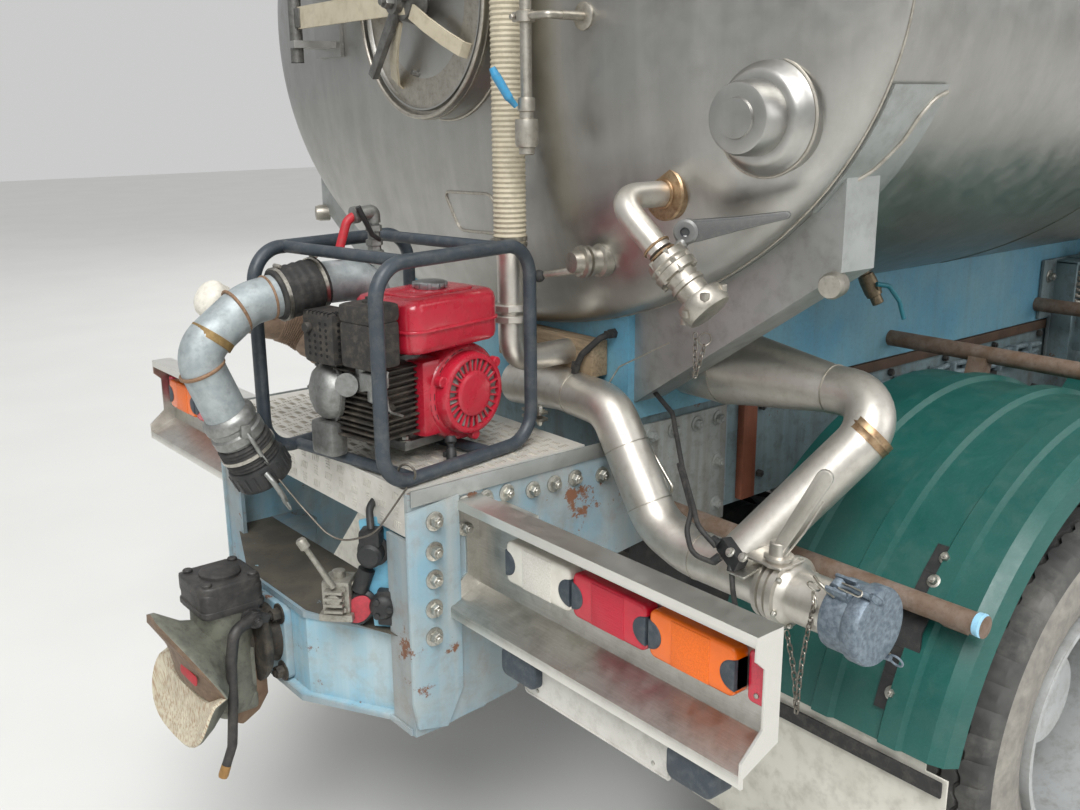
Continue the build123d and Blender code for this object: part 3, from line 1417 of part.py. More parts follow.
bumper_bottom_z = 420.0
front_bumper_half = cab_half + 30.0
front_bumper_top_z = cab_skirt_z - 45.0
front_plan = [
    (front_x - 330, -front_bumper_half),
    (front_x, -front_bumper_half),
    (front_x, front_bumper_half),
    (front_x - 330, front_bumper_half),
    (front_x - 330, front_bumper_half - 60),
    (front_x - 70, front_bumper_half - 60),
    (front_x - 70, -front_bumper_half + 60),
    (front_x - 330, -front_bumper_half + 60),
]
front_bumper = plan_form(front_plan, bumper_bottom_z, front_bumper_top_z, radius=25.0)

# Entry steps: an open box behind each end of the bumper, with a well over each tread
step_front_x = front_x - 315.0
step_z = (bumper_bottom_z, 800.0, cab_floor_z - step_top_gap)
step_box = block((step_rear_x, step_front_x), (step_inner_y, front_bumper_half), (step_z[0], step_z[-1]))
for low, high in zip(step_z, step_z[1:]):
    well_x = (step_rear_x + step_sheet, step_front_x - step_sheet)
    well = block(well_x, (step_inner_y + step_sheet, front_bumper_half + 1), (low + step_tread, high - 12))
    step_box = step_box - well
front_bumper = front_bumper + step_box + mirrored(step_box)
arm_bottom_z = front_bumper_top_z - 150.0
bumper_arm_outline = [
    (rail_front_x - 120, rail_bottom_z + 110),
    (rail_front_x, rail_bottom_z + 110),
    (rail_front_x, front_bumper_top_z),
    (tilt_x - 20, front_bumper_top_z),
    (tilt_x - 20, tilt_z),
    (tilt_x + 20, tilt_z),
    (tilt_x + 20, front_bumper_top_z - 40),
    (front_x - 69, front_bumper_top_z - 40),
    (front_x - 69, arm_bottom_z),
    (rail_front_x - 120, arm_bottom_z),
]
arm = side_form(bumper_arm_outline, *lug_y) + rod((tilt_x, lug_y[0], tilt_z), (tilt_x, lug_y[1], tilt_z), tilt_lug_radius)
arm = arm - rod((tilt_x, lug_y[0] - 1, tilt_z), (tilt_x, lug_y[1] + 1, tilt_z), tilt_pin_radius + seat_gap)
headlamp_y = (front_bumper_half - 470.0, front_bumper_half - 150.0)
headlamp_z = (530.0, 700.0)
lamp_hole = block((front_x - 80, front_x + 1), headlamp_y, headlamp_z)
front_bumper = union([front_bumper, arm, mirrored(arm)]) - lamp_hole - mirrored(lamp_hole)
save("front_bumper", front_bumper)
headlamp_spans = [(low + seat_gap, high - seat_gap) for low, high in (headlamp_y, headlamp_z)]
headlamp = block((front_x - 66, front_x - 8), *headlamp_spans)
save("headlamps", headlamp, mirrored(headlamp))

mirror_y = cab_half + 120.0
mirror_top_z = 2420.0
mirror_bottom_z = 1810.0
mirror_head = block((door_front_x + 50, door_front_x + 110), (cab_half + 20, cab_half + 210), (1900.0, 2330.0))
mirror_arm = bent_tube(
    [
        (door_front_x + 60, cab_half - 5, mirror_top_z),
        (door_front_x + 80, mirror_y, mirror_top_z),
        (door_front_x + 80, mirror_y, mirror_bottom_z),
        (door_front_x + 60, cab_half - 5, mirror_bottom_z),
    ],
    [30, 30],
    11.0,
) - outer
side_mirror = mirror_head + mirror_arm
save("mirrors", side_mirror, mirrored(side_mirror))
print("built")
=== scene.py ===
import bpy
import bmesh
import math
import random
from mathutils import Matrix, Vector


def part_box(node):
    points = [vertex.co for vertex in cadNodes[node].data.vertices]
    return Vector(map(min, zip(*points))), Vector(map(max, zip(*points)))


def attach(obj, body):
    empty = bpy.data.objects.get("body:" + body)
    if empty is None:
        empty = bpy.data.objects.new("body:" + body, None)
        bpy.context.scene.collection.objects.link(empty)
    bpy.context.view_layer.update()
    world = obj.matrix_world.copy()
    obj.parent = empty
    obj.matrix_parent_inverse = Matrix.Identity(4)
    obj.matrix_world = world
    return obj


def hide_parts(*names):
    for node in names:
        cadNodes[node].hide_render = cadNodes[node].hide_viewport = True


# Tanker truck, dressed around its CAD model. Metres, X forward, Y left, Z up.

print("loading the frame")
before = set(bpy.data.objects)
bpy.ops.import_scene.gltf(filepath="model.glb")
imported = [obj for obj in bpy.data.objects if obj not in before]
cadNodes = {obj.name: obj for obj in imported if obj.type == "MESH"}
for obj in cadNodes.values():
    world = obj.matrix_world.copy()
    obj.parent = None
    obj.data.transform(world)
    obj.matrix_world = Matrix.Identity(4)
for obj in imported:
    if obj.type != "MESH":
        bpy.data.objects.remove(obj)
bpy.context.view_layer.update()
random.seed(7)

tail = -3.695  # rear edge of the bumper, from which lengths are counted
tankSet = {"halfWidth": 1.105, "halfHeight": 0.73, "z": 2.11, "headX": 0.474, "headDepth": 0.17}
axleSet = {"rear": -2.445, "middle": -1.145, "front": 2.805, "z": 0.5}


# Colour and node helpers


def linear(hexText):
    parts = [int(hexText[i : i + 2], 16) / 255 for i in (1, 3, 5)]
    return [c / 12.92 if c <= 0.04045 else ((c + 0.055) / 1.055) ** 2.4 for c in parts] + [1.0]


def addNode(tree, kind, values=None, links=None, **settings):
    node = tree.nodes.new(kind)
    for name, value in settings.items():
        setattr(node, name, value)
    for name, value in (values or {}).items():
        node.inputs[name].default_value = value
    for name, socket in (links or {}).items():
        tree.links.new(socket, node.inputs[name])
    return node


def mixColours(tree, factor, first, second):
    mix = addNode(tree, "ShaderNodeMix", data_type="RGBA")
    for slot, value in ((0, factor), (6, first), (7, second)):
        if isinstance(value, bpy.types.NodeSocket):
            tree.links.new(value, mix.inputs[slot])
        else:
            mix.inputs[slot].default_value = value
    return mix.outputs[2]


def spread(tree, socket, low, high, outLow=0.0, outHigh=1.0):
    # Stretches one range of a value to another, clamped
    node = addNode(tree, "ShaderNodeMapRange", {1: low, 2: high, 3: outLow, 4: outHigh}, {0: socket})
    return node.outputs[0]


def finish(name, base, metallic=0.0, rough=0.5, mottle=None, grain=None, streaks=None, dirt=None, chips=None,
           edge=None, coat=0.0, bump=None, roughSpread=0.0, sheen=0.0, glow=None, through=0.0):
    # One layered surface. Every scale is a real size in millimetres.
    # mottle: (hex, size, share)  streaks: (hex, width, share, axis)  dirt and chips: (hex, size, share)
    # grain: (size, height, stretch on X, Y, Z)  bump: (size, height)  edge: (hex, share)
    material = bpy.data.materials.new(name)
    material.use_nodes = True
    tree = material.node_tree
    shader = tree.nodes["Principled BSDF"]
    shader.inputs["Metallic"].default_value = metallic
    shader.inputs["Roughness"].default_value = rough
    shader.inputs["Coat Weight"].default_value = coat
    shader.inputs["Sheen Weight"].default_value = sheen
    shader.inputs["Transmission Weight"].default_value = through
    place = addNode(tree, "ShaderNodeTexCoord").outputs["Object"]
    colour = linear(base)
    cover = None

    def noise(size, detail=3.0, stretch=(1, 1, 1), roughness=0.55, slant=0.0):
        turned = place
        if slant:
            turned = addNode(tree, "ShaderNodeMapping", {"Rotation": (slant, 0, 0)},
                {"Vector": place}).outputs[0]
        where = addNode(tree, "ShaderNodeMapping", {"Scale": stretch}, {"Vector": turned}).outputs[0]
        return addNode(tree, "ShaderNodeTexNoise", {"Scale": 1000 / size, "Detail": detail,
            "Roughness": roughness}, {"Vector": where}).outputs[0]

    if mottle:
        hexText, size, share = mottle
        colour = mixColours(tree, spread(tree, noise(size), 0.35, 0.68, 0, share), colour, linear(hexText))
    if streaks:
        hexText, size, share, axis = streaks
        stretch = [1.0, 1.0, 1.0]
        stretch[min(axis, 2)] = 0.06
        lines = noise(size, 4, stretch, slant=0.8 if axis > 2 else 0.0)
        colour = mixColours(tree, spread(tree, lines, 0.45, 0.75, 0, share), colour, linear(hexText))
    if dirt:
        hexText, size, share = dirt
        colour = mixColours(tree, spread(tree, noise(size, 6, roughness=0.7), 0.48, 0.72, 0, share), colour,
            linear(hexText))
    if edge:
        hexText, share = edge
        point = addNode(tree, "ShaderNodeNewGeometry").outputs["Pointiness"]
        colour = mixColours(tree, spread(tree, point, 0.52, 0.58, 0, share), colour, linear(hexText))
    if chips:
        hexText, size, share = chips
        cover = spread(tree, noise(size, 8, roughness=0.75), 0.72 - share, 0.75 - share)
        colour = mixColours(tree, cover, colour, linear(hexText))
    if isinstance(colour, bpy.types.NodeSocket):
        tree.links.new(colour, shader.inputs["Base Color"])
    else:
        shader.inputs["Base Color"].default_value = colour
    if roughSpread:
        worn = spread(tree, noise(45, 5), 0.3, 0.7, rough - roughSpread, rough + roughSpread)
        tree.links.new(worn, shader.inputs["Roughness"])
    heights = []
    if grain:
        size, height, stretch = grain
        heights.append((noise(size, 3, stretch), height))
    if bump:
        size, height = bump
        heights.append((noise(size, 4), height))
    if cover:
        heights.append((cover, -0.15))
    normal = None
    for socket, height in heights:
        node = addNode(tree, "ShaderNodeBump", {"Strength": min(abs(height), 1.0), "Distance": 0.001},
            {"Height": socket})
        node.invert = height < 0
        if normal:
            tree.links.new(normal, node.inputs["Normal"])
        normal = node.outputs[0]
    if normal:
        tree.links.new(normal, shader.inputs["Normal"])
    if glow:
        shader.inputs["Emission Color"].default_value = linear(glow[0])
        shader.inputs["Emission Strength"].default_value = glow[1]
    return material


print("materials")
# Stainless sheet, cold rolled and dull: cloudy warm grey with washed streaks
tankSteel = finish("rolled stainless sheet", "#B3B2AE", 1.0, 0.38, mottle=("#96948F", 420, 0.5),
    streaks=("#C9C7C2", 60, 0.35, 2), dirt=("#8A867E", 70, 0.22), roughSpread=0.07, bump=(520, 0.22),
    grain=(7.0, 0.1, (1, 1, 0.04)))
# Stainless tube, pickled and bead blasted: even soft grey, dull
pipeSteel = finish("blasted stainless tube", "#D3CFC7", 0.9, 0.42, mottle=("#B5AFA5", 90, 0.5),
    dirt=("#9B9080", 22, 0.3), roughSpread=0.06, bump=(2.0, 0.15))
# Stainless plate of the saddles and wings, brushed and never polished
sheetSteel = finish("brushed stainless plate", "#B4B7B5", 0.85, 0.5, mottle=("#969995", 160, 0.5),
    dirt=("#7A7871", 40, 0.35), roughSpread=0.06, grain=(2.0, 0.15, (1, 0.05, 1)))
# Stainless sheet, linished along its length: brighter with fine lines
bumperSteel = finish("linished stainless sheet", "#C4C2BC", 1.0, 0.38, mottle=("#A9A6A0", 120, 0.45),
    streaks=("#DAD8D2", 3.0, 0.45, 1), dirt=("#857F74", 26, 0.35), edge=("#ECEAE4", 0.8), roughSpread=0.07,
    grain=(1.6, 0.2, (1, 0.03, 1)))
# Cast stainless fittings
castSteel = finish("cast stainless", "#B9B4AA", 1.0, 0.44, mottle=("#9A948A", 25, 0.5),
    dirt=("#6F6759", 12, 0.4), bump=(1.6, 0.3))
# Sky blue enamel over steel, years old: chalky, chipped to rust and grey
blueEnamel = finish("chalky sky blue enamel", "#52B4DA", 0.0, 0.5, mottle=("#8ACBDD", 190, 0.7),
    streaks=("#6E98A2", 40, 0.4, 2), dirt=("#50707C", 11, 0.3), chips=("#5D5148", 26, 0.045),
    edge=("#6E5A4A", 0.4), roughSpread=0.08, bump=(4.0, 0.15))
# Rails under the subframe: the same enamel long buried under brown road dirt
railDirt = finish("road caked frame enamel", "#6D8288", 0.0, 0.65, mottle=("#85989B", 150, 0.6),
    streaks=("#5A4A3E", 60, 0.6, 2), dirt=("#4C4239", 45, 0.6), chips=("#6B4C39", 50, 0.08), bump=(4.0, 0.3))
# The same enamel where the tail frame was scrubbed: worn thin to pale grey primer
wornBlue = finish("scrubbed blue enamel", "#9DB2B8", 0.0, 0.58, mottle=("#6FB2CE", 150, 0.75),
    streaks=("#C3C7C3", 55, 0.6, 2), dirt=("#8D8373", 60, 0.5), chips=("#77513B", 95, 0.12),
    edge=("#6E5A4A", 0.45), roughSpread=0.1, bump=(5.0, 0.2))
# Hot dip zinc: pale blue grey with faint spangle
zinc = finish("hot dip zinc", "#AFB6B7", 0.6, 0.6, mottle=("#8F989B", 24, 0.7), dirt=("#6E6F6A", 30, 0.45),
    chips=("#6E4A33", 30, 0.05), roughSpread=0.12, bump=(6.0, 0.35))
# Checker plate: grey under dried mud, its bars rubbed pale
chequer = finish("worn chequer plate", "#CFCBC1", 0.4, 0.5, mottle=("#B0AA9E", 90, 0.6),
    dirt=("#857D6E", 30, 0.45), edge=("#E0DED7", 0.5), roughSpread=0.08, bump=(2.0, 0.2))
# Slate enamel on the pump frame tube, scuffed at the bends
slateEnamel = finish("scuffed slate enamel", "#2F373E", 0.0, 0.45, mottle=("#434C54", 60, 0.4),
    dirt=("#6B6A66", 25, 0.35), edge=("#8A8F93", 0.6), roughSpread=0.12, bump=(1.5, 0.15))
# Small engine red: wet gloss under a little dust
redEnamel = finish("gloss crimson enamel", "#B21F33", 0.0, 0.28, mottle=("#9C1428", 60, 0.4),
    dirt=("#5E4A42", 20, 0.18), coat=0.4, roughSpread=0.06)
# Bare iron gone black with oil, dust in its hollows
blackIron = finish("dirty cast iron", "#34322F", 0.35, 0.62, mottle=("#4B443C", 22, 0.6),
    dirt=("#7B7263", 40, 0.5), chips=("#6A4631", 18, 0.1), bump=(2.2, 0.5), roughSpread=0.1)
# Running gear black, dulled by road spray
blackEnamel = finish("black chassis enamel", "#2A2B2B", 0.0, 0.5, mottle=("#3B3A38", 80, 0.6),
    dirt=("#6A645A", 70, 0.5), bump=(3.0, 0.2), roughSpread=0.1)
# Nylon moulding: fine grain and hardly any shine
blackPlastic = finish("grained black nylon", "#1E1F20", 0.0, 0.52, mottle=("#2B2C2D", 30, 0.5),
    dirt=("#57534C", 20, 0.25), bump=(1.2, 0.25), roughSpread=0.08)
# Hose rubber: flat black with a grey bloom
rubber = finish("black rubber", "#232323", 0.0, 0.72, mottle=("#343332", 30, 0.5), dirt=("#6B665D", 22, 0.3),
    bump=(1.5, 0.3), roughSpread=0.08)
# Tread and wall greyed by dry road dust
tyreRubber = finish("dusty tyre rubber", "#3F3F3E", 0.0, 0.8, mottle=("#5C5B58", 60, 0.6),
    dirt=("#8E8B85", 200, 0.5), bump=(2.0, 0.3), roughSpread=0.06)
# Wheel silver, soft and darkened by brake dust
wheelEnamel = finish("silver grey wheel enamel", "#B9BCBC", 0.35, 0.42, mottle=("#A0A19E", 90, 0.5),
    dirt=("#7A7268", 35, 0.45), roughSpread=0.1)
# Deep green moulding with pale marks of the wash brush
guardPlastic = finish("moulded green polyethylene", "#174E48", 0.0, 0.42, mottle=("#1F5C54", 200, 0.5),
    streaks=("#3A7269", 4.0, 0.18, 0), dirt=("#4C6660", 90, 0.3), roughSpread=0.1, bump=(1.4, 0.1))
# Hose vinyl yellowed to cream
creamHose = finish("cream ribbed hose", "#B9B09A", 0.0, 0.6, mottle=("#A39A85", 40, 0.5),
    dirt=("#7C7364", 16, 0.4), roughSpread=0.06)
# Cab white: clean gloss under a thin haze
cabEnamel = finish("white cab enamel", "#C6C9C9", 0.0, 0.3, mottle=("#BABDBD", 300, 0.5),
    dirt=("#A09D94", 260, 0.25), coat=0.5, roughSpread=0.05)
# Glass with a faint green grey tint
glassClear = finish("tinted safety glass", "#9FB0AE", 0.0, 0.05, through=0.85)
# Blue black weave that takes no shine
seatCloth = finish("woven seat cloth", "#2C3340", 0.0, 0.85, mottle=("#3A4252", 4.0, 0.7), sheen=0.4,
    grain=(2.4, 0.6, (1, 1, 0.3)))
# Leathery grain in flat dark grey
dashPlastic = finish("grained dash vinyl", "#35373A", 0.0, 0.6, mottle=("#404245", 5.0, 0.5), bump=(1.8, 0.4))
# Untreated aluminium: pale, with marks drawn along it
aluminium = finish("mill finish aluminium", "#B4B6B7", 1.0, 0.36, mottle=("#9C9E9F", 80, 0.5),
    dirt=("#7C7A75", 30, 0.25), streaks=("#C9CBCC", 4.0, 0.3, 0), roughSpread=0.08)
# Flap sheet bleached to a chalky pale grey
flapRubber = finish("dusty pale flap rubber", "#CFCCC1", 0.0, 0.7, mottle=("#B5B2A6", 90, 0.6),
    dirt=("#8A8579", 45, 0.4), bump=(2.0, 0.3), roughSpread=0.08)

# Guard stays: mill scale gone brown
barBrown = finish("brown scaled steel bar", "#75604F", 0.3, 0.7, mottle=("#8E8177", 40, 0.7),
    dirt=("#4E3A2D", 14, 0.5), bump=(2.0, 0.5))
cadFinishes = {
    "tank_shell": tankSteel, "chassis_frame": railDirt, "subframe": blueEnamel,
    "tank_saddles": sheetSteel, "tail_frame": wornBlue, "deck_plate": chequer, "drawbeam": wornBlue,
    "tow_coupling": blackIron, "rear_bumper": bumperSteel, "rear_lamps": blackPlastic,
    "manway_ring": tankSteel, "manway_lid": castSteel, "head_fittings": castSteel,
    "vent_hose": creamHose, "upper_outlet": pipeSteel, "transfer_pipes": pipeSteel,
    "transfer_valve": castSteel, "pump_frame": slateEnamel, "pump_engine": redEnamel,
    "pump_fuel_tank": redEnamel, "pump_housing": blackIron, "discharge_pipe": zinc,
    "mudguards": guardPlastic, "guard_stays": barBrown, "mudflaps": flapRubber,
    "drive_axles": blackEnamel, "front_axle": blackEnamel, "knuckle_left": blackEnamel,
    "knuckle_right": blackEnamel, "leaf_springs": blackEnamel, "engine_block": blackIron,
    "fuel_tank": aluminium, "battery_box": blackPlastic, "air_tanks": blackEnamel, "walkway": aluminium,
    "hatch_lid": castSteel, "cab_shell": cabEnamel, "door_left": cabEnamel, "door_right": cabEnamel,
    "door_glass_left": glassClear, "door_glass_right": glassClear, "cab_glass": glassClear,
    "cab_interior": seatCloth, "grille": blackPlastic, "front_bumper": blackPlastic,
    "headlamps": aluminium, "mirrors": blackPlastic, "front_mudguards": guardPlastic,
}
for node, obj in cadNodes.items():
    surface = cadFinishes.get(node) or (tyreRubber if node.startswith("tyre") else wheelEnamel)
    obj.data.materials.clear()
    obj.data.materials.append(surface)

# Mesh helpers: each adds one form to a shape, and finished() makes the shape a piece


def addBlock(shape, low, high, bevel=0.002, turn=None):
    made = bmesh.ops.create_cube(shape, size=1.0)["verts"]
    size = Vector(high) - Vector(low)
    middle = (Vector(high) + Vector(low)) / 2
    place = Matrix.Translation(middle) @ (turn or Matrix()) @ Matrix.Diagonal((*size, 1.0))
    bmesh.ops.transform(shape, matrix=place, verts=made)
    if bevel:
        edges = list({edge for vert in made for edge in vert.link_edges})
        bmesh.ops.bevel(shape, geom=edges, offset=bevel, segments=2, profile=0.6, affect="EDGES")


def addTurned(shape, rows, base, axis, sides=32, squash=(1.0, 1.0), startTurn=0.0):
    # rows of (along, radius) turned about an axis through base; a row of radius 0 closes an end
    axis = Vector(axis).normalized()
    side = axis.orthogonal().normalized()
    other = axis.cross(side)
    rings = []
    for along, radius in rows:
        centre = Vector(base) + axis * along
        if radius <= 0:
            rings.append([shape.verts.new(centre)])
            continue
        ring = []
        for i in range(sides):
            angle = math.tau * i / sides + startTurn
            reach = side * math.cos(angle) * squash[0] + other * math.sin(angle) * squash[1]
            ring.append(shape.verts.new(centre + reach * radius))
        rings.append(ring)
    for first, second in zip(rings, rings[1:]):
        for i in range(sides):
            j = (i + 1) % sides
            if len(first) == 1:
                shape.faces.new((first[0], second[j], second[i]))
            elif len(second) == 1:
                shape.faces.new((first[i], first[j], second[0]))
            else:
                shape.faces.new((first[i], first[j], second[j], second[i]))
    for ring, flip in ((rings[0], True), (rings[-1], False)):
        if len(ring) > 1:
            shape.faces.new(ring[::-1] if flip else ring)


def roundedPath(points, radius, steps=6):
    # Straight runs joined by arcs, for rigid tube and bent bar; radius is one number or one for each corner
    points = [Vector(point) for point in points]
    radii = radius if isinstance(radius, (list, tuple)) else [radius] * (len(points) - 2)
    path = [points[0]]
    for before, corner, after, bend in zip(points, points[1:], points[2:], radii):
        toBefore, toAfter = (before - corner), (after - corner)
        half = toBefore.angle(toAfter) / 2
        cut = min(bend / math.tan(half), toBefore.length * 0.48, toAfter.length * 0.48)
        start, end = corner + toBefore.normalized() * cut, corner + toAfter.normalized() * cut
        for i in range(steps + 1):
            t = i / steps
            path.append(start * (1 - t) ** 2 + corner * 2 * t * (1 - t) + end * t**2)
    path.append(points[-1])
    return path


def closedPath(points, radius, steps=5):
    # A closed outline with rounded corners, for seals and bands
    points = [Vector(point) for point in points]
    start = (points[0] + points[1]) / 2
    return roundedPath([start, *points[1:], points[0], start], radius, steps)[:-1]


def addTube(shape, path, radius, sides=12, closed=False):
    # radius is one number or one for each point of the path
    path = [Vector(point) for point in path]
    count = len(path)
    radii = radius if isinstance(radius, (list, tuple)) else [radius] * count
    ahead = [(path[(i + 1) % count] - path[i]) for i in range(count)]
    if not closed:
        ahead[-1] = ahead[-2]
    side = ahead[0].orthogonal().normalized()
    rings = []
    for i in range(count):
        back = ahead[i - 1] if (i or closed) else ahead[0]
        along = (ahead[i].normalized() + back.normalized()).normalized()
        side = (side - along * side.dot(along)).normalized()
        other = along.cross(side)
        ring = []
        for k in range(sides):
            angle = math.tau * k / sides
            reach = side * math.cos(angle) + other * math.sin(angle)
            ring.append(shape.verts.new(path[i] + reach * radii[i]))
        rings.append(ring)
    pairs = list(zip(rings, rings[1:]))
    if closed:
        # The last ring is joined to the first at the turn that lies nearest
        last, first = rings[-1], rings[0]
        shift = min(range(sides), key=lambda k: (last[0].co - first[k].co).length)
        pairs.append((last, first[shift:] + first[:shift]))
    for first, second in pairs:
        for k in range(sides):
            j = (k + 1) % sides
            shape.faces.new((first[k], first[j], second[j], second[k]))
    if not closed:
        shape.faces.new(rings[0][::-1])
        shape.faces.new(rings[-1])


def addPrism(shape, outline, depth, bevel=0.0):
    # A closed outline of 3D points, pushed out by a depth vector
    near = [shape.verts.new(Vector(point)) for point in outline]
    far = [shape.verts.new(Vector(point) + Vector(depth)) for point in outline]
    faces = [shape.faces.new(near[::-1]), shape.faces.new(far)]
    for i in range(len(near)):
        j = (i + 1) % len(near)
        faces.append(shape.faces.new((near[i], near[j], far[j], far[i])))
    bmesh.ops.recalc_face_normals(shape, faces=faces)
    if bevel:
        edges = list({edge for face in faces for edge in face.edges})
        bmesh.ops.bevel(shape, geom=edges, offset=bevel, segments=2, profile=0.6, affect="EDGES")


def addBolt(shape, place, axis, across=0.019, washer=True, stud=0.004):
    # Hexagon head or nut on a washer, with a short stud end
    axis = Vector(axis).normalized()
    place = Vector(place)
    if washer:
        addTurned(shape, [(-0.001, across * 0.85), (0.0025, across * 0.85), (0.003, across * 0.8)], place,
            axis, 20)
    rows = [(0.002, across * 0.55), (0.002 + across * 0.55, across * 0.55),
        (0.002 + across * 0.65, across * 0.47)]
    addTurned(shape, rows, place, axis, 6, startTurn=random.random() * 2)
    if stud:
        addTurned(shape, [(0.002, across * 0.3), (across * 0.65 + stud, across * 0.3),
            (across * 0.7 + stud, across * 0.25)], place, axis, 12)


def finished(name, shape, surface, body="chassis", sharp=38, replaces=(), place=None):
    if place:
        bmesh.ops.transform(shape, matrix=place, verts=shape.verts)
    bmesh.ops.recalc_face_normals(shape, faces=shape.faces)
    mesh = bpy.data.meshes.new(name)
    shape.to_mesh(mesh)
    shape.free()
    mesh.shade_smooth()
    mesh.set_sharp_from_angle(angle=math.radians(sharp))
    obj = bpy.data.objects.new(name, mesh)
    bpy.context.scene.collection.objects.link(obj)
    for one in surface if isinstance(surface, (list, tuple)) else [surface]:
        mesh.materials.append(one)
    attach(obj, body)
    if replaces:
        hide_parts(*replaces)
    return obj


def headX(y, z):
    # The rear head's surface
    inside = 1 - (y / tankSet["halfWidth"]) ** 2 - ((z - tankSet["z"]) / tankSet["halfHeight"]) ** 2
    return tail + tankSet["headX"] - tankSet["headDepth"] * math.sqrt(max(inside, 0.0))


def at(x, y, z):
    # A place counted forward from the rear bumper's edge
    return Vector((tail + x, y, z))


def around(count, start=0.0):
    # Angles evenly spaced round a circle
    return [math.tau * (n + start) / count for n in range(count)]


def spoke(angle):
    # A direction in the upright plane of X and Z
    return Vector((math.cos(angle), 0, math.sin(angle)))


def trail(*rows):
    return [at(*row) for row in rows]


def trailFrom(start, *shifts):
    return [start + Vector(shift) for shift in shifts]


def addBox(shape, centre, half, bevel=0.002, turn=None):
    # A block given by its centre and half sizes
    addBlock(shape, centre - Vector(half), centre + Vector(half), bevel, turn)


def addSideBlock(shape, side, alongX, acrossY, upZ, bevel):
    # A block on one side of the truck: pairs counted from the bumper, the middle plane and the ground
    low, high = sorted((side * acrossY[0], side * acrossY[1]))
    addBlock(shape, at(alongX[0], low, upZ[0]), at(alongX[1], high, upZ[1]), bevel)


def roundedRect(low, high, radius, steps=5):
    points = []
    corners = ((high[0], high[1], -1, -1), (low[0], high[1], 1, -1), (low[0], low[1], 1, 1),
        (high[0], low[1], -1, 1))
    for turn, (x, y, inX, inY) in enumerate(corners):
        for i in range(steps + 1):
            angle = math.radians(90 * turn + 90 * i / steps)
            points.append((x + inX * radius + radius * math.cos(angle),
                y + inY * radius + radius * math.sin(angle)))
    return points


def addRaised(shape, outline, out, depth, rounding=0.003, steps=3):
    # A plate of any outline raised along out, with its front edge rounded over
    out = Vector(out).normalized()
    outline = [Vector(point) for point in outline]
    count = len(outline)
    inward = []
    for i in range(count):
        first = (outline[i] - outline[i - 1]).normalized()
        second = (outline[(i + 1) % count] - outline[i]).normalized()
        normal = out.cross(first + second).normalized()
        inward.append(normal / max(normal.dot(out.cross(first)), 0.5))
    centre = sum(outline, Vector()) / count
    if sum(inward[i].dot(centre - outline[i]) for i in range(count)) < 0:
        inward = [-one for one in inward]
    rows = [(0.0, 0.0)]
    for i in range(steps + 1):
        angle = math.pi / 2 * i / steps
        rows.append((rounding * (1 - math.cos(angle)), depth - rounding + rounding * math.sin(angle)))
    rings = []
    for inset, rise in rows:
        rings.append([shape.verts.new(outline[i] + inward[i] * inset + out * rise) for i in range(count)])
    for first, second in zip(rings, rings[1:]):
        for i in range(count):
            j = (i + 1) % count
            shape.faces.new((first[i], first[j], second[j], second[i]))
    shape.faces.new(rings[0][::-1])
    shape.faces.new(rings[-1])


def addPad(shape, low, high, corner, base, across, rise, depth, rounding=0.003, steps=5):
    # A rounded rectangle on a plane through base, raised by depth along across x rise
    base, across, rise = Vector(base), Vector(across).normalized(), Vector(rise).normalized()
    outline = [base + across * x + rise * y for x, y in roundedRect(low, high, corner, steps)]
    addRaised(shape, outline, across.cross(rise), depth, rounding)


def addRing(shape, centre, axis, radius, wire, sides=24, wireSides=8):
    axis = Vector(axis).normalized()
    side = axis.orthogonal().normalized()
    other = axis.cross(side)
    path = [Vector(centre) + (side * math.cos(turn) + other * math.sin(turn)) * radius
        for turn in around(sides)]
    addTube(shape, path, wire, wireSides, closed=True)


def addChain(shape, points, link=0.017, wide=0.01, wire=0.0016):
    # Oval links set a quarter turn apart along a line of points
    path = [Vector(point) for point in points]
    lengths = [(b - a).length for a, b in zip(path, path[1:])]
    total = sum(lengths)
    pitch = link - 2.4 * wire
    for n in range(int(total / pitch)):
        far = (n + 0.5) * pitch
        for i, length in enumerate(lengths):
            if far <= length or i == len(lengths) - 1:
                break
            far -= length
        along = (path[i + 1] - path[i]).normalized()
        centre = path[i] + along * far
        side = along.cross(Vector((0.3, 1.0, 0.2))).normalized()
        across = side if n % 2 else along.cross(side).normalized()
        loop = []
        for k in range(12):
            angle = math.tau * k / 12
            reach = (link - wide) / 2 * (1 if math.cos(angle) > 0 else -1)
            reach += wide / 2 * math.cos(angle)
            loop.append(centre + along * reach + across * wide / 2 * math.sin(angle))
        addTube(shape, loop, wire, 5, closed=True)


print("rear lamps")
# Acrylic lenses, moulded with prisms inside: clear gloss over strong colour
lensWhite = finish("milky acrylic lens", "#DAD6CB", 0.0, 0.12, mottle=("#C6C0B2", 30, 0.5),
    dirt=("#A79F8F", 40, 0.25), coat=0.6)
lensRed = finish("crimson acrylic lens", "#C00F2C", 0.0, 0.2, mottle=("#A30C24", 30, 0.4), coat=0.25)
lensAmber = finish("amber acrylic lens", "#E96A00", 0.0, 0.2, mottle=("#D75E00", 30, 0.4), coat=0.25)
# The lens middles carry prisms about 1.5 mm apart, drawn at 2.5 mm so that they show
prismWhite = finish("milky prism lens", "#D5D2CA", 0.0, 0.3, mottle=("#B9B3A6", 2.5, 0.7), bump=(2.5, 0.8))
prismRed = finish("crimson prism lens", "#B8122E", 0.0, 0.3, mottle=("#A3142B", 2.5, 0.6),
    grain=(3.0, 0.9, (1, 0.1, 1)))
prismAmber = finish("amber prism lens", "#EC6E04", 0.0, 0.3, mottle=("#CF5800", 2.5, 0.7), bump=(2.5, 0.8))
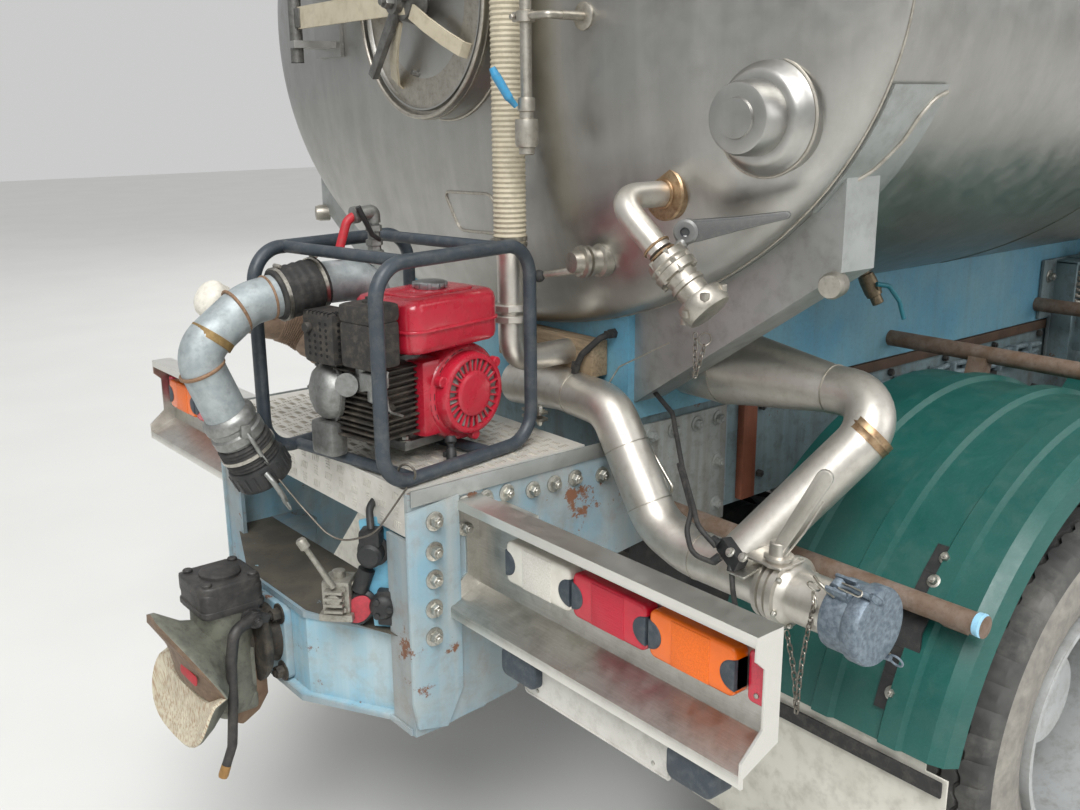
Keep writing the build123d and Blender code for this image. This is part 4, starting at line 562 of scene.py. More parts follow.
# Reflector: cube corners glittering under a smooth face
reflexRed = finish("prismatic red reflector", "#D32440", 0.0, 0.15, mottle=("#B81A34", 4.0, 0.6), coat=0.5,
    bump=(3.0, 0.4))
# Lamp cases: slate grey nylon with a fine moulding grain
lampBlack = finish("slate nylon lamp case", "#323B43", 0.0, 0.5, mottle=("#3F4951", 20, 0.5),
    dirt=("#6F716F", 20, 0.3), bump=(1.5, 0.2))
# Bolt heads: small bright points, yellowed in the corners
boltZinc = finish("zinc plated bolt", "#C4C3BC", 1.0, 0.4, mottle=("#9C9A91", 5, 0.6),
    dirt=("#7A6A55", 6, 0.5), bump=(1.5, 0.3))

lampSet = {"backX": 0.0545, "lowZ": 0.978, "height": 0.09, "length": 0.197, "corner": 0.015, "middle": 0.086,
    "capRadius": 0.027, "starts": (0.572, 0.772, 0.972), "reflectorY": 1.178}
lensFinishes = ((lensWhite, prismWhite), (lensRed, prismRed), (lensAmber, prismAmber))
for side in (-1, 1):
    sideName = "right" if side < 0 else "left"
    for start, (smooth, prism) in zip(lampSet["starts"], lensFinishes):
        base = at(lampSet["backX"], side * start, lampSet["lowZ"])
        across = (0, -1, 0)
        low, high = (0.002, lampSet["length"] - 0.002)
        if side > 0:
            low, high = -high, -low
        centre = (low + high) / 2
        halfMiddle = lampSet["middle"] / 2
        name = prism.name.split()[0]
        lens = bmesh.new()
        addPad(lens, (low, 0.001), (high, lampSet["height"]), lampSet["corner"], base, across, (0, 0, 1),
            0.03, 0.007)
        finished(f"lamp_{name}_{sideName}", lens, smooth, replaces=["rear_lamps"], sharp=50)
        middle = bmesh.new()
        addPad(middle, (centre - halfMiddle, 0.004), (centre + halfMiddle, lampSet["height"] - 0.004), 0.002,
            base, across, (0, 0, 1), 0.0312, 0.002, 2)
        finished(f"lamp_prisms_{name}_{sideName}", middle, prism)
        caps = bmesh.new()
        for end, inward in ((low, 1), (high, -1)):
            arc = []
            for i in range(15):
                angle = math.radians(-90 + 180 * i / 14)
                reach = lampSet["capRadius"] * math.cos(angle) * 1.15 * inward
                lift = lampSet["height"] * 0.47 + lampSet["capRadius"] * math.sin(angle)
                arc.append(base + Vector((0, -(end + reach), lift)))
            addRaised(caps, arc if inward * side < 0 else arc[::-1], (-1, 0, 0), 0.0322, 0.003)
        finished(f"lamp_caps_{name}_{sideName}", caps, lampBlack)
    reflector = bmesh.new()
    base = at(lampSet["backX"], side * lampSet["reflectorY"], lampSet["lowZ"])
    low, high = (0.001, 0.039) if side < 0 else (-0.039, -0.001)
    addPad(reflector, (low, 0.0), (high, lampSet["height"]), 0.009, base, (0, -1, 0), (0, 0, 1), 0.012, 0.003)
    finished(f"reflector_{sideName}", reflector, reflexRed)
    screw = bmesh.new()
    addTurned(screw, [(0.0, 0.0045), (0.0022, 0.0045), (0.0034, 0.003), (0.0036, 0)],
        base + Vector((-0.012, -(low + high) / 2, 0.016)), (-1, 0, 0), 16)
    finished(f"reflector_screw_{sideName}", screw, boltZinc)

print("blank number plate and its lamps")
# Plate sheet painted off white and gone chalky
paleAlloy = finish("painted plate sheet", "#CFCDC6", 0.0, 0.45, mottle=("#B7B4AB", 60, 0.5),
    dirt=("#8C877B", 25, 0.4), bump=(2.0, 0.2))
plateSet = {"x": 0.004, "low": (0.66, 0.782), "high": (1.055, 0.872), "thickness": 0.0025}
numberPlate = bmesh.new()
addPad(numberPlate, plateSet["low"], plateSet["high"], 0.008, at(plateSet["x"], 0, 0), (0, -1, 0), (0, 0, 1),
    plateSet["thickness"], 0.0008)
finished("number_plate_blank", numberPlate, paleAlloy)
plateRim = bmesh.new()
rimPath = [at(plateSet["x"] - 0.003, -y, z) for y, z in roundedRect((0.664, 0.786), (1.051, 0.868), 0.007)]
addTube(plateRim, rimPath, 0.0016, 6, closed=True)
finished("number_plate_rim", plateRim, paleAlloy)
plateLamps = bmesh.new()
for y in (0.61, 1.062):
    addPad(plateLamps, (y, 0.808), (y + 0.105, 0.872), 0.018, at(0.03, 0, 0), (0, -1, 0), (0, 0, 1), 0.05,
        0.008)
finished("plate_lamp_cases", plateLamps, lampBlack)
plateScrews = bmesh.new()
for y in (0.7, 1.015):
    addTurned(plateScrews, [(0.0, 0.004), (0.002, 0.004), (0.003, 0.0025), (0.0031, 0)],
        at(plateSet["x"] - 0.0025, -y, 0.8), (-1, 0, 0), 14)
finished("plate_screws", plateScrews, boltZinc)

print("transfer valve, cap and chain")
# Cast aluminium cap, left as cast: blue grey with bright rubs
capCasting = finish("as cast aluminium cap", "#66737F", 0.5, 0.5, mottle=("#98A4AD", 12, 0.7),
    dirt=("#454D55", 9, 0.5), chips=("#A9B3BB", 6, 0.04), bump=(2.4, 0.6), roughSpread=0.1)
# Bright wire that rusts at its bends
clipWire = finish("zinc plated clip wire", "#C9C6BC", 1.0, 0.32, mottle=("#A39C8C", 8, 0.5),
    dirt=("#7B5D42", 9, 0.4))
# Unplated chain, dark between the links
chainSteel = finish("dull steel chain", "#86827A", 0.9, 0.42, mottle=("#5F5A52", 5, 0.6),
    dirt=("#6B4F3A", 6, 0.4))
# Rows along the valve from its flange to its mouth, then along its cap
valveSet = {"x": 0.42, "z": 0.976, "startY": -0.9155, "rows": [(0, 0.062), (0.002, 0.0655), (0.013, 0.0655),
    (0.0145, 0.057), (0.018, 0.057), (0.0195, 0.0655), (0.03, 0.0655), (0.032, 0.06), (0.04, 0.06),
    (0.042, 0.0725), (0.055, 0.0725), (0.0565, 0.063), (0.06, 0.06), (0.069, 0.0535), (0.074, 0.0525),
    (0.152, 0.0525), (0.154, 0.0555), (0.159, 0.0555), (0.161, 0.05), (0.18, 0.05)],
    "capRows": [(0.158, 0.052), (0.158, 0.06), (0.163, 0.0675), (0.168, 0.069), (0.212, 0.069),
    (0.215, 0.0725), (0.219, 0.0755), (0.243, 0.0755), (0.249, 0.0725), (0.2505, 0.062), (0.2485, 0.035),
    (0.248, 0)]}
valveBase = at(valveSet["x"], valveSet["startY"], valveSet["z"])
outward = Vector((0, -1, 0))
valveBody = bmesh.new()
addTurned(valveBody, valveSet["rows"], valveBase, outward, 64)
finished("transfer_valve_body", valveBody, pipeSteel, replaces=["transfer_valve"])
valveCap = bmesh.new()
addTurned(valveCap, valveSet["capRows"], valveBase, outward, 56)
capPatch = valveBase + outward * 0.248
addPad(valveCap, (-0.014, -0.006), (0.014, 0.008), 0.004, capPatch + Vector((0.004, 0, 0.002)), (-1, 0, 0),
    (0, 0, 1), 0.0025, 0.001)
camArms = bmesh.new()
clips = bmesh.new()
for degrees in (62, 242):
    angle = math.radians(degrees)
    out = Vector((-math.cos(angle), 0, math.sin(angle)))
    beside = outward.cross(out)
    turn = Matrix((beside, outward, out)).transposed().to_4x4()
    for shift in (-0.0165, 0.0165):
        centre = valveBase + outward * 0.19 + beside * shift + out * 0.074
        addBox(valveCap, centre, (0.0035, 0.023, 0.016), 0.003, turn)
    for along in (0.17, 0.212):
        centre = valveBase + outward * along + out * 0.071
        addBox(valveCap, centre, (0.019, 0.004, 0.01), 0.002, turn)
    pivot = valveBase + outward * 0.182 + out * 0.081
    addTurned(camArms, [(-0.021, 0.005), (0.021, 0.005)], pivot, beside, 14)
    addTurned(camArms, [(-0.009, 0.011), (-0.008, 0.0125), (0.008, 0.0125), (0.009, 0.011)], pivot, beside,
        20)
    armPath = roundedPath([pivot, pivot + outward * 0.03 + out * 0.006, pivot + outward * 0.07 + out * 0.001],
        0.02)
    addTube(camArms, armPath, 0.006, 10)
    addRing(camArms, armPath[-1] + outward * 0.012, beside, 0.0135, 0.0022)
    start = pivot + outward * 0.012 + out * 0.012
    loop = [start, start + outward * 0.046 + out * 0.003 + beside * 0.004,
        start + outward * 0.05 + out * 0.001 + beside * 0.012, start + outward * 0.044 + beside * 0.016,
        start + beside * 0.012 - out * 0.001]
    addTube(clips, roundedPath(loop, 0.006), 0.0017, 8)
finished("transfer_cap", valveCap, capCasting)
finished("cap_cam_arms", camArms, capCasting)
finished("cap_clips", clips, clipWire)

chain = bmesh.new()
chainTop, chainLow, chainEnd = at(0.368, -1.058, 0.997), at(0.372, -1.03, 0.762), at(0.386, -0.985, 0.914)
sag = [chainTop.lerp(chainLow, i / 6) + Vector((0, 0.006 * math.sin(math.pi * i / 6), 0)) for i in range(7)]
for i in range(1, 6):
    droop = Vector((0, -0.006 * math.sin(math.pi * i / 5), -0.004 if i == 1 else 0))
    sag.append(chainLow.lerp(chainEnd, i / 5) + droop)
addChain(chain, sag)
finished("cap_chain", chain, chainSteel)
chainRings = bmesh.new()
addRing(chainRings, at(0.362, -1.062, 1.012), (0.6, -0.5, 0.1), 0.0155, 0.0018)
addRing(chainRings, at(0.366, -1.056, 1.036), (0.2, -0.4, 0.9), 0.0125, 0.0018)
addTube(chainRings, roundedPath(trail((0.374, -1.05, 1.052), (0.366, -1.068, 1.046), (0.37, -1.1, 1.028)),
    0.01), 0.003, 8)
finished("chain_rings", chainRings, clipWire)

flangeBolts = bmesh.new()
for degrees in range(20, 380, 60):
    place = valveBase + Vector((0, -0.055, 0)) + spoke(math.radians(degrees)) * 0.066
    addBolt(flangeBolts, place, (0, -1, 0), 0.01, washer=False, stud=0.003)
finished("valve_flange_bolts", flangeBolts, boltZinc)
lever = bmesh.new()
leverFoot, leverEnd = at(0.395, -0.951, 1.07), at(0.425, -1.035, 1.243)
addPad(lever, (-0.052, -0.03), (0.042, 0.046), 0.006, leverFoot + Vector((0, 0.012, -0.03)), (0, -1, 0),
    (1, 0, 0), 0.004, 0.001)
addTurned(lever, [(-0.032, 0.031), (-0.026, 0.031), (-0.024, 0.024), (-0.021, 0.024), (-0.019, 0.029),
    (-0.014, 0.029), (-0.012, 0.0195), (0.012, 0.0185), (0.014, 0.016)], leverFoot, (0, 0, 1), 32)
leverAlong = (leverEnd - leverFoot).normalized()
leverOut = Vector((-0.62, -0.45, 0.35))
leverOut = (leverOut - leverAlong * leverOut.dot(leverAlong)).normalized()
leverAcross = leverAlong.cross(leverOut)
length = (leverEnd - leverFoot).length
arm = [(-0.012, 0.0), (-0.0145, length * 0.4), (-0.016, length - 0.016)]
for angle in (math.radians(degrees) for degrees in range(30, 151, 30)):
    arm.append((-0.016 * math.cos(angle), length - 0.016 + 0.016 * math.sin(angle)))
arm += [(0.016, length - 0.016), (0.0145, length * 0.4), (0.012, 0.0)]
armOutline = [leverFoot + leverAcross * x + leverAlong * y + leverOut * 0.006 for x, y in arm]
addRaised(lever, armOutline, leverOut, 0.009, 0.002)
innerOutline = [leverFoot + leverAcross * x * 0.55 + leverAlong * (0.035 + (y * 0.82)) + leverOut * 0.015
    for x, y in arm]
addRaised(lever, innerOutline, leverOut, 0.0012, 0.0006)
springStart = leverFoot + leverAcross * 0.018 + leverOut * 0.014
spring = [springStart, springStart + leverAlong * 0.07 + leverAcross * 0.006 + leverOut * 0.006,
    springStart + leverAlong * 0.14 + leverAcross * 0.004]
addTube(lever, roundedPath(spring, 0.05), 0.0022, 8)
finished("transfer_valve_lever", lever, pipeSteel)
# A black disc on top of the lever's boss: painted shade inside its bolt well
holeShadow = bmesh.new()
addTurned(holeShadow, [(0.0135, 0.0075), (0.0146, 0.0075), (0.0147, 0.0)], leverFoot, (0, 0, 1), 20)
finished("lever_bolt_well", holeShadow, blackPlastic)

switchBox = bmesh.new()
switchTurn = Matrix.Rotation(math.radians(24), 4, "X") @ Matrix.Rotation(math.radians(-14), 4, "Z")
place = at(0.352, -0.872, 1.042)
addBox(switchBox, place, (0.012, 0.034, 0.017), 0.003, switchTurn)
addTurned(switchBox, [(0, 0.011), (0.006, 0.011), (0.008, 0.0085), (0.022, 0.0085), (0.024, 0.006)],
    place + Vector((0, 0.03, 0.012)), (0, 1, 0.25), 12)
addTurned(switchBox, [(0, 0.009), (0.018, 0.009), (0.02, 0.006)], place + Vector((-0.004, -0.006, -0.012)),
    (-0.5, -0.2, -0.8), 12)
addTurned(switchBox, [(0, 0.009), (0.018, 0.009), (0.02, 0.006)], place + Vector((-0.006, 0.026, -0.01)),
    (-0.5, 0.5, -0.6), 12)
finished("lever_switch", switchBox, blackPlastic)
switchMount = bmesh.new()
addPad(switchMount, (-0.02, -0.03), (0.022, 0.03), 0.004, place + Vector((0.006, -0.03, -0.022)), (0, -1, 0),
    (1, 0, 0.2), 0.004, 0.001)
for y in (-0.018, -0.05):
    addTurned(switchMount, [(0, 0.01), (0.003, 0.01), (0.004, 0.007), (0.008, 0.0065), (0.0085, 0)],
        place + Vector((-0.012, y + 0.012, 0.01)), (-0.7, 0, 0.7), 14)
finished("switch_bracket", switchMount, boltZinc)
conduits = bmesh.new()
# Routes held at both ends, from the switch to the frame
conduitRows = [
    [(0.345, -0.836, 1.05), (0.33, -0.8, 1.085), (0.36, -0.76, 1.105), (0.43, -0.66, 1.15),
     (0.5, -0.56, 1.235), (0.53, -0.46, 1.27)],
    [(0.335, -0.842, 1.02), (0.315, -0.8, 1.03), (0.325, -0.775, 1.07), (0.36, -0.755, 1.1),
     (0.43, -0.65, 1.155)],
    [(0.338, -0.884, 1.018), (0.325, -0.9, 0.985), (0.335, -0.905, 0.93), (0.35, -0.9, 0.885)],
]
for route in conduitRows:
    addTube(conduits, roundedPath(trail(*route), 0.04), 0.0055, 10)
finished("switch_conduits", conduits, rubber)

print("guard brackets and mudflap strips")
# Blue touched up over the cut ends of the stays: paler and cleaner than the frame's
paleBlue = finish("fresh blue enamel", "#8FC4E0", 0.0, 0.5, mottle=("#A9D3E8", 12, 0.5),
    dirt=("#6E8A99", 6, 0.4))
guardSet = {"axle": 1.25, "radius": 0.729, "bracketY": 1.11, "plateHalf": 0.031, "boltAcross": 0.017}
# Angle round the wheel and lift above the guard
guardRows = [(134.0, 0.0), (139, 0.002), (143.5, 0.004), (146, 0.022), (148.5, 0.026), (151.5, 0.004),
    (156, 0.001), (161.5, 0.0)]


def onGuard(degrees, y, lift):
    return at(guardSet["axle"], y, axleSet["z"]) + spoke(math.radians(degrees)) * (guardSet["radius"] + lift)


for side in (-1, 1):
    sideName = "right" if side < 0 else "left"
    brackets = bmesh.new()
    fixings = bmesh.new()
    y = side * guardSet["bracketY"]
    strip = []
    for degrees, lift in guardRows:
        strip.append([onGuard(degrees, y + edge * guardSet["plateHalf"], lift + 0.001) for edge in (-1, 1)])
    for (first, second), (third, fourth) in zip(strip, strip[1:]):
        out = (first - at(guardSet["axle"], first.y, axleSet["z"])).normalized()
        addPrism(brackets, [first, second, fourth, third], Vector((out.x, 0, out.z)) * 0.005)
    for degrees, lift in ((136.0, 0.006), (140.2, 0.008), (158.6, 0.006)):
        spot = onGuard(degrees, y, lift)
        addBolt(fixings, spot, spot - at(guardSet["axle"], y, axleSet["z"]), guardSet["boltAcross"])
    finished(f"guard_bracket_{sideName}", brackets, blackPlastic)
    finished(f"guard_bolts_{sideName}", fixings, boltZinc)
    flapStrip = bmesh.new()
    addPad(flapStrip, (0.6, 0.0), (1.245, 0.034), 0.003, at(0.546, 0, 0.61), (0, side, 0), (0, 0, -side),
        0.004, 0.001)
    finished(f"flap_strip_{sideName}", flapStrip, rubber)

print("pump engine")
# The set stands turned on its frame: its pieces are drawn square and placed together
engineSet = {"place": (-0.155, -0.425, 0), "turn": 10.0, "fanX": 0.288, "fanZ": 1.302, "feetZ": 1.1873,
    "fanBlades": 18, "slots": 26, "finCount": 12, "finPitch": 0.0125}
pumpTurn = Matrix.Rotation(math.radians(engineSet["turn"]), 4, "Z")
pumpPlace = Matrix.Translation(at(*engineSet["place"])) @ pumpTurn
# Die castings of the pump: grey skin, oily in the corners
castAlloy = finish("die cast aluminium", "#9A9B98", 0.85, 0.48, mottle=("#7F807C", 12, 0.6),
    dirt=("#55504A", 20, 0.5), bump=(1.8, 0.35))
# Stove enamel turned matte by the heat
heatBlack = finish("baked black stove enamel", "#2B2A29", 0.1, 0.6, mottle=("#3E3A36", 18, 0.6),
    dirt=("#6E6558", 16, 0.45), bump=(1.8, 0.4))

fanX, fanZ, feetZ = (engineSet[key] for key in ("fanX", "fanZ", "feetZ"))
facing = Vector((0, -1, 0))
# Openings: a black that gives nothing back, painted as the shade inside the slots and vents
softBlack = finish("soot black", "#101010", 0.0, 0.9, mottle=("#1C1B1A", 10, 0.5))
cover = bmesh.new()
addTurned(cover, [(0, 0.104), (0.002, 0.106), (0.052, 0.106), (0.062, 0.1035), (0.068, 0.0975),
    (0.0695, 0.09), (0.0695, 0.0)], (fanX, 0.125, fanZ), facing, 64)
# The cover runs on over the cylinder as a rounded box
addBlock(cover, (fanX - 0.118, 0.062, fanZ - 0.08), (fanX, 0.124, fanZ + 0.084), 0.014)
addTurned(cover, [(0.069, 0.088), (0.0705, 0.0895), (0.086, 0.0885), (0.0925, 0.0855), (0.095, 0.08),
    (0.0945, 0.0745), (0.084, 0.0735), (0.084, 0)], (fanX, 0.125, fanZ), facing, 64)
addTurned(cover, [(0.084, 0.049), (0.0945, 0.049), (0.0965, 0.046), (0.0975, 0.04), (0.0975, 0.0)],
    (fanX, 0.125, fanZ), facing, 40)
for degrees in (35, 155, 275):
    centre = Vector((fanX, 0.052, fanZ)) + spoke(math.radians(degrees)) * 0.0935
    addTurned(cover, [(0, 0.012), (0.014, 0.0115), (0.016, 0.009)], centre, facing, 18)
finished("pump_blower_cover", cover, redEnamel, replaces=["pump_engine"], place=pumpPlace)
blades = bmesh.new()
for angle in around(engineSet["slots"]):
    centre = Vector((fanX, 0.0355, fanZ)) + spoke(angle) * 0.0525
    addBox(blades, centre, (0.0225, 0.0035, 0.0022), 0.0008, Matrix.Rotation(-angle, 4, "Y"))
finished("pump_recoil_bars", blades, redEnamel, place=pumpPlace)
# Fan behind the bars: dull grey in half light
fanGrey = finish("moulded fan polymer", "#8E8C88", 0.0, 0.55, mottle=("#5F5D59", 12, 0.6),
    dirt=("#2F2D2B", 8, 0.6))
fanDisc = bmesh.new()
addTurned(fanDisc, [(0.084, 0.0735), (0.0845, 0.0735), (0.0845, 0)], (fanX, 0.125, fanZ), facing, 40)
for angle in around(engineSet["fanBlades"], 0.35):
    turn = Matrix.Rotation(-angle, 4, "Y") @ Matrix.Rotation(math.radians(35), 4, "X")
    centre = Vector((fanX, 0.0385, fanZ)) + spoke(angle) * 0.054
    addBox(fanDisc, centre, (0.018, 0.001, 0.0045), 0.0, turn)
finished("pump_fan", fanDisc, fanGrey, place=pumpPlace)
# The cover's slots are thin black boxes: painted shade where the openings are
coverSlots = bmesh.new()
for degrees in (98, 112, 126, 140, 176, 190, 204):
    angle = math.radians(degrees)
    for y, reach, length in ((0.0572, 0.0925, 0.007), (0.0611, 0.099, 0.0078)):
        centre = Vector((fanX, y, fanZ)) + spoke(angle) * reach
        addBox(coverSlots, centre, (0.0019, 0.0012, length), 0.0008, Matrix.Rotation(-angle, 4, "Y"))
finished("pump_cover_slots", coverSlots, softBlack, place=pumpPlace)
starter = bmesh.new()
grip = Vector((fanX - 0.06, 0.047, fanZ - 0.083))
addTurned(starter, [(0, 0.01), (0.006, 0.0125), (0.012, 0.0125), (0.016, 0.008), (0.024, 0.0075),
    (0.028, 0.0105), (0.052, 0.0115), (0.056, 0.007)], grip, (-0.15, -0.2, -1), 20)
addBlock(starter, grip - Vector((0.02, 0.004, 0.044)), grip + Vector((0.012, 0.006, -0.03)), 0.004)
finished("pump_starter_handle", starter, blackPlastic, place=pumpPlace)

block = bmesh.new()
addBlock(block, (fanX - 0.108, 0.122, feetZ + 0.018), (fanX + 0.078, 0.233, fanZ + 0.06), 0.012)
addBlock(block, (fanX - 0.13, 0.112, feetZ), (fanX + 0.09, 0.232, feetZ + 0.02), 0.004)
addTurned(block, [(0, 0.072), (0.01, 0.072), (0.013, 0.068)], (fanX - 0.06, 0.223, fanZ - 0.02), (0, 1, 0),
    40)
for x, z in ((-0.098, 0.03), (0.066, 0.03), (-0.098, -0.07), (0.066, -0.07)):
    addBolt(block, (fanX + x, 0.122, fanZ + z), (0, -1, 0), 0.011, washer=False, stud=0)
addTurned(block, [(0, 0.013), (0.01, 0.013), (0.012, 0.009), (0.02, 0.009), (0.021, 0.007)],
    (fanX - 0.108, 0.165, feetZ + 0.045), (-1, 0, 0), 16)
finished("pump_crankcase", block, castAlloy, place=pumpPlace)
bolts = bmesh.new()
for x in (fanX - 0.118, fanX + 0.078):
    for y in (0.124, 0.22):
        addBolt(bolts, (x, y, feetZ + 0.02), (0, 0, 1), 0.014)
finished("pump_foot_bolts", bolts, boltZinc, place=pumpPlace)

fins = bmesh.new()
for n in range(engineSet["finCount"]):
    z = fanZ - 0.066 + n * engineSet["finPitch"]
    wide = 0.0 if n % 3 else 0.004
    addBlock(fins, (0.05 - wide, 0.08 - wide, z), (fanX - 0.102, 0.203 + wide, z + 0.0042), 0.0015)
addBlock(fins, (0.062, 0.09, fanZ - 0.066), (fanX - 0.102, 0.193, fanZ + 0.078), 0.006)
addTurned(fins, [(0, 0.016), (0.006, 0.016), (0.008, 0.011), (0.022, 0.0095), (0.03, 0.006)],
    (0.075, 0.08, fanZ + 0.01), (0, -1, 0), 14)
finished("pump_cylinder_fins", fins, blackIron, place=pumpPlace)

cleaner = bmesh.new()
addBlock(cleaner, (0.022, 0.048, 1.392), (0.102, 0.14, 1.486), 0.011)
addBlock(cleaner, (0.0205, 0.0465, 1.482), (0.1035, 0.1415, 1.5215), 0.013)
addBlock(cleaner, (0.03, 0.0462, 1.4), (0.094, 0.048, 1.474), 0.0006)
for n in range(4):
    addBlock(cleaner, (0.034, 0.0455, 1.408 + 0.017 * n), (0.09, 0.0475, 1.4115 + 0.017 * n), 0.0012)
addTurned(cleaner, [(0, 0.012), (0.004, 0.012), (0.006, 0.006), (0.011, 0.006)], (0.062, 0.094, 1.5215),
    (0, 0, 1), 18)
finished("pump_air_cleaner", cleaner, heatBlack, place=pumpPlace, sharp=45)
silencer = bmesh.new()
addBlock(silencer, (0.02, 0.158, 1.386), (0.1, 0.258, 1.496), 0.016)
addTurned(silencer, [(0, 0.011), (0.01, 0.011), (0.012, 0.0095), (0.012, 0)], (0.021, 0.232, 1.462),
    (-1, 0, 0), 18)
finished("pump_silencer", silencer, heatBlack, place=pumpPlace, sharp=45)
# The silencer's vents are black discs and bars: painted shade where the holes are
vents = bmesh.new()
for n in range(6):
    z = 1.408 + 0.013 * n
    for m in range(2 if n > 3 else 4):
        addTurned(vents, [(0, 0.0036), (0.0008, 0.0036), (0.001, 0)], (0.0202, 0.178 + 0.018 * m, z),
            (-1, 0, 0), 10)
        addTurned(vents, [(0, 0.0036), (0.0008, 0.0036), (0.001, 0)], (0.036 + 0.016 * m, 0.1582, z),
            (0, -1, 0), 10)
for n in range(7):
    addBlock(vents, (0.0225, 0.171 + 0.012 * n, 1.484), (0.034, 0.1745 + 0.012 * n, 1.4955), 0.0008)
    addBlock(vents, (0.034 + 0.008 * n, 0.16, 1.4895), (0.0375 + 0.008 * n, 0.174, 1.4968), 0.0008)
finished("pump_silencer_vents", vents, softBlack, place=pumpPlace)
carburettor = bmesh.new()
addTurned(carburettor, [(0, 0.017), (0.02, 0.017), (0.022, 0.021), (0.03, 0.021), (0.032, 0.014),
    (0.052, 0.014)], (0.063, 0.118, 1.392), (0, 0, -1), 24)
addBlock(carburettor, (0.024, 0.052, 1.352), (0.072, 0.09, 1.388), 0.006)
addTurned(carburettor, [(0, 0.015), (0.026, 0.015), (0.03, 0.01)], (0.046, 0.068, 1.356), (0, 0, -1), 20)
addTube(carburettor, roundedPath([(0.07, 0.055, 1.385), (0.05, 0.042, 1.36), (0.055, 0.04, 1.31),
    (0.1, 0.05, 1.29)], 0.02), 0.0028, 8)
addBlock(carburettor, (0.03, 0.044, 1.372), (0.058, 0.05, 1.378), 0.001)
finished("pump_carburettor", carburettor, castAlloy, place=pumpPlace)

petrol = bmesh.new()
petrolLow, petrolSeam, petrolTop = 1.4086, 1.458, 1.5195
addPad(petrol, (0.112, 0.026), (0.374, 0.218), 0.038, (0, 0, petrolSeam), (1, 0, 0), (0, 1, 0),
    petrolTop - petrolSeam, 0.022, 8)
addPad(petrol, (-0.374, 0.026), (-0.112, 0.218), 0.038, (0, 0, petrolSeam), (-1, 0, 0), (0, 1, 0),
    petrolSeam - petrolLow, 0.018, 8)
addPad(petrol, (0.108, 0.022), (0.378, 0.222), 0.04, (0, 0, petrolSeam - 0.003), (1, 0, 0), (0, 1, 0), 0.005,
    0.002, 8)
addPad(petrol, (0.15, 0.06), (0.336, 0.186), 0.03, (0, 0, petrolTop - 0.0005), (1, 0, 0), (0, 1, 0), 0.0045,
    0.004, 8)
finished("pump_petrol_tank", petrol, redEnamel, replaces=["pump_fuel_tank"], place=pumpPlace, sharp=30)
fillerCap = bmesh.new()
capCentre = Vector((fanX - 0.035, 0.12, petrolTop + 0.003))
addTurned(fillerCap, [(0, 0.03), (0.004, 0.03), (0.005, 0.0345), (0.013, 0.0345), (0.0155, 0.031),
    (0.0163, 0.015), (0.0163, 0)], capCentre, (0, 0, 1), 36)
for angle in around(12):
    turn = Matrix.Rotation(angle, 4, "Z")
    centre = capCentre + Vector((math.cos(angle) * 0.0345, math.sin(angle) * 0.0345, 0.00875))
    addBox(fillerCap, centre, (0.0028, 0.0055, 0.00475), 0.0012, turn)
finished("pump_filler_cap", fillerCap, aluminium, place=pumpPlace)

volute = bmesh.new()
voluteZ = fanZ - 0.02
addTurned(volute, [(0, 0.088), (0.004, 0.092), (0.012, 0.092), (0.014, 0.1), (0.03, 0.102), (0.05, 0.0995),
    (0.064, 0.092), (0.074, 0.078), (0.08, 0.06), (0.082, 0.0)], (fanX - 0.06, 0.236, voluteZ), (0, 1, 0), 48)
addTurned(volute, [(0, 0.046), (0.014, 0.046), (0.016, 0.04), (0.026, 0.038)], (fanX - 0.06, 0.3, voluteZ),
    (0, 1, 0), 30)
addBlock(volute, (fanX - 0.11, 0.252, feetZ), (fanX - 0.01, 0.304, voluteZ - 0.06), 0.006)
for n in range(8):
    angle = math.tau * n / 8 + 0.2
    addBolt(volute, (fanX - 0.06 + math.cos(angle) * 0.082, 0.31, voluteZ + math.sin(angle) * 0.082 * 0.98),
        (0, 1, 0), 0.011, washer=False)
bowl = bmesh.new()
addTurned(bowl, [(-0.004, 0.066), (0.004, 0.067), (0.006, 0.061), (0.02, 0.058), (0.034, 0.046),
    (0.042, 0.028), (0.044, 0.0)], (0.066, 0.226, 1.322), (-1, 0.35, 0.05), 40)
addTurned(bowl, [(0, 0.021), (0.034, 0.02), (0.036, 0.024), (0.042, 0.024)], (0.06, 0.15, 1.352),
    (-0.8, -0.5, 0.1), 24)
addBlock(bowl, (0.03, 0.19, feetZ), (0.072, 0.262, 1.262), 0.01)
for angle in around(6):
    addBolt(bowl, (0.06, 0.226 + math.cos(angle) * 0.06, 1.322 + math.sin(angle) * 0.06), (-1, 0.35, 0.05),
        0.009, washer=False)
finished("pump_bowl", bowl, castAlloy, place=pumpPlace)
finished("pump_volute", volute, blackIron, replaces=["pump_housing"], place=pumpPlace)

print("discharge line")
# Weld seams burnt brown through the zinc
weldBrown = finish("burnt weld in zinc", "#8A6B52", 0.5, 0.65, mottle=("#A38A72", 6, 0.7),
    dirt=("#5B4334", 8, 0.6), bump=(1.6, 0.8))
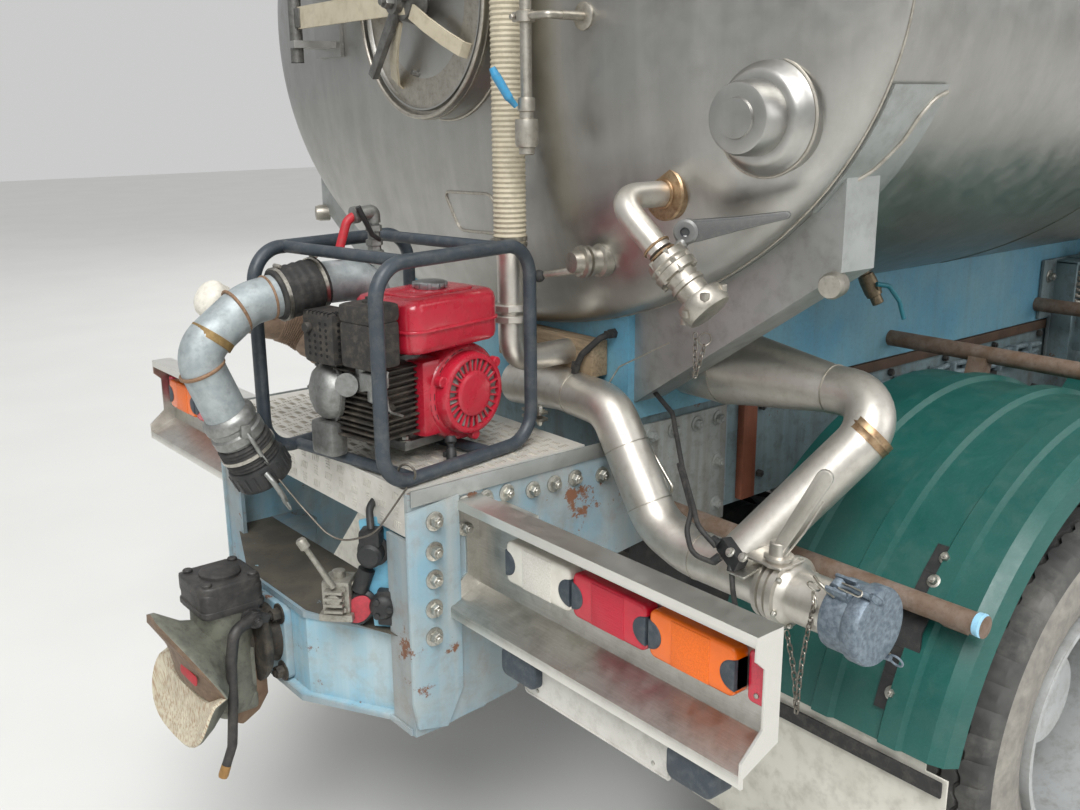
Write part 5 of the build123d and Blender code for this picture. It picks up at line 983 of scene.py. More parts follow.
# Band clips: a thin bright line
bandSteel = finish("stainless band clip", "#BDB9B0", 1.0, 0.32, mottle=("#9A968C", 8, 0.5),
    dirt=("#6E665A", 8, 0.35))
dischargeSet = {"y": -0.112, "radius": 0.0445, "bends": [0.062, 0.15, 0.11, 0.062, 0.3]}
foot = pumpPlace @ Vector((fanX - 0.06, 0.277, 0))
lineY = dischargeSet["y"]
dischargeLine = [Vector((foot.x, foot.y, 1.3843)), Vector((foot.x, foot.y, 1.532)), at(-0.11, lineY, 1.534),
    at(-0.27, lineY, 1.508), at(-0.385, lineY, 1.425), at(-0.33, lineY, 1.29), at(-0.252, lineY, 1.135)]
pipeLine = bmesh.new()
addTube(pipeLine, roundedPath(dischargeLine, dischargeSet["bends"], 10), dischargeSet["radius"], 32)
addTurned(pipeLine, [(0, 0.06), (0.01, 0.06), (0.012, 0.052), (0.016, 0.046)], dischargeLine[0], (0, 0, 1),
    32)
finished("discharge_line", pipeLine, zinc, replaces=["discharge_pipe"])
lastFrom, lastTo = dischargeLine[-2], dischargeLine[-1]
down = (lastTo - lastFrom).normalized()
coupling = bmesh.new()
addTurned(coupling, [(-0.006, 0.046), (0, 0.053), (0.006, 0.0555), (0.02, 0.0555), (0.024, 0.051),
    (0.034, 0.051), (0.038, 0.0555), (0.056, 0.0555), (0.06, 0.05), (0.066, 0.049)], lastFrom, down, 44)
sideways = Vector((0, 1, 0))
forwardOut = sideways.cross(down).normalized()
for hand in (-1, 1):
    root = lastFrom + down * 0.03 + sideways * hand * 0.054
    addBox(coupling, root, (0.01, 0.007, 0.014), 0.003)
    arm = [root, root + sideways * hand * 0.01 + down * 0.02, root + sideways * hand * 0.008 + down * 0.062]
    addTube(coupling, roundedPath(arm, 0.012), 0.0048, 10)
    addRing(coupling, arm[-1] + down * 0.01, sideways.cross(down), 0.012, 0.0018)
finished("discharge_camlock", coupling, castAlloy)
sleeve = bmesh.new()
rows = [(0.062, 0.047)]
for n in range(7):
    rows += [(0.066 + 0.0075 * n, 0.0555), (0.069 + 0.0075 * n, 0.0575), (0.0715 + 0.0075 * n, 0.0555)]
rows.append((0.12, 0.05))
addTurned(sleeve, rows, lastFrom, down, 44)
finished("discharge_sleeve", sleeve, rubber)
dustCap = bmesh.new()
addTurned(dustCap, [(0.114, 0.049), (0.118, 0.06), (0.124, 0.063), (0.16, 0.063), (0.166, 0.0605),
    (0.17, 0.054), (0.171, 0.044), (0.169, 0.04), (0.169, 0.0)], lastFrom, down, 44)
for angle in around(20):
    out = sideways * math.cos(angle) + forwardOut * math.sin(angle)
    addTube(dustCap, [lastFrom + down * 0.126 + out * 0.0628, lastFrom + down * 0.158 + out * 0.0628], 0.0026,
        6)
finished("discharge_dust_cap", dustCap, blackPlastic)
paleArms = bmesh.new()
for hand in (-1, 1):
    root = lastFrom + down * 0.13 + sideways * hand * 0.061 + forwardOut * 0.012
    path = [root, root + sideways * hand * 0.014 + down * 0.018, root + sideways * hand * 0.02 + down * 0.056,
        root + sideways * hand * 0.012 + down * 0.074]
    addTube(paleArms, roundedPath(path, 0.012), 0.0058, 12)
    addRing(paleArms, path[-1] + down * 0.01, sideways.cross(down), 0.0105, 0.0022)
finished("dust_cap_arms", paleArms, castAlloy)

upperSleeve = bmesh.new()
acrossFrom = at(-0.208, lineY, 1.518)
toward = (at(-0.104, lineY, 1.535) - acrossFrom).normalized()
rows = [(0.0, 0.0445), (0.002, 0.05), (0.01, 0.054)]
for n in range(4):
    rows += [(0.018 + 0.018 * n, 0.0545), (0.024 + 0.018 * n, 0.0555), (0.03 + 0.018 * n, 0.053)]
rows += [(0.104, 0.0545), (0.108, 0.052), (0.108, 0.0445)]
addTurned(upperSleeve, rows, acrossFrom, toward, 44)
finished("discharge_upper_sleeve", upperSleeve, rubber)
bandClips = bmesh.new()
for along in (0.012, 0.096):
    addTurned(bandClips, [(along - 0.004, 0.053), (along - 0.004, 0.0565), (along + 0.004, 0.0565),
        (along + 0.004, 0.053)], acrossFrom, toward, 44)
    knob = acrossFrom + toward * along + Vector((0, 0, 0.058))
    addTurned(bandClips, [(-0.012, 0.0045), (0.012, 0.0045), (0.014, 0.003)], knob,
        toward.cross(Vector((0, 0, 1))), 12)
addTurned(bandClips, [(0.084, 0.0575), (0.084, 0.06), (0.092, 0.06), (0.092, 0.0575)], lastFrom, down, 44)
finished("discharge_band_clips", bandClips, bandSteel)
welds = bmesh.new()
weldRows = ((-0.222, 1.5155, -1, -0.16, 0.0028), (-0.29, 1.497, -0.92, -0.42, 0.0034),
    (-0.372, 1.39, 0.38, -0.93, 0.004))
for x, z, axisX, axisZ, wire in weldRows:
    addRing(welds, at(x, lineY, z), Vector((axisX, 0, axisZ)), 0.0448, wire, 40, 8)
finished("discharge_welds", welds, weldBrown)
band = bmesh.new()
addTurned(band, [(-0.008, 0.0445), (-0.008, 0.0462), (0.008, 0.0462), (0.008, 0.0445)],
    at(-0.347, lineY, 1.4505), (-0.62, 0, -0.78), 44)
finished("discharge_band", band, finish("ochre corroded band", "#8A7146", 0.4, 0.6,
    mottle=("#6E5836", 10, 0.6), dirt=("#A38E62", 6, 0.5)))
tap = bmesh.new()
tapFoot = Vector((foot.x + 0.012, foot.y, 1.57))
addTurned(tap, [(0, 0.036), (0.008, 0.036), (0.012, 0.022), (0.02, 0.02), (0.022, 0.015), (0.03, 0.015),
    (0.032, 0.019), (0.044, 0.019), (0.046, 0.014), (0.06, 0.014), (0.062, 0.018), (0.074, 0.018),
    (0.076, 0.012), (0.09, 0.012)], tapFoot, (0, 0, 1), 6)
tapBend = trailFrom(tapFoot, (0, 0, 0.08), (0, 0, 0.104), (-0.04, -0.004, 0.1))
addTube(tap, roundedPath(tapBend, 0.02), 0.0155, 16)
addTurned(tap, [(0, 0.018), (0.012, 0.018), (0.014, 0.012)], tapBend[-1], (-1, 0, -0.1), 20)
finished("priming_tap", tap, castAlloy)
redHose = bmesh.new()
addTube(redHose, roundedPath([tapBend[-1], tapBend[-1] + Vector((-0.026, 0, -0.01)),
    tapBend[-1] + Vector((-0.052, 0.002, -0.085))], 0.03), 0.0098, 14)
finished("priming_hose", redHose, finish("red rubber hose", "#B3202C", 0.0, 0.5, mottle=("#8F1822", 12, 0.5),
    dirt=("#5E4A42", 8, 0.4)))
tapArm = bmesh.new()
addTube(tapArm, trailFrom(tapFoot, (0.004, -0.016, 0.044), (-0.02, -0.026, 0.058), (-0.052, -0.028, 0.118)),
    [0.0045, 0.0055, 0.0062], 10)
finished("priming_tap_lever", tapArm, blackPlastic)
suction = bmesh.new()
suctionLine = roundedPath([(foot.x + 0.02, foot.y + 0.1, 1.29), (foot.x - 0.03, foot.y + 0.16, 1.345),
    at(-0.06, 0.11, 1.4), at(-0.19, 0.13, 1.452), at(-0.235, 0.13, 1.48)], 0.1, 9)
ribs = []
for n in range(len(suctionLine) - 1):
    for m in range(4):
        ribs.append(suctionLine[n].lerp(suctionLine[n + 1], m / 4))
addTube(suction, ribs, [0.0385 + 0.0028 * (n % 2) for n in range(len(ribs))], 28)
finished("suction_hose", suction, finish("buff ribbed hose", "#8A7461", 0.0, 0.65,
    mottle=("#A58F7A", 18, 0.6), dirt=("#5F4F41", 10, 0.5)))
endCap = bmesh.new()
capAxis = (suctionLine[-1] - suctionLine[-3]).normalized()
addTurned(endCap, [(-0.03, 0.041), (0.002, 0.041), (0.01, 0.043), (0.022, 0.04), (0.032, 0.03),
    (0.038, 0.016), (0.039, 0.0)], suctionLine[-1], capAxis, 36)
finished("suction_end_cap", endCap, finish("white moulded cap", "#DEDACE", 0.0, 0.5,
    mottle=("#C9C4B6", 20, 0.5), dirt=("#8E8778", 14, 0.35)))

print("hanging wire on the pump frame")
# Wire rope, its lay picked out by grease
wireRope = finish("greasy steel wire", "#77736B", 0.8, 0.45, mottle=("#55504A", 4, 0.6),
    dirt=("#6B5240", 6, 0.4), grain=(1.6, 0.6, (1, 1, 0.4)))
wires = bmesh.new()
frameCorner = pumpPlace @ Vector((0.06, 0.0, 0))
loopTop = Vector((frameCorner.x, frameCorner.y, 1.1905))
addRing(wires, loopTop, (0.8, 0.5, 0.1), 0.0185, 0.0024, 24)
armTip = lastFrom + down * 0.15 + sideways * -0.078
hang = [armTip, armTip.lerp(loopTop, 0.15) + Vector((0, 0, -0.055)),
    armTip.lerp(loopTop, 0.45) + Vector((-0.01, 0, -0.142)),
    armTip.lerp(loopTop, 0.78) + Vector((-0.02, -0.01, -0.12)), loopTop + Vector((-0.012, -0.018, -0.022))]
addTube(wires, roundedPath(hang, 0.09, 8), 0.0021, 8)
finished("cap_keeper_wire", wires, wireRope)

print("tow coupling")
couplingSet = {"z": 0.69, "bodyX": -0.33, "discRadius": 0.107, "capHalf": 0.071, "slotHalf": 0.098,
    "slotZ": 0.663}
# Mouth of the coupling: cream paint scored by drawbars down to rust
wornCream = finish("cream paint worn on iron", "#CFC8B2", 0.1, 0.55, mottle=("#B3AB94", 50, 0.6),
    streaks=("#8A5A36", 3.6, 0.95, 3), dirt=("#7A6B56", 30, 0.4), chips=("#A65A2C", 70, 0.05),
    bump=(2.5, 0.3))
# Throat of the coupling: iron rubbed brown
throatBrown = finish("brown worn iron", "#6E5A49", 0.2, 0.6, mottle=("#8C745C", 20, 0.6),
    dirt=("#3F362E", 12, 0.5), bump=(2, 0.4))
# Coupling body: old grease with an olive cast over iron
castOlive = finish("greased cast iron", "#6E6F66", 0.4, 0.55, mottle=("#8D8E80", 40, 0.7),
    dirt=("#3C3A35", 22, 0.6), chips=("#B9B7A8", 45, 0.05), bump=(2.2, 0.5), roughSpread=0.1)
# Coupling cap and lever: black paint lifting over rust
rustyBlack = finish("rusted black paint", "#2B2A2A", 0.1, 0.5, mottle=("#403E3C", 18, 0.6),
    dirt=("#6F6960", 34, 0.3), chips=("#7A5238", 30, 0.06), bump=(1.5, 0.4))
# Guide mark: red paint with dirt in its chips
redPaint = finish("chipped red paint", "#B02A33", 0.0, 0.5, mottle=("#8A2026", 20, 0.5),
    dirt=("#6A4A3E", 9, 0.5))
midZ, bodyX = couplingSet["z"], couplingSet["bodyX"]


def addMouth(shape, rows, slotRow, sides=72):
    # rows: x at top, side and bottom, half width, low, middle and high z, material
    # Each row is one closed curve, pointed above its middle and squarer below
    rings = []
    for topX, sideX, bottomX, half, low, middle, high, _ in rows:
        ring = []
        for i in range(sides):
            angle = math.tau * i / sides
            c, s = math.cos(angle), math.sin(angle)
            power = 1.45 if s > 0 else 2.9
            size = (abs(c) ** power + abs(s) ** power) ** (-1 / power)
            reach = abs(s * size)
            x = sideX + ((topX - sideX) * min(reach * 1.06, 1) ** 1.05 if s > 0
                else (bottomX - sideX) * reach**0.4)
            z = middle + s * size * ((high - middle) if s > 0 else (middle - low))
            ring.append(shape.verts.new(at(x, c * size * half, z)))
        rings.append(ring)
    for r, (first, second) in enumerate(zip(rings, rings[1:])):
        for i in range(sides):
            j = (i + 1) % sides
            face = shape.faces.new((first[i], first[j], second[j], second[i]))
            inside = r >= slotRow
            face.material_index = rows[r][7] if not inside else (1 if i >= sides / 2 else 2)


# Outside from the body to the rim, then inside from the rim to the slot
mouthRows = [
    (-0.34, -0.34, -0.34, 0.055, 0.61, 0.69, 0.8, 0),
    (-0.372, -0.362, -0.372, 0.082, 0.59, 0.69, 0.806, 0),
    (-0.424, -0.382, -0.42, 0.126, 0.568, 0.69, 0.818, 0),
    (-0.476, -0.398, -0.458, 0.157, 0.56, 0.69, 0.852, 0),
    (-0.488, -0.402, -0.466, 0.157, 0.558, 0.69, 0.852, 0),
    (-0.489, -0.406, -0.469, 0.152, 0.563, 0.69, 0.834, 0),
    (-0.466, -0.404, -0.46, 0.138, 0.58, 0.686, 0.804, 0),
    (-0.446, -0.406, -0.442, 0.124, 0.606, 0.678, 0.752, 0),
    (-0.434, -0.412, -0.43, 0.108, 0.642, 0.668, 0.694, 0),
    (-0.428, -0.416, -0.425, couplingSet["slotHalf"], 0.6585, couplingSet["slotZ"], 0.6675, 0),
    (-0.404, -0.398, -0.404, couplingSet["slotHalf"] - 0.004, 0.659, couplingSet["slotZ"], 0.667, 0),
]
mouth = bmesh.new()
addMouth(mouth, mouthRows, 4)
finished("coupling_mouth", mouth, [castOlive, wornCream, throatBrown], replaces=["tow_coupling"], sharp=50)
jawBody = bmesh.new()
addTurned(jawBody, [(-0.125, 0.0), (-0.125, 0.036), (-0.105, 0.04), (-0.098, 0.058), (-0.062, 0.066),
    (0.092, 0.066), (0.104, 0.07), (0.142, 0.07), (0.146, 0.064), (0.146, 0.0)], at(bodyX, 0, midZ),
    (0, 0, 1), 48)
addPad(jawBody, (-0.058, -0.062), (0.058, 0.062), 0.022, at(-0.29, 0, midZ), (0, 1, 0), (0, 0, -1), 0.078,
    0.006)
addPad(jawBody, (-0.055, -0.072), (0.055, -0.02), 0.016, at(-0.345, 0, midZ - 0.04), (0, 1, 0), (0, 0, 1),
    0.06, 0.008)
finished("coupling_body", jawBody, castOlive)
capTop = bmesh.new()
half = couplingSet["capHalf"]
capPlace = at(bodyX + 0.001, 0, midZ + 0.142)
addPad(capTop, (-half, -half), (half, half), 0.022, capPlace, (1, 0, 0), (0, 1, 0), 0.058, 0.008)
addPad(capTop, (-half - 0.003, -half - 0.001), (half + 0.002, half + 0.001), 0.02,
    capPlace + Vector((0, 0, 0.005)), (1, 0, 0), (0, 1, 0), 0.012, 0.003)
addPad(capTop, (-half - 0.002, -half), (half, half), 0.03, capPlace + Vector((0, 0, 0.05)), (1, 0, 0),
    (0, 1, 0), 0.022, 0.007)
addTurned(capTop, [(0.068, 0.046), (0.078, 0.045), (0.083, 0.038), (0.0855, 0.0)], capPlace, (0, 0, 1), 40)
for x in (-0.052, 0.052):
    for y in (-0.052, 0.052):
        addTurned(capTop, [(0.07, 0.011), (0.076, 0.011), (0.078, 0.009)], capPlace + Vector((x, y, 0)),
            (0, 0, 1), 16)
addPad(capTop, (-0.026, -0.03), (0.026, 0.022), 0.012, at(bodyX - 0.05, 0, midZ + 0.185), (0, 1, 0),
    (0, 0, 1), 0.001, 0.0005)
addBlock(capTop, at(bodyX - 0.068, 0.02, midZ + 0.168), at(bodyX - 0.03, 0.071, midZ + 0.212), 0.008)
finished("coupling_cap", capTop, rustyBlack)
neckCasting = bmesh.new()
disc = couplingSet["discRadius"]
addTurned(neckCasting, [(0.0, 0.052), (0.0, 0.06), (0.014, 0.062), (0.02, disc - 0.004), (0.026, disc),
    (0.036, disc), (0.041, disc - 0.006), (0.044, 0.058), (0.085, 0.054)], at(-0.243, 0, midZ + 0.048),
    (-1, 0, 0), 56)
addTurned(neckCasting, [(0.0, 0.07), (0.02, 0.062)], at(-0.224, 0, midZ + 0.04), (-1, 0, 0), 40)
for y in (-0.06, 0.06):
    for z in (0.655, 0.796):
        addBolt(neckCasting, at(-0.2245, y, z), (-1, 0, 0), 0.028, stud=0.006)
finished("coupling_neck", neckCasting, blackIron)
nosePlate = bmesh.new()
addPad(nosePlate, (-0.079, 0.636), (0.079, 0.814), 0.014, at(-0.2055, 0, 0), (0, -1, 0), (0, 0, 1), 0.019,
    0.003)
finished("coupling_plate", nosePlate, wornBlue)
footCasting = bmesh.new()
footOutline = [at(x, -0.05, z) for x, z in ((-0.258, 0.705), (-0.258, 0.606), (-0.282, 0.572),
    (-0.325, 0.548), (-0.352, 0.566), (-0.345, 0.705))]
addPrism(footCasting, footOutline, (0, 0.1, 0), 0.01)
finished("coupling_foot", footCasting, finish("brown weathered iron", "#6B5544", 0.3, 0.6,
    mottle=("#8A735C", 30, 0.6), dirt=("#3A332C", 18, 0.5), bump=(2, 0.4)))
hand = bmesh.new()
pivot = at(bodyX + 0.036, -0.062, midZ + 0.122)
addTurned(hand, [(0, 0.026), (0.008, 0.026), (0.01, 0.02), (0.026, 0.019), (0.03, 0.015)], pivot, (0, -1, 0),
    28)
addBolt(hand, pivot + Vector((0, -0.03, 0)), (0, -1, 0), 0.02, stud=0.003)
handRows = ((-0.294, -0.083, 0.818), (-0.35, -0.1, 0.806), (-0.364, -0.106, 0.74), (-0.368, -0.106, 0.64),
    (-0.378, -0.106, 0.545), (-0.402, -0.106, 0.488))
handTrack = roundedPath(trail(*handRows), [0.03, 0.06, 0.06, 0.05], 6)
addTube(hand, handTrack, [0.0135 - 0.0035 * i / len(handTrack) for i in range(len(handTrack))], 14)
addBlock(hand, pivot + Vector((-0.016, -0.026, -0.02)), pivot + Vector((0.034, -0.012, 0.014)), 0.004,
    Matrix.Rotation(0.5, 4, "Y"))
finished("coupling_lever", hand, rustyBlack)
leverTip = bmesh.new()
addTurned(leverTip, [(-0.018, 0.0108), (0.004, 0.0112), (0.01, 0.0095), (0.012, 0.0)], handTrack[-1],
    handTrack[-1] - handTrack[-3], 18)
finished("coupling_lever_tip", leverTip, finish("worn brass", "#B08A5A", 0.8, 0.45,
    mottle=("#8F6E48", 10, 0.5)))
redPatch = bmesh.new()
addPad(redPatch, (-0.034, -0.011), (0.034, 0.011), 0.008, at(-0.4375, -0.052, 0.716), (0.12, -1, -0.2),
    (0.14, 0, 1), 0.002, 0.001)
finished("coupling_guide_patch", redPatch, redPaint)

print("drawbeam fittings")
# Top of the drawbeam: grease and grit with specks of blue
dirtyTop = finish("black grease and road dirt", "#4A463F", 0.0, 0.7, mottle=("#6A6355", 60, 0.6),
    dirt=("#2C2A26", 30, 0.6), chips=("#8FB0BE", 50, 0.05), bump=(3, 0.5))
# Air valve: white bloom on grey alloy
alloy = finish("oxidised alloy casting", "#A7A49B", 0.7, 0.5, mottle=("#8B877C", 14, 0.6),
    dirt=("#5D5548", 8, 0.5), bump=(1.6, 0.5))
# Air coupling face: a flat rose red
redMould = finish("matte red moulding", "#B23A45", 0.0, 0.6, mottle=("#8F2C35", 12, 0.5),
    dirt=("#5A4440", 6, 0.4))
bracket = bmesh.new()
bracketRows = ((-0.135, -0.325, 0.838), (-0.085, -0.35, 0.826), (-0.03, -0.42, 0.852), (-0.022, -0.43, 0.985),
    (-0.05, -0.4, 1.045), (-0.105, -0.32, 1.075), (-0.135, -0.28, 1.06))
addPrism(bracket, trail(*bracketRows), Vector((0.006, 0.006, 0)), 0.0015)
finished("valve_bracket", bracket, blueEnamel)
across = Vector((-0.72, -0.69, 0)).normalized()
away = Vector((0.69, -0.72, 0)).normalized()
valve = bmesh.new()
body = at(-0.178, -0.262, 0.905)
turn = Matrix.Rotation(math.radians(44), 4, "Z")
addBox(valve, body, (0.03, 0.03, 0.036), 0.006, turn)
addBox(valve, body + Vector((0, 0, -0.042)), (0.038, 0.036, 0.008), 0.003, turn)
for n in range(4):
    addBox(valve, body + across * 0.03 + Vector((0, 0, -0.023 + 0.014 * n)), (0.02, 0.02, 0.003), 0.001, turn)
addTurned(valve, [(0.028, 0.02), (0.034, 0.02), (0.036, 0.015), (0.046, 0.015), (0.048, 0.011)], body, across,
    20)
addTurned(valve, [(0.034, 0.014), (0.05, 0.014), (0.052, 0.009)], body, (0, 0, 1), 16)
for low in (-0.018, 0.018):
    addTurned(valve, [(0.03, 0.01), (0.046, 0.01), (0.048, 0.006)], body + Vector((0, 0, low)), away, 14)
    addBolt(valve, body + across * 0.03 + Vector((0, 0, low * 1.3)) + away * 0.02, across, 0.01, washer=False,
        stud=0)
finished("air_valve_body", valve, alloy)
valveLever = bmesh.new()
leverFoot = body + across * 0.04 + Vector((0, 0, 0.03))
leverTop = leverFoot + across * 0.055 + Vector((-0.01, 0.06, 0.1))
addTube(valveLever, [leverFoot, leverFoot.lerp(leverTop, 0.5), leverTop], [0.0075, 0.0062, 0.0056], 12)
addTurned(valveLever, [(-0.008, 0.011), (0.01, 0.011), (0.014, 0.008)], leverTop, leverTop - leverFoot, 16)
finished("air_valve_lever", valveLever, alloy)
airHead = bmesh.new()
headPlace = body + away * 0.082 + Vector((-0.03, 0.022, -0.04))
addTurned(airHead, [(-0.016, 0.03), (0.004, 0.032), (0.01, 0.028)], headPlace + Vector((0, 0, 0.012)), across,
    28, (1.0, 1.35))
addTurned(airHead, [(-0.02, 0.028), (0.018, 0.028), (0.026, 0.022), (0.03, 0.012)],
    headPlace + away * 0.052 + Vector((0, 0, 0.022)), across, 24)
addBox(airHead, headPlace + away * 0.058 + Vector((0, 0, 0.019)), (0.018, 0.018, 0.039), 0.006, turn)
addTurned(airHead, [(0.0, 0.018), (0.05, 0.018), (0.054, 0.012)], headPlace + Vector((0, 0, 0.05)),
    (0.3, -0.2, 1), 18)
for angle in around(3):
    addTurned(airHead, [(0.024, 0.007), (0.032, 0.007), (0.033, 0.005)],
        headPlace + away * (0.052 + 0.018 * math.cos(angle))
        + Vector((0, 0, 0.022 + 0.018 * math.sin(angle))), across, 10)
finished("air_coupling_head", airHead, blackPlastic)
airFace = bmesh.new()
addTurned(airFace, [(0.008, 0.0245), (0.0125, 0.0245), (0.0145, 0.021), (0.015, 0.0)],
    headPlace + Vector((0, 0, 0.012)), across, 28, (1.0, 1.4))
finished("air_coupling_face", airFace, redMould)
upperHead = bmesh.new()
upperPlace = at(-0.135, -0.33, 1.005)
addTurned(upperHead, [(-0.03, 0.026), (0.022, 0.026), (0.028, 0.02), (0.03, 0.0)], upperPlace, across, 26)
addTurned(upperHead, [(0.0, 0.034), (0.007, 0.034), (0.01, 0.028)], upperPlace - across * 0.016, across, 26)
addBox(upperHead, upperPlace + Vector((0, 0, 0.035)), (0.022, 0.022, 0.017), 0.006, turn)
addTube(upperHead, roundedPath(trailFrom(upperPlace, (0, 0, 0.05), (0.01, 0.02, 0.09), (0.06, 0.05, 0.11)),
    0.03), 0.008, 12)
finished("upper_air_head", upperHead, blackPlastic)
beamTop = bmesh.new()
topOutline = [at(x, y, 0.8302) for x, y in ((-0.203, -0.148), (-0.1, -0.424), (-0.004, -0.424),
    (-0.004, 0.424), (-0.1, 0.424), (-0.203, 0.148))]
addPrism(beamTop, topOutline, (0, 0, 0.0012))
finished("beam_grime", beamTop, dirtyTop)

print("tail plates and bolts")
frameSet = {"railY": 0.4302, "sheetY": 0.4402, "plateY": 0.4405, "plate": 0.008, "boltY": 0.449,
    "outerY": 0.452}
plateBolts = bmesh.new()
for x, z in ((-0.058, 1.09), (-0.061, 1.026), (-0.063, 0.966), (-0.066, 0.902), (-0.068, 0.84)):
    for side in (-1, 1):
        addBolt(plateBolts, at(x, side * frameSet["boltY"], z), (0, side, 0), 0.024, stud=0.006)
for x, z in ((0.02, 1.105), (0.075, 1.105), (0.13, 1.105), (0.022, 1.055), (0.2, 1.095), (0.26, 1.095),
        (0.32, 1.095), (0.4, 1.085), (0.46, 1.085)):
    for side in (-1, 1):
        addBolt(plateBolts, at(x, side * 0.441, z), (0, side, 0), 0.022, stud=0.005)
finished("tail_plate_bolts", plateBolts, boltZinc)
doubler = bmesh.new()
for side in (-1, 1):
    rows = ((-0.122, 1.118), (0.004, 1.132), (0.002, 0.7), (-0.04, 0.622), (-0.112, 0.64), (-0.122, 0.7))
    outline = [at(x, side * frameSet["plateY"], z) for x, z in rows]
    addPrism(doubler, outline, (0, side * frameSet["plate"], 0), 0.0015)
finished("corner_doubler", doubler, wornBlue)
greyPlate = bmesh.new()
for side in (-1, 1):
    rows = ((0.515, 1.178), (0.806, 1.178), (0.806, 0.885), (0.6, 0.875), (0.515, 0.95))
    outline = [at(x, side * frameSet["plateY"], z) for x, z in rows]
    addPrism(greyPlate, outline, (0, side * frameSet["plate"], 0), 0.0015)
    for x, z in ((0.545, 1.15), (0.62, 1.15), (0.7, 1.15), (0.775, 1.15), (0.545, 1.04), (0.775, 1.04),
            (0.775, 0.93), (0.66, 0.92)):
        addBolt(greyPlate, at(x, side * frameSet["boltY"], z), (0, side, 0), 0.022, stud=0.005)
finished("web_plates", greyPlate, finish("grey primed steel", "#8D918E", 0.2, 0.55,
    mottle=("#A5A8A2", 60, 0.5), streaks=("#6E5747", 30, 0.5, 2), dirt=("#5C564B", 24, 0.5), bump=(2.5, 0.3)))
timber = bmesh.new()
timberPlace = at(0.549, -0.058, 1.262)
addBox(timber, timberPlace, (0.034, 0.215, 0.04), 0.004, Matrix.Rotation(math.radians(-4), 4, "Z"))
finished("timber_chock", timber, finish("weathered hardwood", "#8C7A63", 0.0, 0.8,
    mottle=("#A3937B", 50, 0.5), streaks=("#5B4A39", 5.0, 0.8, 1), dirt=("#4E463A", 30, 0.4),
    grain=(2.4, 0.8, (1, 0.08, 1))))

print("manway")
manwaySet = {"rimX": 0.24, "z": 2.11, "hingeY": 0.56, "weldRadius": 0.252}
# Manway arm and straps: smooth cream paint, greasy at the edges
creamArm = finish("cream painted strap", "#CFC6AE", 0.0, 0.45, mottle=("#BDB194", 60, 0.5),
    dirt=("#7B6F5A", 30, 0.4), edge=("#8C8270", 0.4), roughSpread=0.08)
# Manway spider: bare casting with a dark polish
greyArm = finish("dull cast arm", "#6D6C69", 0.8, 0.45, mottle=("#8B8A86", 20, 0.6),
    dirt=("#3F3C37", 12, 0.5), bump=(1.5, 0.3))
rimX, manZ, hingeY = (manwaySet[key] for key in ("rimX", "z", "hingeY"))
lid = bmesh.new()
addTurned(lid, [(0.0125, 0.228), (0.0125, 0.232), (-0.006, 0.2325), (-0.014, 0.23), (-0.014, 0.2265),
    (-0.004, 0.225), (0.006, 0.215), (-0.004, 0.16), (-0.009, 0.09), (-0.0105, 0.0)],
    at(rimX + 0.016, 0, manZ), (1, 0, 0), 72)
finished("manway_lid_dish", lid, tankSteel, body="manway_lid_body", replaces=["manway_lid"])
straps = bmesh.new()
for angle in (math.radians(degrees) for degrees in (-58, 122, -148, 32)):
    out = Vector((0, math.cos(angle), math.sin(angle)))
    wide = Vector((0, -math.sin(angle), math.cos(angle))) * 0.017
    path = [(0.205, rimX + 0.012), (0.195, rimX - 0.004), (0.15, rimX - 0.022), (0.095, rimX - 0.036),
        (0.04, rimX - 0.043)]
    for (reachA, xA), (reachB, xB) in zip(path, path[1:]):
        corners = []
        for reach, x in ((reachA, xA), (reachB, xB)):
            for sideways in (-1, 1):
                corners.append(at(x, 0, manZ) + out * reach + wide * sideways)
        outline = [corners[0], corners[1], corners[3], corners[2]]
        addPrism(straps, outline, (0.006, 0, 0))
finished("manway_lid_straps", straps, creamArm, body="manway_lid_body")
arm = bmesh.new()
armPath = [(-0.02, rimX - 0.052), (0.06, rimX - 0.05), (0.2, rimX - 0.044), (0.3, rimX - 0.036),
    (0.42, rimX - 0.028), (0.5, rimX - 0.022), (0.538, rimX - 0.018)]
for (yA, xA), (yB, xB) in zip(armPath, armPath[1:]):
    outline = trail((xA, yA, manZ - 0.027), (xB, yB, manZ - 0.027), (xB, yB, manZ + 0.027),
        (xA, yA, manZ + 0.027))
    addPrism(arm, outline, (0.009, 0, 0))
finished("manway_hinge_arm", arm, creamArm, body="manway_lid_body")
armSteel = bmesh.new()
addTurned(armSteel, [(-0.05, 0.017), (-0.052, 0.017), (0.114, 0.017)], at(rimX - 0.014, hingeY, manZ - 0.058),
    (0, 0, 1), 24)
addTurned(armSteel, [(0, 0.0085), (0.19, 0.0085)], at(rimX - 0.014, hingeY, manZ - 0.095), (0, 0, 1), 16)
addTurned(armSteel, [(-0.006, 0.014), (0.0, 0.014)], at(rimX - 0.014, hingeY, manZ - 0.09), (0, 0, 1), 6)
addBlock(armSteel, at(rimX - 0.024, hingeY - 0.04, manZ - 0.024), at(rimX - 0.008, hingeY, manZ + 0.024),
    0.003)
addTurned(armSteel, [(-0.068, 0.015), (-0.066, 0.024), (-0.05, 0.024), (-0.046, 0.038), (-0.02, 0.042),
    (-0.006, 0.046), (0.0, 0.04), (0.022, 0.028), (0.026, 0.02)], at(rimX, 0, manZ), (1, 0, 0), 36)
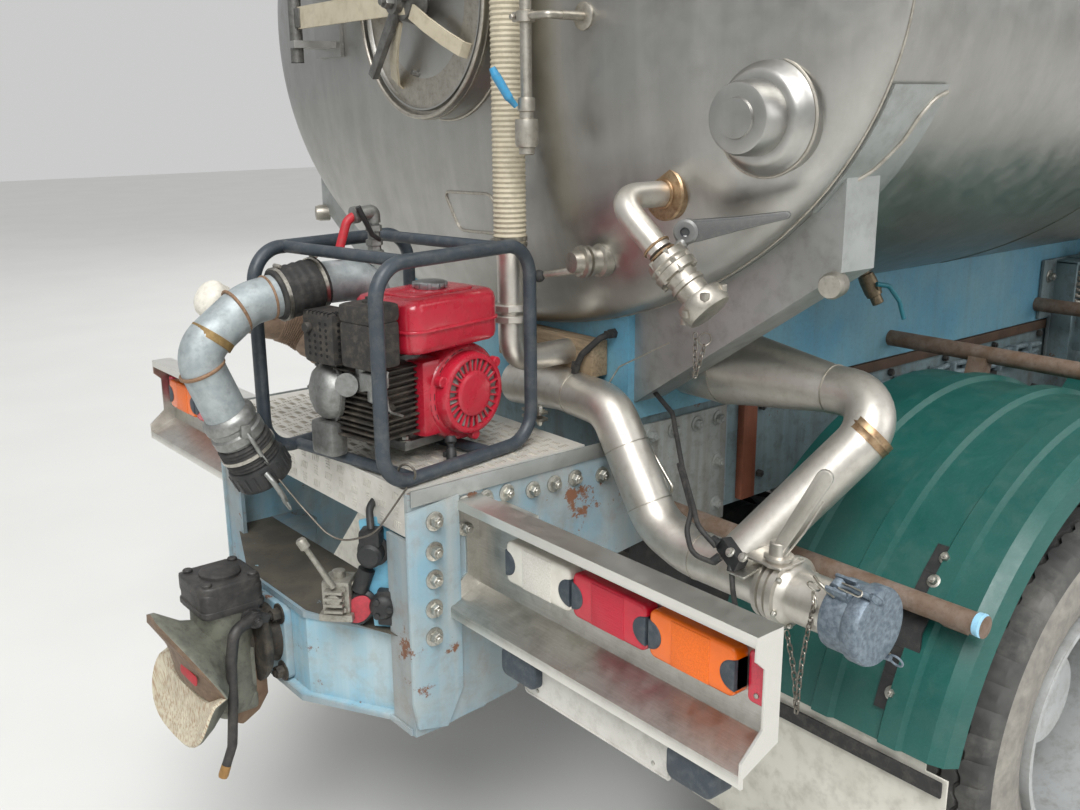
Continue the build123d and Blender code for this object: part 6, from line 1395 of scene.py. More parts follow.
for sweepY, sweepZ in ((0.11, -0.155), (-0.11, 0.06)):
    end = at(rimX - 0.058, sweepY, manZ + sweepZ)
    start = at(rimX - 0.05, sweepY * 0.08, manZ + sweepZ * 0.08)
    along = (end - start).normalized()
    across = along.cross(Vector((1, 0, 0))).normalized()
    outline = [start - across * 0.0135, end - across * 0.0115, end + across * 0.0115, start + across * 0.0135]
    addPrism(armSteel, [point - Vector((0.008, 0, 0)) for point in outline], (0.016, 0, 0), 0.003)
addBolt(armSteel, at(rimX - 0.068, 0, manZ), (-1, 0, 0), 0.03, stud=0.01)
addTube(armSteel, [at(rimX - 0.004, 0.03, 1.964), at(rimX + 0.014, 0.028, 1.958)], 0.006, 10)
finished("manway_wheel", armSteel, greyArm, body="manway_lid_body")
rim = bmesh.new()
addRing(rim, at(rimX, 0, manZ), (1, 0, 0), 0.245, 0.0055, 96, 10)
addTurned(rim, [(0.012, 0.2506), (0.012, 0.252), (0.02, 0.252), (0.02, 0.2506)], at(rimX, 0, manZ), (1, 0, 0),
    96)
finished("manway_rim", rim, castSteel)
ringWeld = bmesh.new()
path = []
for angle in around(72):
    y, z = manwaySet["weldRadius"] * math.cos(angle), manZ + manwaySet["weldRadius"] * math.sin(angle)
    path.append(Vector((headX(y, z) - 0.0015, y, z)))
addTube(ringWeld, path, 0.004, 8, closed=True)
finished("manway_weld", ringWeld, castSteel)

print("vent hose")
hoseSet = {"radius": 0.035, "rib": 0.0013, "pitch": 0.0105, "y": -0.291}
hoseY = hoseSet["y"]
hoseX = headX(hoseY, 2.06) - 0.046
hoseTrack = roundedPath([(hoseX, hoseY, 1.588), (hoseX, hoseY, 2.898), (tail + 0.734, hoseY, 2.898),
    (tail + 0.734, hoseY, 2.795)], [0.12, 0.07], 20)
fine = [hoseTrack[0]]
for a, b in zip(hoseTrack, hoseTrack[1:]):
    steps = max(1, round((b - a).length / (hoseSet["pitch"] / 4)))
    fine += [a.lerp(b, (i + 1) / steps) for i in range(steps)]
hose = bmesh.new()
travelled, radii = 0.0, []
for before, point in zip([fine[0]] + fine, fine):
    travelled += (point - before).length
    radii.append(hoseSet["radius"] + hoseSet["rib"] * math.cos(math.tau * travelled / hoseSet["pitch"]))
addTube(hose, fine, radii, 28)
finished("vent_hose_ribbed", hose, creamHose, replaces=["vent_hose"])
hoseSteel = bmesh.new()
addTurned(hoseSteel, [(-0.05, 0.0292), (-0.012, 0.03), (-0.006, 0.034), (0.004, 0.0345)],
    (hoseX, hoseY, 1.588), (0, 0, 1), 36)
lowTurn = roundedPath([(hoseX, hoseY, 1.592), (hoseX, hoseY, 1.342), (tail + 0.5, hoseY, 1.342)], 0.06, 8)
addTube(hoseSteel, lowTurn, 0.029, 28)
for z in (1.432, 1.456):
    addTurned(hoseSteel, [(0, 0.04), (0.002, 0.042), (0.014, 0.042), (0.016, 0.04)], (hoseX, hoseY, z),
        (0, 0, 1), 8)
finished("vent_foot_pipe", hoseSteel, pipeSteel)
hoseClips = bmesh.new()
for z in (1.596, 1.61):
    addTurned(hoseClips, [(0, 0.0365), (0, 0.0378), (0.008, 0.0378), (0.008, 0.0365)], (hoseX, hoseY, z),
        (0, 0, 1), 36)
addBlock(hoseClips, (hoseX - 0.048, hoseY - 0.01, 1.596), (hoseX - 0.034, hoseY + 0.01, 1.616), 0.003)
finished("vent_hose_clips", hoseClips, bandSteel)

print("level pipe")
levelX = headX(-0.33, 2.06) - 0.085
# Level valve grip: soft glossy blue dip
blueGrip = finish("blue dipped vinyl", "#2F7FA8", 0.0, 0.35, mottle=("#3E94BC", 20, 0.5),
    dirt=("#6E6F6A", 7, 0.4))
levelPipe = bmesh.new()
addTube(levelPipe, [(levelX, -0.4, 1.905), (levelX, -0.4, 2.42)], 0.0118, 20)
addTurned(levelPipe, [(0.0, 0.0165), (0.004, 0.0175), (0.026, 0.0175), (0.028, 0.014), (0.04, 0.014),
    (0.042, 0.0225), (0.048, 0.0235), (0.09, 0.0235), (0.096, 0.0205), (0.098, 0.016), (0.11, 0.016),
    (0.112, 0.0125)], (levelX, -0.4, 1.905), (0, 0, -1), 36)
for z in (2.058, 2.415):
    discX = headX(-0.47, z)
    addTurned(levelPipe, [(-0.0015, 0.0), (-0.0015, 0.027), (0.003, 0.027), (0.005, 0.024), (0.005, 0.009),
        (0.06, 0.009)], (discX, -0.467, z), (-1, 0, 0), 28)
    addTube(levelPipe, roundedPath([(discX - 0.055, -0.467, z), (levelX, -0.467, z), (levelX, -0.415, z)],
        0.01, 4), 0.008, 14)
    addTurned(levelPipe, [(-0.012, 0.0145), (-0.01, 0.0185), (0.01, 0.0185), (0.012, 0.0145)],
        (levelX, -0.4, z), (0, 0, 1), 24)
    addBlock(levelPipe, (levelX - 0.008, -0.392, z - 0.01), (levelX + 0.008, -0.366, z + 0.01), 0.003)
    addBolt(levelPipe, (levelX - 0.008, -0.374, z), (-1, 0, 0), 0.011, washer=False, stud=0.002)
finished("level_pipe", levelPipe, castSteel)
grip = bmesh.new()
gripPath = [(levelX - 0.02, -0.392, 1.888), (levelX - 0.035, -0.388, 1.905), (levelX - 0.055, -0.372, 1.948),
    (levelX - 0.06, -0.368, 1.962)]
addTube(grip, roundedPath(gripPath, 0.02, 5), [0.0055, 0.0075, 0.0085, 0.009, 0.009, 0.009, 0.009, 0.0095,
    0.0095, 0.0095, 0.009, 0.009, 0.0085, 0.007], 14)
finished("level_valve_lever", grip, blueGrip)

print("head fittings")
boss = bmesh.new()
bossCentre = Vector((headX(-0.88, 1.866), -0.88, 1.866))
bossAxis = Vector((-1, -0.1, 0.0)).normalized()
addTurned(boss, [(-0.03, 0.1), (-0.004, 0.101), (0.004, 0.103), (0.008, 0.1), (0.014, 0.095), (0.03, 0.086),
    (0.036, 0.078), (0.036, 0.066), (0.052, 0.0655), (0.082, 0.0635), (0.09, 0.06), (0.092, 0.054),
    (0.092, 0.036), (0.097, 0.034), (0.099, 0.0)], bossCentre, bossAxis, 56)
finished("head_boss", boss, tankSteel, replaces=["head_fittings"])
bossWeld = bmesh.new()
addRing(bossWeld, bossCentre + bossAxis * 0.004, bossAxis, 0.1035, 0.0032, 60, 8)
finished("boss_weld", bossWeld, castSteel)
plateRim = bmesh.new()
corners = [(0.058, 1.69), (-0.128, 1.694), (-0.158, 1.603), (0.022, 1.599)]
outline = []
for n in range(4):
    here, before, after = (Vector((*corners[i % 4], 0)) for i in (n, n - 1, n + 1))
    start, end = here + (before - here).normalized() * 0.022, here + (after - here).normalized() * 0.022
    for k in range(6):
        t = k / 5
        outline.append(start * (1 - t) ** 2 + here * 2 * t * (1 - t) + end * t * t)
track = []
for a, b in zip(outline, outline[1:] + outline[:1]):
    steps = max(1, round((b - a).length / 0.03))
    track += [a.lerp(b, i / steps) for i in range(steps)]
addTube(plateRim, [Vector((headX(p.x, p.y) - 0.0005, p.x, p.y)) for p in track], 0.0036, 8, closed=True)
finished("blank_plate_bead", plateRim, castSteel)
# Steel tinted straw and brown by the welding torch
heatTint = finish("heat tinted stainless", "#B9A183", 1.0, 0.42, mottle=("#8E6A48", 18, 0.7),
    dirt=("#5A4636", 8, 0.5), bump=(2.0, 0.3))

print("sample valve and hoses on the cross plate")
sample = bmesh.new()
samplePlace = Vector((headX(-0.455, 1.572), -0.455, 1.572))
addTurned(sample, [(-0.01, 0.036), (0.01, 0.036), (0.014, 0.028), (0.03, 0.026), (0.032, 0.033),
    (0.04, 0.033), (0.042, 0.026), (0.046, 0.026), (0.048, 0.034), (0.056, 0.034), (0.058, 0.024),
    (0.078, 0.022), (0.08, 0.0)], samplePlace, (-1, 0.12, 0), 36)
addTube(sample, trailFrom(samplePlace, (-0.05, 0.0, -0.012), (-0.075, 0.045, -0.024),
    (-0.086, 0.085, -0.032)), [0.011, 0.008, 0.007], 12)
addTurned(sample, [(-0.014, 0.013), (0.012, 0.013), (0.015, 0.009)],
    samplePlace + Vector((-0.055, 0.006, -0.014)), (0, -0.3, -1), 6)
finished("sample_valve", sample, castSteel)
sampleKnob = bmesh.new()
bmesh.ops.create_uvsphere(sampleKnob, u_segments=20, v_segments=12, radius=0.0135,
    matrix=Matrix.Translation(samplePlace + Vector((-0.092, 0.098, -0.036))))
stub = roundedPath(trail((0.48, -0.249, 1.347), (0.44, -0.24, 1.344), (0.425, -0.222, 1.29),
    (0.44, -0.215, 1.235)), 0.03, 6)
addTube(sampleKnob, stub, 0.0095, 14)
addTurned(sampleKnob, [(0, 0.016), (0.006, 0.016), (0.01, 0.011)], at(0.478, -0.249, 1.347), (-1, 0, 0), 20)
finished("sample_knob_and_hose", sampleKnob, rubber)

print("upper outlet")
outletX = headX(-0.65, 1.722)
outletFlange = bmesh.new()
addTurned(outletFlange, [(-0.02, 0.052), (0.002, 0.053), (0.006, 0.05), (0.007, 0.03), (0.011, 0.028)],
    (outletX, -0.65, 1.722), (-1, 0, 0), 44)
addRing(outletFlange, (outletX - 0.008, -0.65, 1.722), (1, 0, 0), 0.0275, 0.0032, 36, 8)
finished("outlet_flange", outletFlange, heatTint, replaces=["upper_outlet"])
outletPipe = bmesh.new()
elbowX = outletX - 0.13
valveFrom, valveTo = Vector((outletX - 0.105, -0.745, 1.627)), Vector((outletX - 0.08, -0.84, 1.532))
outletTrack = roundedPath([(outletX, -0.65, 1.722), (elbowX, -0.65, 1.722), tuple(valveFrom)], 0.055, 14)
addTube(outletPipe, outletTrack, 0.0252, 28)
finished("outlet_pipe", outletPipe, pipeSteel)
valveRun = (valveTo - valveFrom).normalized()
outletWelds = bmesh.new()
for along in (-0.012, 0.008):
    addRing(outletWelds, valveFrom + valveRun * along, valveRun, 0.0262, 0.0028, 32, 8)
finished("outlet_welds", outletWelds, heatTint)
outletValve = bmesh.new()
addTurned(outletValve, [(0.014, 0.026), (0.016, 0.04), (0.03, 0.0425), (0.034, 0.038), (0.04, 0.038),
    (0.043, 0.0425), (0.058, 0.0405), (0.06, 0.031), (0.07, 0.029), (0.076, 0.029), (0.078, 0.034),
    (0.086, 0.034), (0.088, 0.03), (0.11, 0.03), (0.112, 0.044), (0.118, 0.047), (0.14, 0.047),
    (0.148, 0.043), (0.15, 0.036), (0.15, 0.0)], valveFrom, valveRun, 44)
for angle in around(6):
    side = valveRun.orthogonal().normalized()
    out = side * math.cos(angle) + valveRun.cross(side) * math.sin(angle)
    addTurned(outletValve, [(0, 0.006), (0.05, 0.006)], valveFrom + valveRun * 0.012 + out * 0.036, valveRun,
        6)
    addBox(outletValve, valveFrom + valveRun * 0.129 + out * 0.047, (0.007, 0.007, 0.007), 0.003)
finished("outlet_valve", outletValve, castSteel)
# Outlet lever: nearly black, its edges rubbed to metal
leverAlloy = finish("dark anodised lever", "#4C4E50", 0.6, 0.45, mottle=("#3A3B3C", 12, 0.5),
    dirt=("#7C776C", 9, 0.4), edge=("#9B9B98", 0.6))
outletLever = bmesh.new()
hub = valveFrom + valveRun * 0.036 + Vector((0.03, -0.006, 0.062))
tip = hub + Vector((0.09, -0.165, 0.036))
run = (tip - hub).normalized()
rise = (Vector((0, 0, 1)) - run * run.z).normalized()
thin = run.cross(rise)
outline = [hub + run * a + rise * b for a, b in ((-0.012, -0.021), (0.02, -0.0215), (0.1, -0.013),
    (0.187, -0.006), (0.193, 0.002), (0.186, 0.008), (0.1, 0.012), (0.02, 0.0195), (-0.012, 0.02))]
addPrism(outletLever, [point - thin * 0.0085 for point in outline], thin * 0.017, 0.004)
addTurned(outletLever, [(-0.016, 0.019), (-0.014, 0.0235), (0.01, 0.0235), (0.014, 0.019), (0.0145, 0.009),
    (0.01, 0.008), (0.01, 0.0)], hub, -thin if thin.y > 0 else thin, 32)
addTube(outletLever, [hub - Vector((0, 0, 0.01)), valveFrom + valveRun * 0.036 + Vector((0.012, 0, 0.03))],
    0.011, 14)
finished("outlet_lever", outletLever, leverAlloy)
outletChain = bmesh.new()
capEnd = valveFrom + valveRun * 0.13
addRing(outletChain, capEnd + Vector((-0.01, -0.014, -0.06)), (0.5, 1, 0), 0.012, 0.0018, 20)
addChain(outletChain, trailFrom(capEnd, (-0.012, -0.016, -0.07), (-0.018, 0.0, -0.13), (0.0, 0.018, -0.118),
    (0.012, 0.03, -0.055)), 0.014, 0.009, 0.0013)
finished("outlet_chain", outletChain, chainSteel)

print("tank seams and saddles")
seams = bmesh.new()
seamSet = {"rows": ((0.476, 0.003), (1.72, 0.0024), (2.97, 0.0024), (4.22, 0.0024), (5.448, 0.003)),
    "lift": 0.0002}
seamY, seamZ = tankSet["halfWidth"] + seamSet["lift"], tankSet["halfHeight"] + seamSet["lift"]
for x, wire in seamSet["rows"]:
    track = [at(x, seamY * math.cos(angle), tankSet["z"] + seamZ * math.sin(angle)) for angle in around(120)]
    addTube(seams, track, wire, 6, closed=True)
finished("tank_weld_seams", seams, castSteel)
knobs = bmesh.new()
for side in (-1, 1):
    addTurned(knobs, [(0.0, 0.025), (0.03, 0.025), (0.042, 0.021), (0.045, 0.0)],
        at(0.51, side * 0.96, 1.567), (-1, side * 0.35, 0), 28)
finished("wing_end_knobs", knobs, castSteel)
tapBall = bmesh.new()
tapPlace = at(1.217, -0.55, 1.441)
addTurned(tapBall, [(-0.05, 0.013), (-0.03, 0.013), (-0.028, 0.02), (-0.012, 0.022), (0.016, 0.022),
    (0.03, 0.02), (0.032, 0.015), (0.052, 0.015), (0.054, 0.011)], tapPlace, (0.25, -0.45, -1), 24)
addTurned(tapBall, [(0.0, 0.01), (0.03, 0.01)], tapPlace, (0, -1, 0), 14)
finished("drain_valve", tapBall, finish("tarnished bronze", "#8D7E68", 0.9, 0.45, mottle=("#6F6453", 14, 0.6),
    dirt=("#3E352A", 8, 0.5), bump=(1.5, 0.3)))
tapLever = bmesh.new()
addTube(tapLever, roundedPath(trailFrom(tapPlace, (-0.01, -0.026, 0.006), (0.024, -0.04, 0.0),
    (0.045, -0.06, -0.04), (0.055, -0.07, -0.085)), 0.02), 0.0062, 12)
finished("drain_valve_lever", tapLever, finish("teal dipped vinyl", "#2A7C8C", 0.0, 0.4,
    mottle=("#3A93A2", 20, 0.5), dirt=("#55605F", 7, 0.4)))

print("frame side and pipes")
staySet = {"reach": 0.797, "capY": 1.264, "rows": ((1.25, 144.7), (1.25, 72.0), (2.55, 108.0), (2.55, 44.0))}
stayEnds = bmesh.new()
for axle, degrees in staySet["rows"]:
    for side in (-1, 1):
        reach = spoke(math.radians(degrees)) * staySet["reach"]
        place = at(axle, side * staySet["capY"], axleSet["z"]) + reach
        addTurned(stayEnds, [(-0.012, 0.0225), (0.0, 0.0235), (0.0005, 0.022), (0.0008, 0.0)], place,
            (0, side, 0), 28)
finished("stay_end_caps", stayEnds, paleBlue)
pipeWelds, tintBand = bmesh.new(), bmesh.new()
ringRows = [  # centre, axis, radius
    (at(0.42, -0.5, 1.16), (0, -0.55, -0.83), 0.0512), (at(0.42, -0.575, 1.047), (0, -0.55, -0.83), 0.0512),
    (at(0.42, -0.33, 1.249), (0, -1, -0.05), 0.0512), (at(0.692, -0.56, 1.312), (0, -1, 0), 0.0885),
    (at(0.692, -0.84, 1.312), (0, -1, 0), 0.0518), (at(0.42, -0.735, 0.976), (0, -1, 0), 0.0512),
]
for centre, axis, radius in ringRows:
    addRing(pipeWelds, centre, axis, radius, 0.0014, 48, 6)
lastAxis = (at(0.425, -0.825, 0.994) - at(0.692, -1.0, 1.312)).normalized()
tintPlace = at(0.692, -1.0, 1.312) + lastAxis * 0.088
addTurned(tintBand, [(-0.014, 0.0505), (-0.014, 0.0514), (-0.003, 0.0514), (0.0, 0.0528), (0.003, 0.0514),
    (0.014, 0.0514), (0.014, 0.0505)], tintPlace, lastAxis, 48)
finished("pipe_welds", pipeWelds, castSteel)
finished("pipe_heat_band", tintBand, heatTint)
padEdges = bmesh.new()
padLift = 0.0075  # the pads' thickness on the tank, with the weld's root
padPoints = [(0.5, -1.0, 1.722), (0.56, -1.02, 1.76), (0.59, -1.052, 1.815), (0.598, -1.075, 1.862),
    (0.618, -1.088, 1.893), (0.648, -1.094, 1.902)]
for side in (-1, 1):
    track = []
    for x, y, z in padPoints:
        rise = z - tankSet["z"]
        scale = 1 / math.hypot(y / (tankSet["halfWidth"] + padLift), rise / (tankSet["halfHeight"] + padLift))
        track.append(at(x, -side * y * scale, tankSet["z"] + rise * scale))
    addTube(padEdges, roundedPath(track, 0.05, 4), 0.0042, 8)
finished("wear_pad_edges", padEdges, castSteel)
uprights = bmesh.new()
for side in (-1, 1):
    addSideBlock(uprights, side, (0.868, 0.92), (frameSet["railY"], frameSet["outerY"]), (0.915, 1.19), 0.004)
finished("frame_uprights", uprights, finish("rust red primer", "#7A4632", 0.1, 0.65,
    mottle=("#93583D", 40, 0.6), streaks=("#4E2F22", 12, 0.5, 2), dirt=("#3F3129", 20, 0.4)))
hangers, hangerBolts, springs = bmesh.new(), bmesh.new(), bmesh.new()
for sign in (-1, 1):
    addSideBlock(hangers, sign, (2.31, 2.62), (frameSet["sheetY"], frameSet["outerY"]), (1.2, 1.392), 0.004)
    addSideBlock(hangers, sign, (2.385, 2.575), (frameSet["sheetY"], frameSet["outerY"]), (1.05, 1.215),
        0.004)
    for x in (2.395, 2.575):
        addSideBlock(hangers, sign, (x - 0.006, x + 0.006), (0.45, 0.52), (1.06, 1.385), 0.003)
    addSideBlock(hangers, sign, (2.389, 2.581), (0.45, 0.522), (1.375, 1.387), 0.003)
    for z in (1.239, 1.337):
        for x in (2.35, 2.6):
            addBolt(hangerBolts, at(x, sign * frameSet["outerY"], z), (0, sign, 0), 0.024)
    addBolt(hangerBolts, at(2.485, sign * 0.49, 1.387), (0, 0, 1), 0.03, stud=0.03)
    for n in range(7):
        addRing(springs, at(2.485, sign * 0.488, 1.225 + 0.019 * n), (0.06, 0, 1), 0.026, 0.0055, 24, 8)
finished("tank_mount_brackets", hangers, railDirt)
finished("tank_mount_bolts", hangerBolts, boltZinc)
finished("tank_mount_springs", springs, castSteel)
loom = bmesh.new()
for sign in (-1, 1):
    for z, phase in ((1.118, 0.0), (1.098, 1.6), (1.078, 3.0)):
        track = [at(1.3 + 0.045 * n, sign * (0.446 + 0.006 * math.sin(n * 0.9 + phase)),
            z + 0.004 * math.sin(n * 0.7 + phase)) for n in range(24)]
        addTube(loom, track, 0.0085, 8)
    for n in range(11):
        centre = at(1.36 + 0.09 * n, sign * 0.447, 1.098)
        addBlock(loom, centre - Vector((0.006, 0.018, 0.034)), centre + Vector((0.006, 0.014, 0.034)), 0.004)
finished("frame_hose_loom", loom, finish("dusty blue grey hose", "#6E7F86", 0.1, 0.6,
    mottle=("#93A2A6", 12, 0.6), dirt=("#3F3D39", 9, 0.6)))
# A dark brown strip along the top of each rail, under the subframe panel: rust, and painted shade of the
# panel above
edges = bmesh.new()
for sign in (-1, 1):
    addSideBlock(edges, sign, (0.93, 5.6), (frameSet["railY"], 0.4395), (1.16, 1.19), 0.002)
finished("rail_top_edges", edges, finish("rusted flange edge", "#4A3B31", 0.2, 0.7,
    mottle=("#6E5646", 60, 0.7), dirt=("#2E2722", 30, 0.5)))
keeper = bmesh.new()
addTube(keeper, roundedPath(trail((0.47, -0.462, 1.196), (0.475, -0.48, 1.19), (0.475, -0.592, 1.076),
    (0.47, -0.578, 1.052)), 0.012), 0.0036, 10)
addTube(keeper, trail((0.445, -0.392, 1.256), (0.44, -0.452, 1.33), (0.452, -0.592, 1.405)), 0.0018, 6)
finished("pipe_keeper_rod", keeper, clipWire)
timber = bmesh.new()
addBlock(timber, at(0.428, -0.374, 1.291), at(0.4765, -0.025, 1.374), 0.004)
addBlock(timber, at(0.4265, -0.3, 1.33), at(0.429, -0.12, 1.336), 0.001)
finished("pipe_timber_block", timber, finish("weathered timber", "#8C785E", 0.0, 0.85,
    mottle=("#A8987E", 60, 0.6), streaks=("#5D4C39", 8, 0.7, 1), dirt=("#4D4134", 30, 0.5), bump=(3.0, 0.6)))
stub = bmesh.new()
addTube(stub, roundedPath(trail((0.4765, -0.395, 1.392), (0.44, -0.39, 1.386), (0.415, -0.355, 1.345),
    (0.41, -0.335, 1.305)), 0.02), 0.0075, 12)
for place, axis in ((at(0.476, -0.395, 1.392), (-1, 0, 0)), (at(0.411, -0.34, 1.322), (0.1, 0.3, -1))):
    addTurned(stub, [(-0.001, 0.012), (0.012, 0.012), (0.013, 0.01), (0.024, 0.01)], place, axis, 6)
finished("drain_hose_stub", stub, rubber)
lug, lugBolts = bmesh.new(), bmesh.new()
addBlock(lug, at(0.33, -0.306, 1.19), at(0.356, -0.24, 1.197), 0.001)
addBlock(lug, at(0.33, -0.306, 1.206), at(0.356, -0.24, 1.213), 0.001)
for y in (-0.292, -0.256):
    addBolt(lugBolts, at(0.343, y, 1.213), (0, 0, 1), 0.013)
    addBolt(lugBolts, at(0.343, y, 1.19), (0, 0, -1), 0.013)
finished("pipe_clamp_lug", lug, castSteel)
finished("pipe_clamp_bolts", lugBolts, boltZinc)
deckEdge = bmesh.new()
for sign in (-1, 1):
    addSideBlock(deckEdge, sign, (-0.108, 0.46), (frameSet["sheetY"], 0.445), (1.128, 1.1615), 0.0015)
finished("deck_edge_angles", deckEdge, sheetSteel)
lipTreads = bmesh.new()
for column in range(15):
    for row in range(3):
        for bar in range(4):
            y, z = -0.392 + 0.056 * column, 1.078 + 0.03 * row
            across = (bar - 1.5) * 0.0078
            flat = (column + row) % 2
            place = at(-0.1102, y + (0 if flat else across), z + (across * 0.8 if flat else 0))
            turn = Matrix.Rotation(math.radians(90 if flat else 20), 4, "X")
            addBox(lipTreads, place, (0.001, 0.0017, 0.0085), 0.0006, turn)
finished("deck_lip_treads", lipTreads, chequer)

print("tyres")
tyreSet = {"radius": 0.5, "bead": 0.286, "blocks": 54, "groove": 0.012, "crownHalf": 0.112}
# Shoulders scrubbed by the road, pale with dry mud
wearCream = finish("scrubbed tyre shoulder", "#8E8A82", 0.0, 0.85, mottle=("#6B6864", 30, 0.6),
    dirt=("#B4AFA3", 70, 0.5), bump=(2.2, 0.4))
# Name, body, X, side and the places of its tyres
wheelRows = []
for axle in ("rear", "middle", "front"):
    for label, side in (("left", 1), ("right", -1)):
        body = f"front_wheel_{label}_body" if axle == "front" else f"wheels_{axle}_{label}"
        places = (1.03,) if axle == "front" else (1.095, 0.785)
        wheelRows.append((f"{axle}_{label}", body, axleSet[axle], side, places))


def addTyre(shape, centre):
    # Carcass with ribs, cut by zigzag grooves and shoulder lugs; the second material is the dusty side
    outer, bead = tyreSet["radius"], tyreSet["bead"]
    wall = [(0.086, bead), (0.1, bead + 0.008), (0.108, bead + 0.03), (0.11, bead + 0.036),
        (0.12, bead + 0.05), (0.13, bead + 0.085), (0.135, bead + 0.115), (0.1345, bead + 0.14),
        (0.131, bead + 0.158), (0.1325, bead + 0.16), (0.129, bead + 0.178), (0.124, outer - 0.02),
        (0.119, outer - 0.01)]
    count = tyreSet["blocks"] * 4
    crown = [(tyreSet["crownHalf"], outer - 0.004)]
    for groove in (0.066, 0.022, -0.022, -0.066):
        for shift, depth in ((0.0055, 0), (0.0035, tyreSet["groove"]), (-0.0035, tyreSet["groove"]),
                (-0.0055, 0)):
            crown.append((groove + shift, outer - 0.0005 - depth))
    crown.append((-tyreSet["crownHalf"], outer - 0.004))
    rows = wall + crown + [(-y, r) for y, r in wall[::-1]]
    rings = []
    for y, r in rows:
        ring = []
        shoulder = abs(y) >= tyreSet["crownHalf"] and r > outer - 0.032
        for i in range(count):
            angle = math.tau * i / count
            phase = i % 4
            zig = 0.0
            if abs(y) < 0.09:
                zig = 0.005 if phase < 2 else -0.005
            radius = r - 0.01 if shoulder and phase == 3 else r
            place = (centre[0] + radius * math.cos(angle), centre[1] + y + zig,
                centre[2] + radius * math.sin(angle))
            ring.append(shape.verts.new(place))
        rings.append(ring)
    for index, (first, second) in enumerate(zip(rings, rings[1:])):
        dusty = index < len(wall) - 3 or index > len(rows) - len(wall) + 1
        for i in range(count):
            j = (i + 1) % count
            face = shape.faces.new((first[i], first[j], second[j], second[i]))
            face.material_index = 1 if dusty else 0


for name, body, x, side, places in wheelRows:
    tyre = bmesh.new()
    for y in places:
        addTyre(tyre, (x, side * y, axleSet["z"]))
    node = f"tyres_{name}" if len(places) > 1 else f"tyre_{name}"
    finished(node + "_tread", tyre, [tyreRubber, wearCream], body=body, replaces=[node], sharp=30)

print("wheels")
wheelSet = {"nuts": 10, "nutCircle": 0.1675, "capBolts": 8, "capCircle": 0.082, "capDish": 0.01, "holes": 10,
    "holeCircle": 0.218, "dualPlane": 0.948, "singlePlane": 1.09, "lipRadius": 0.2815, "lipReach": 0.114}
# Wheel nuts: dull zinc, rust in their corners
nutSteel = finish("zinc wheel nut", "#A9ABA8", 0.9, 0.4, mottle=("#7E7F7B", 9, 0.5), dirt=("#6B5140", 8, 0.4))
# The hand holes look through to darkness
darkHole = finish("shaded wheel opening", "#1B1B1B", 0.0, 0.9, mottle=("#252422", 20, 0.5))


def addWheelFace(shape, x, plane, outward):
    # Nuts on studs and the flange bolts of the hub cap
    out = Vector((0, outward, 0))
    centre = Vector((x, plane, axleSet["z"]))
    for angle in around(wheelSet["nuts"], 0.5):
        addBolt(shape, centre + spoke(angle) * wheelSet["nutCircle"], out, 0.032, stud=0.016)
    for angle in around(wheelSet["capBolts"]):
        where = centre + out * wheelSet["capDish"] + spoke(angle) * wheelSet["capCircle"]
        addBolt(shape, where, out, 0.018, washer=False, stud=0.003)


def addOpenings(shape, x, plane, outward):
    # Oval hand holes, wider round the wheel than across the dish
    for angle in around(wheelSet["holes"]):
        radial = spoke(angle)
        centre = Vector((x, plane, axleSet["z"])) + radial * wheelSet["holeCircle"]
        along = Vector((-math.sin(angle), 0, math.cos(angle)))
        outline = [centre + along * math.cos(turn) * 0.034 + radial * math.sin(turn) * 0.0255
            for turn in around(20)]
        addPrism(shape, outline, (0, outward * 0.0016, 0))


for name, body, x, side, places in wheelRows:
    plane = side * (wheelSet["dualPlane"] if len(places) > 1 else wheelSet["singlePlane"])
    nuts = bmesh.new()
    addWheelFace(nuts, x, plane, side)
    finished("wheel_nuts_" + name, nuts, nutSteel, body=body)
    openings = bmesh.new()
    addOpenings(openings, x, plane, side)
    finished("wheel_openings_" + name, openings, darkHole, body=body)
    rimLip = bmesh.new()
    lipPlace = (x, side * (places[0] + wheelSet["lipReach"]), axleSet["z"])
    addRing(rimLip, lipPlace, (0, 1, 0), wheelSet["lipRadius"], 0.0045, 96, 8)
    finished("rim_lip_" + name, rimLip, wheelEnamel, body=body)

print("cab trim")
cabSet = {"faceX": 4.14, "cowlZ": 1.79, "half": 1.2, "corner": 0.15, "lean": 0.1724}
# Glazing rubber: dead black with dust in the lip
softSeal = finish("black glazing rubber", "#191919", 0.0, 0.6, mottle=("#262625", 18, 0.5),
    dirt=("#4E4A44", 12, 0.2), bump=(1.2, 0.2))
# Mirror faces: bright and cold
mirrorGlass = finish("silvered mirror glass", "#DADDDE", 1.0, 0.05, mottle=("#CDD0D2", 200, 0.3))
# Headlamp lens: clear with a ripple of flutes
clearLens = finish("fluted clear lens", "#F2F4F5", 0.0, 0.06, mottle=("#E4E8EA", 9, 0.4), coat=0.5,
    through=0.9)
# Front plate left bare: clean off white
plateWhite = finish("bare white plate enamel", "#E6E5DE", 0.0, 0.4, mottle=("#D8D6CD", 60, 0.4),
    dirt=("#9A958A", 20, 0.15))
door = {"low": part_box("door_glass_left")[0], "high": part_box("door_glass_left")[1]}


def faceX(y, z):
    over = max(abs(y) - (cabSet["half"] - cabSet["corner"]), 0.0)
    back = cabSet["corner"] - math.sqrt(max(cabSet["corner"] ** 2 - over**2, 0.0))
    return cabSet["faceX"] - max(z - cabSet["cowlZ"], 0.0) * cabSet["lean"] - back


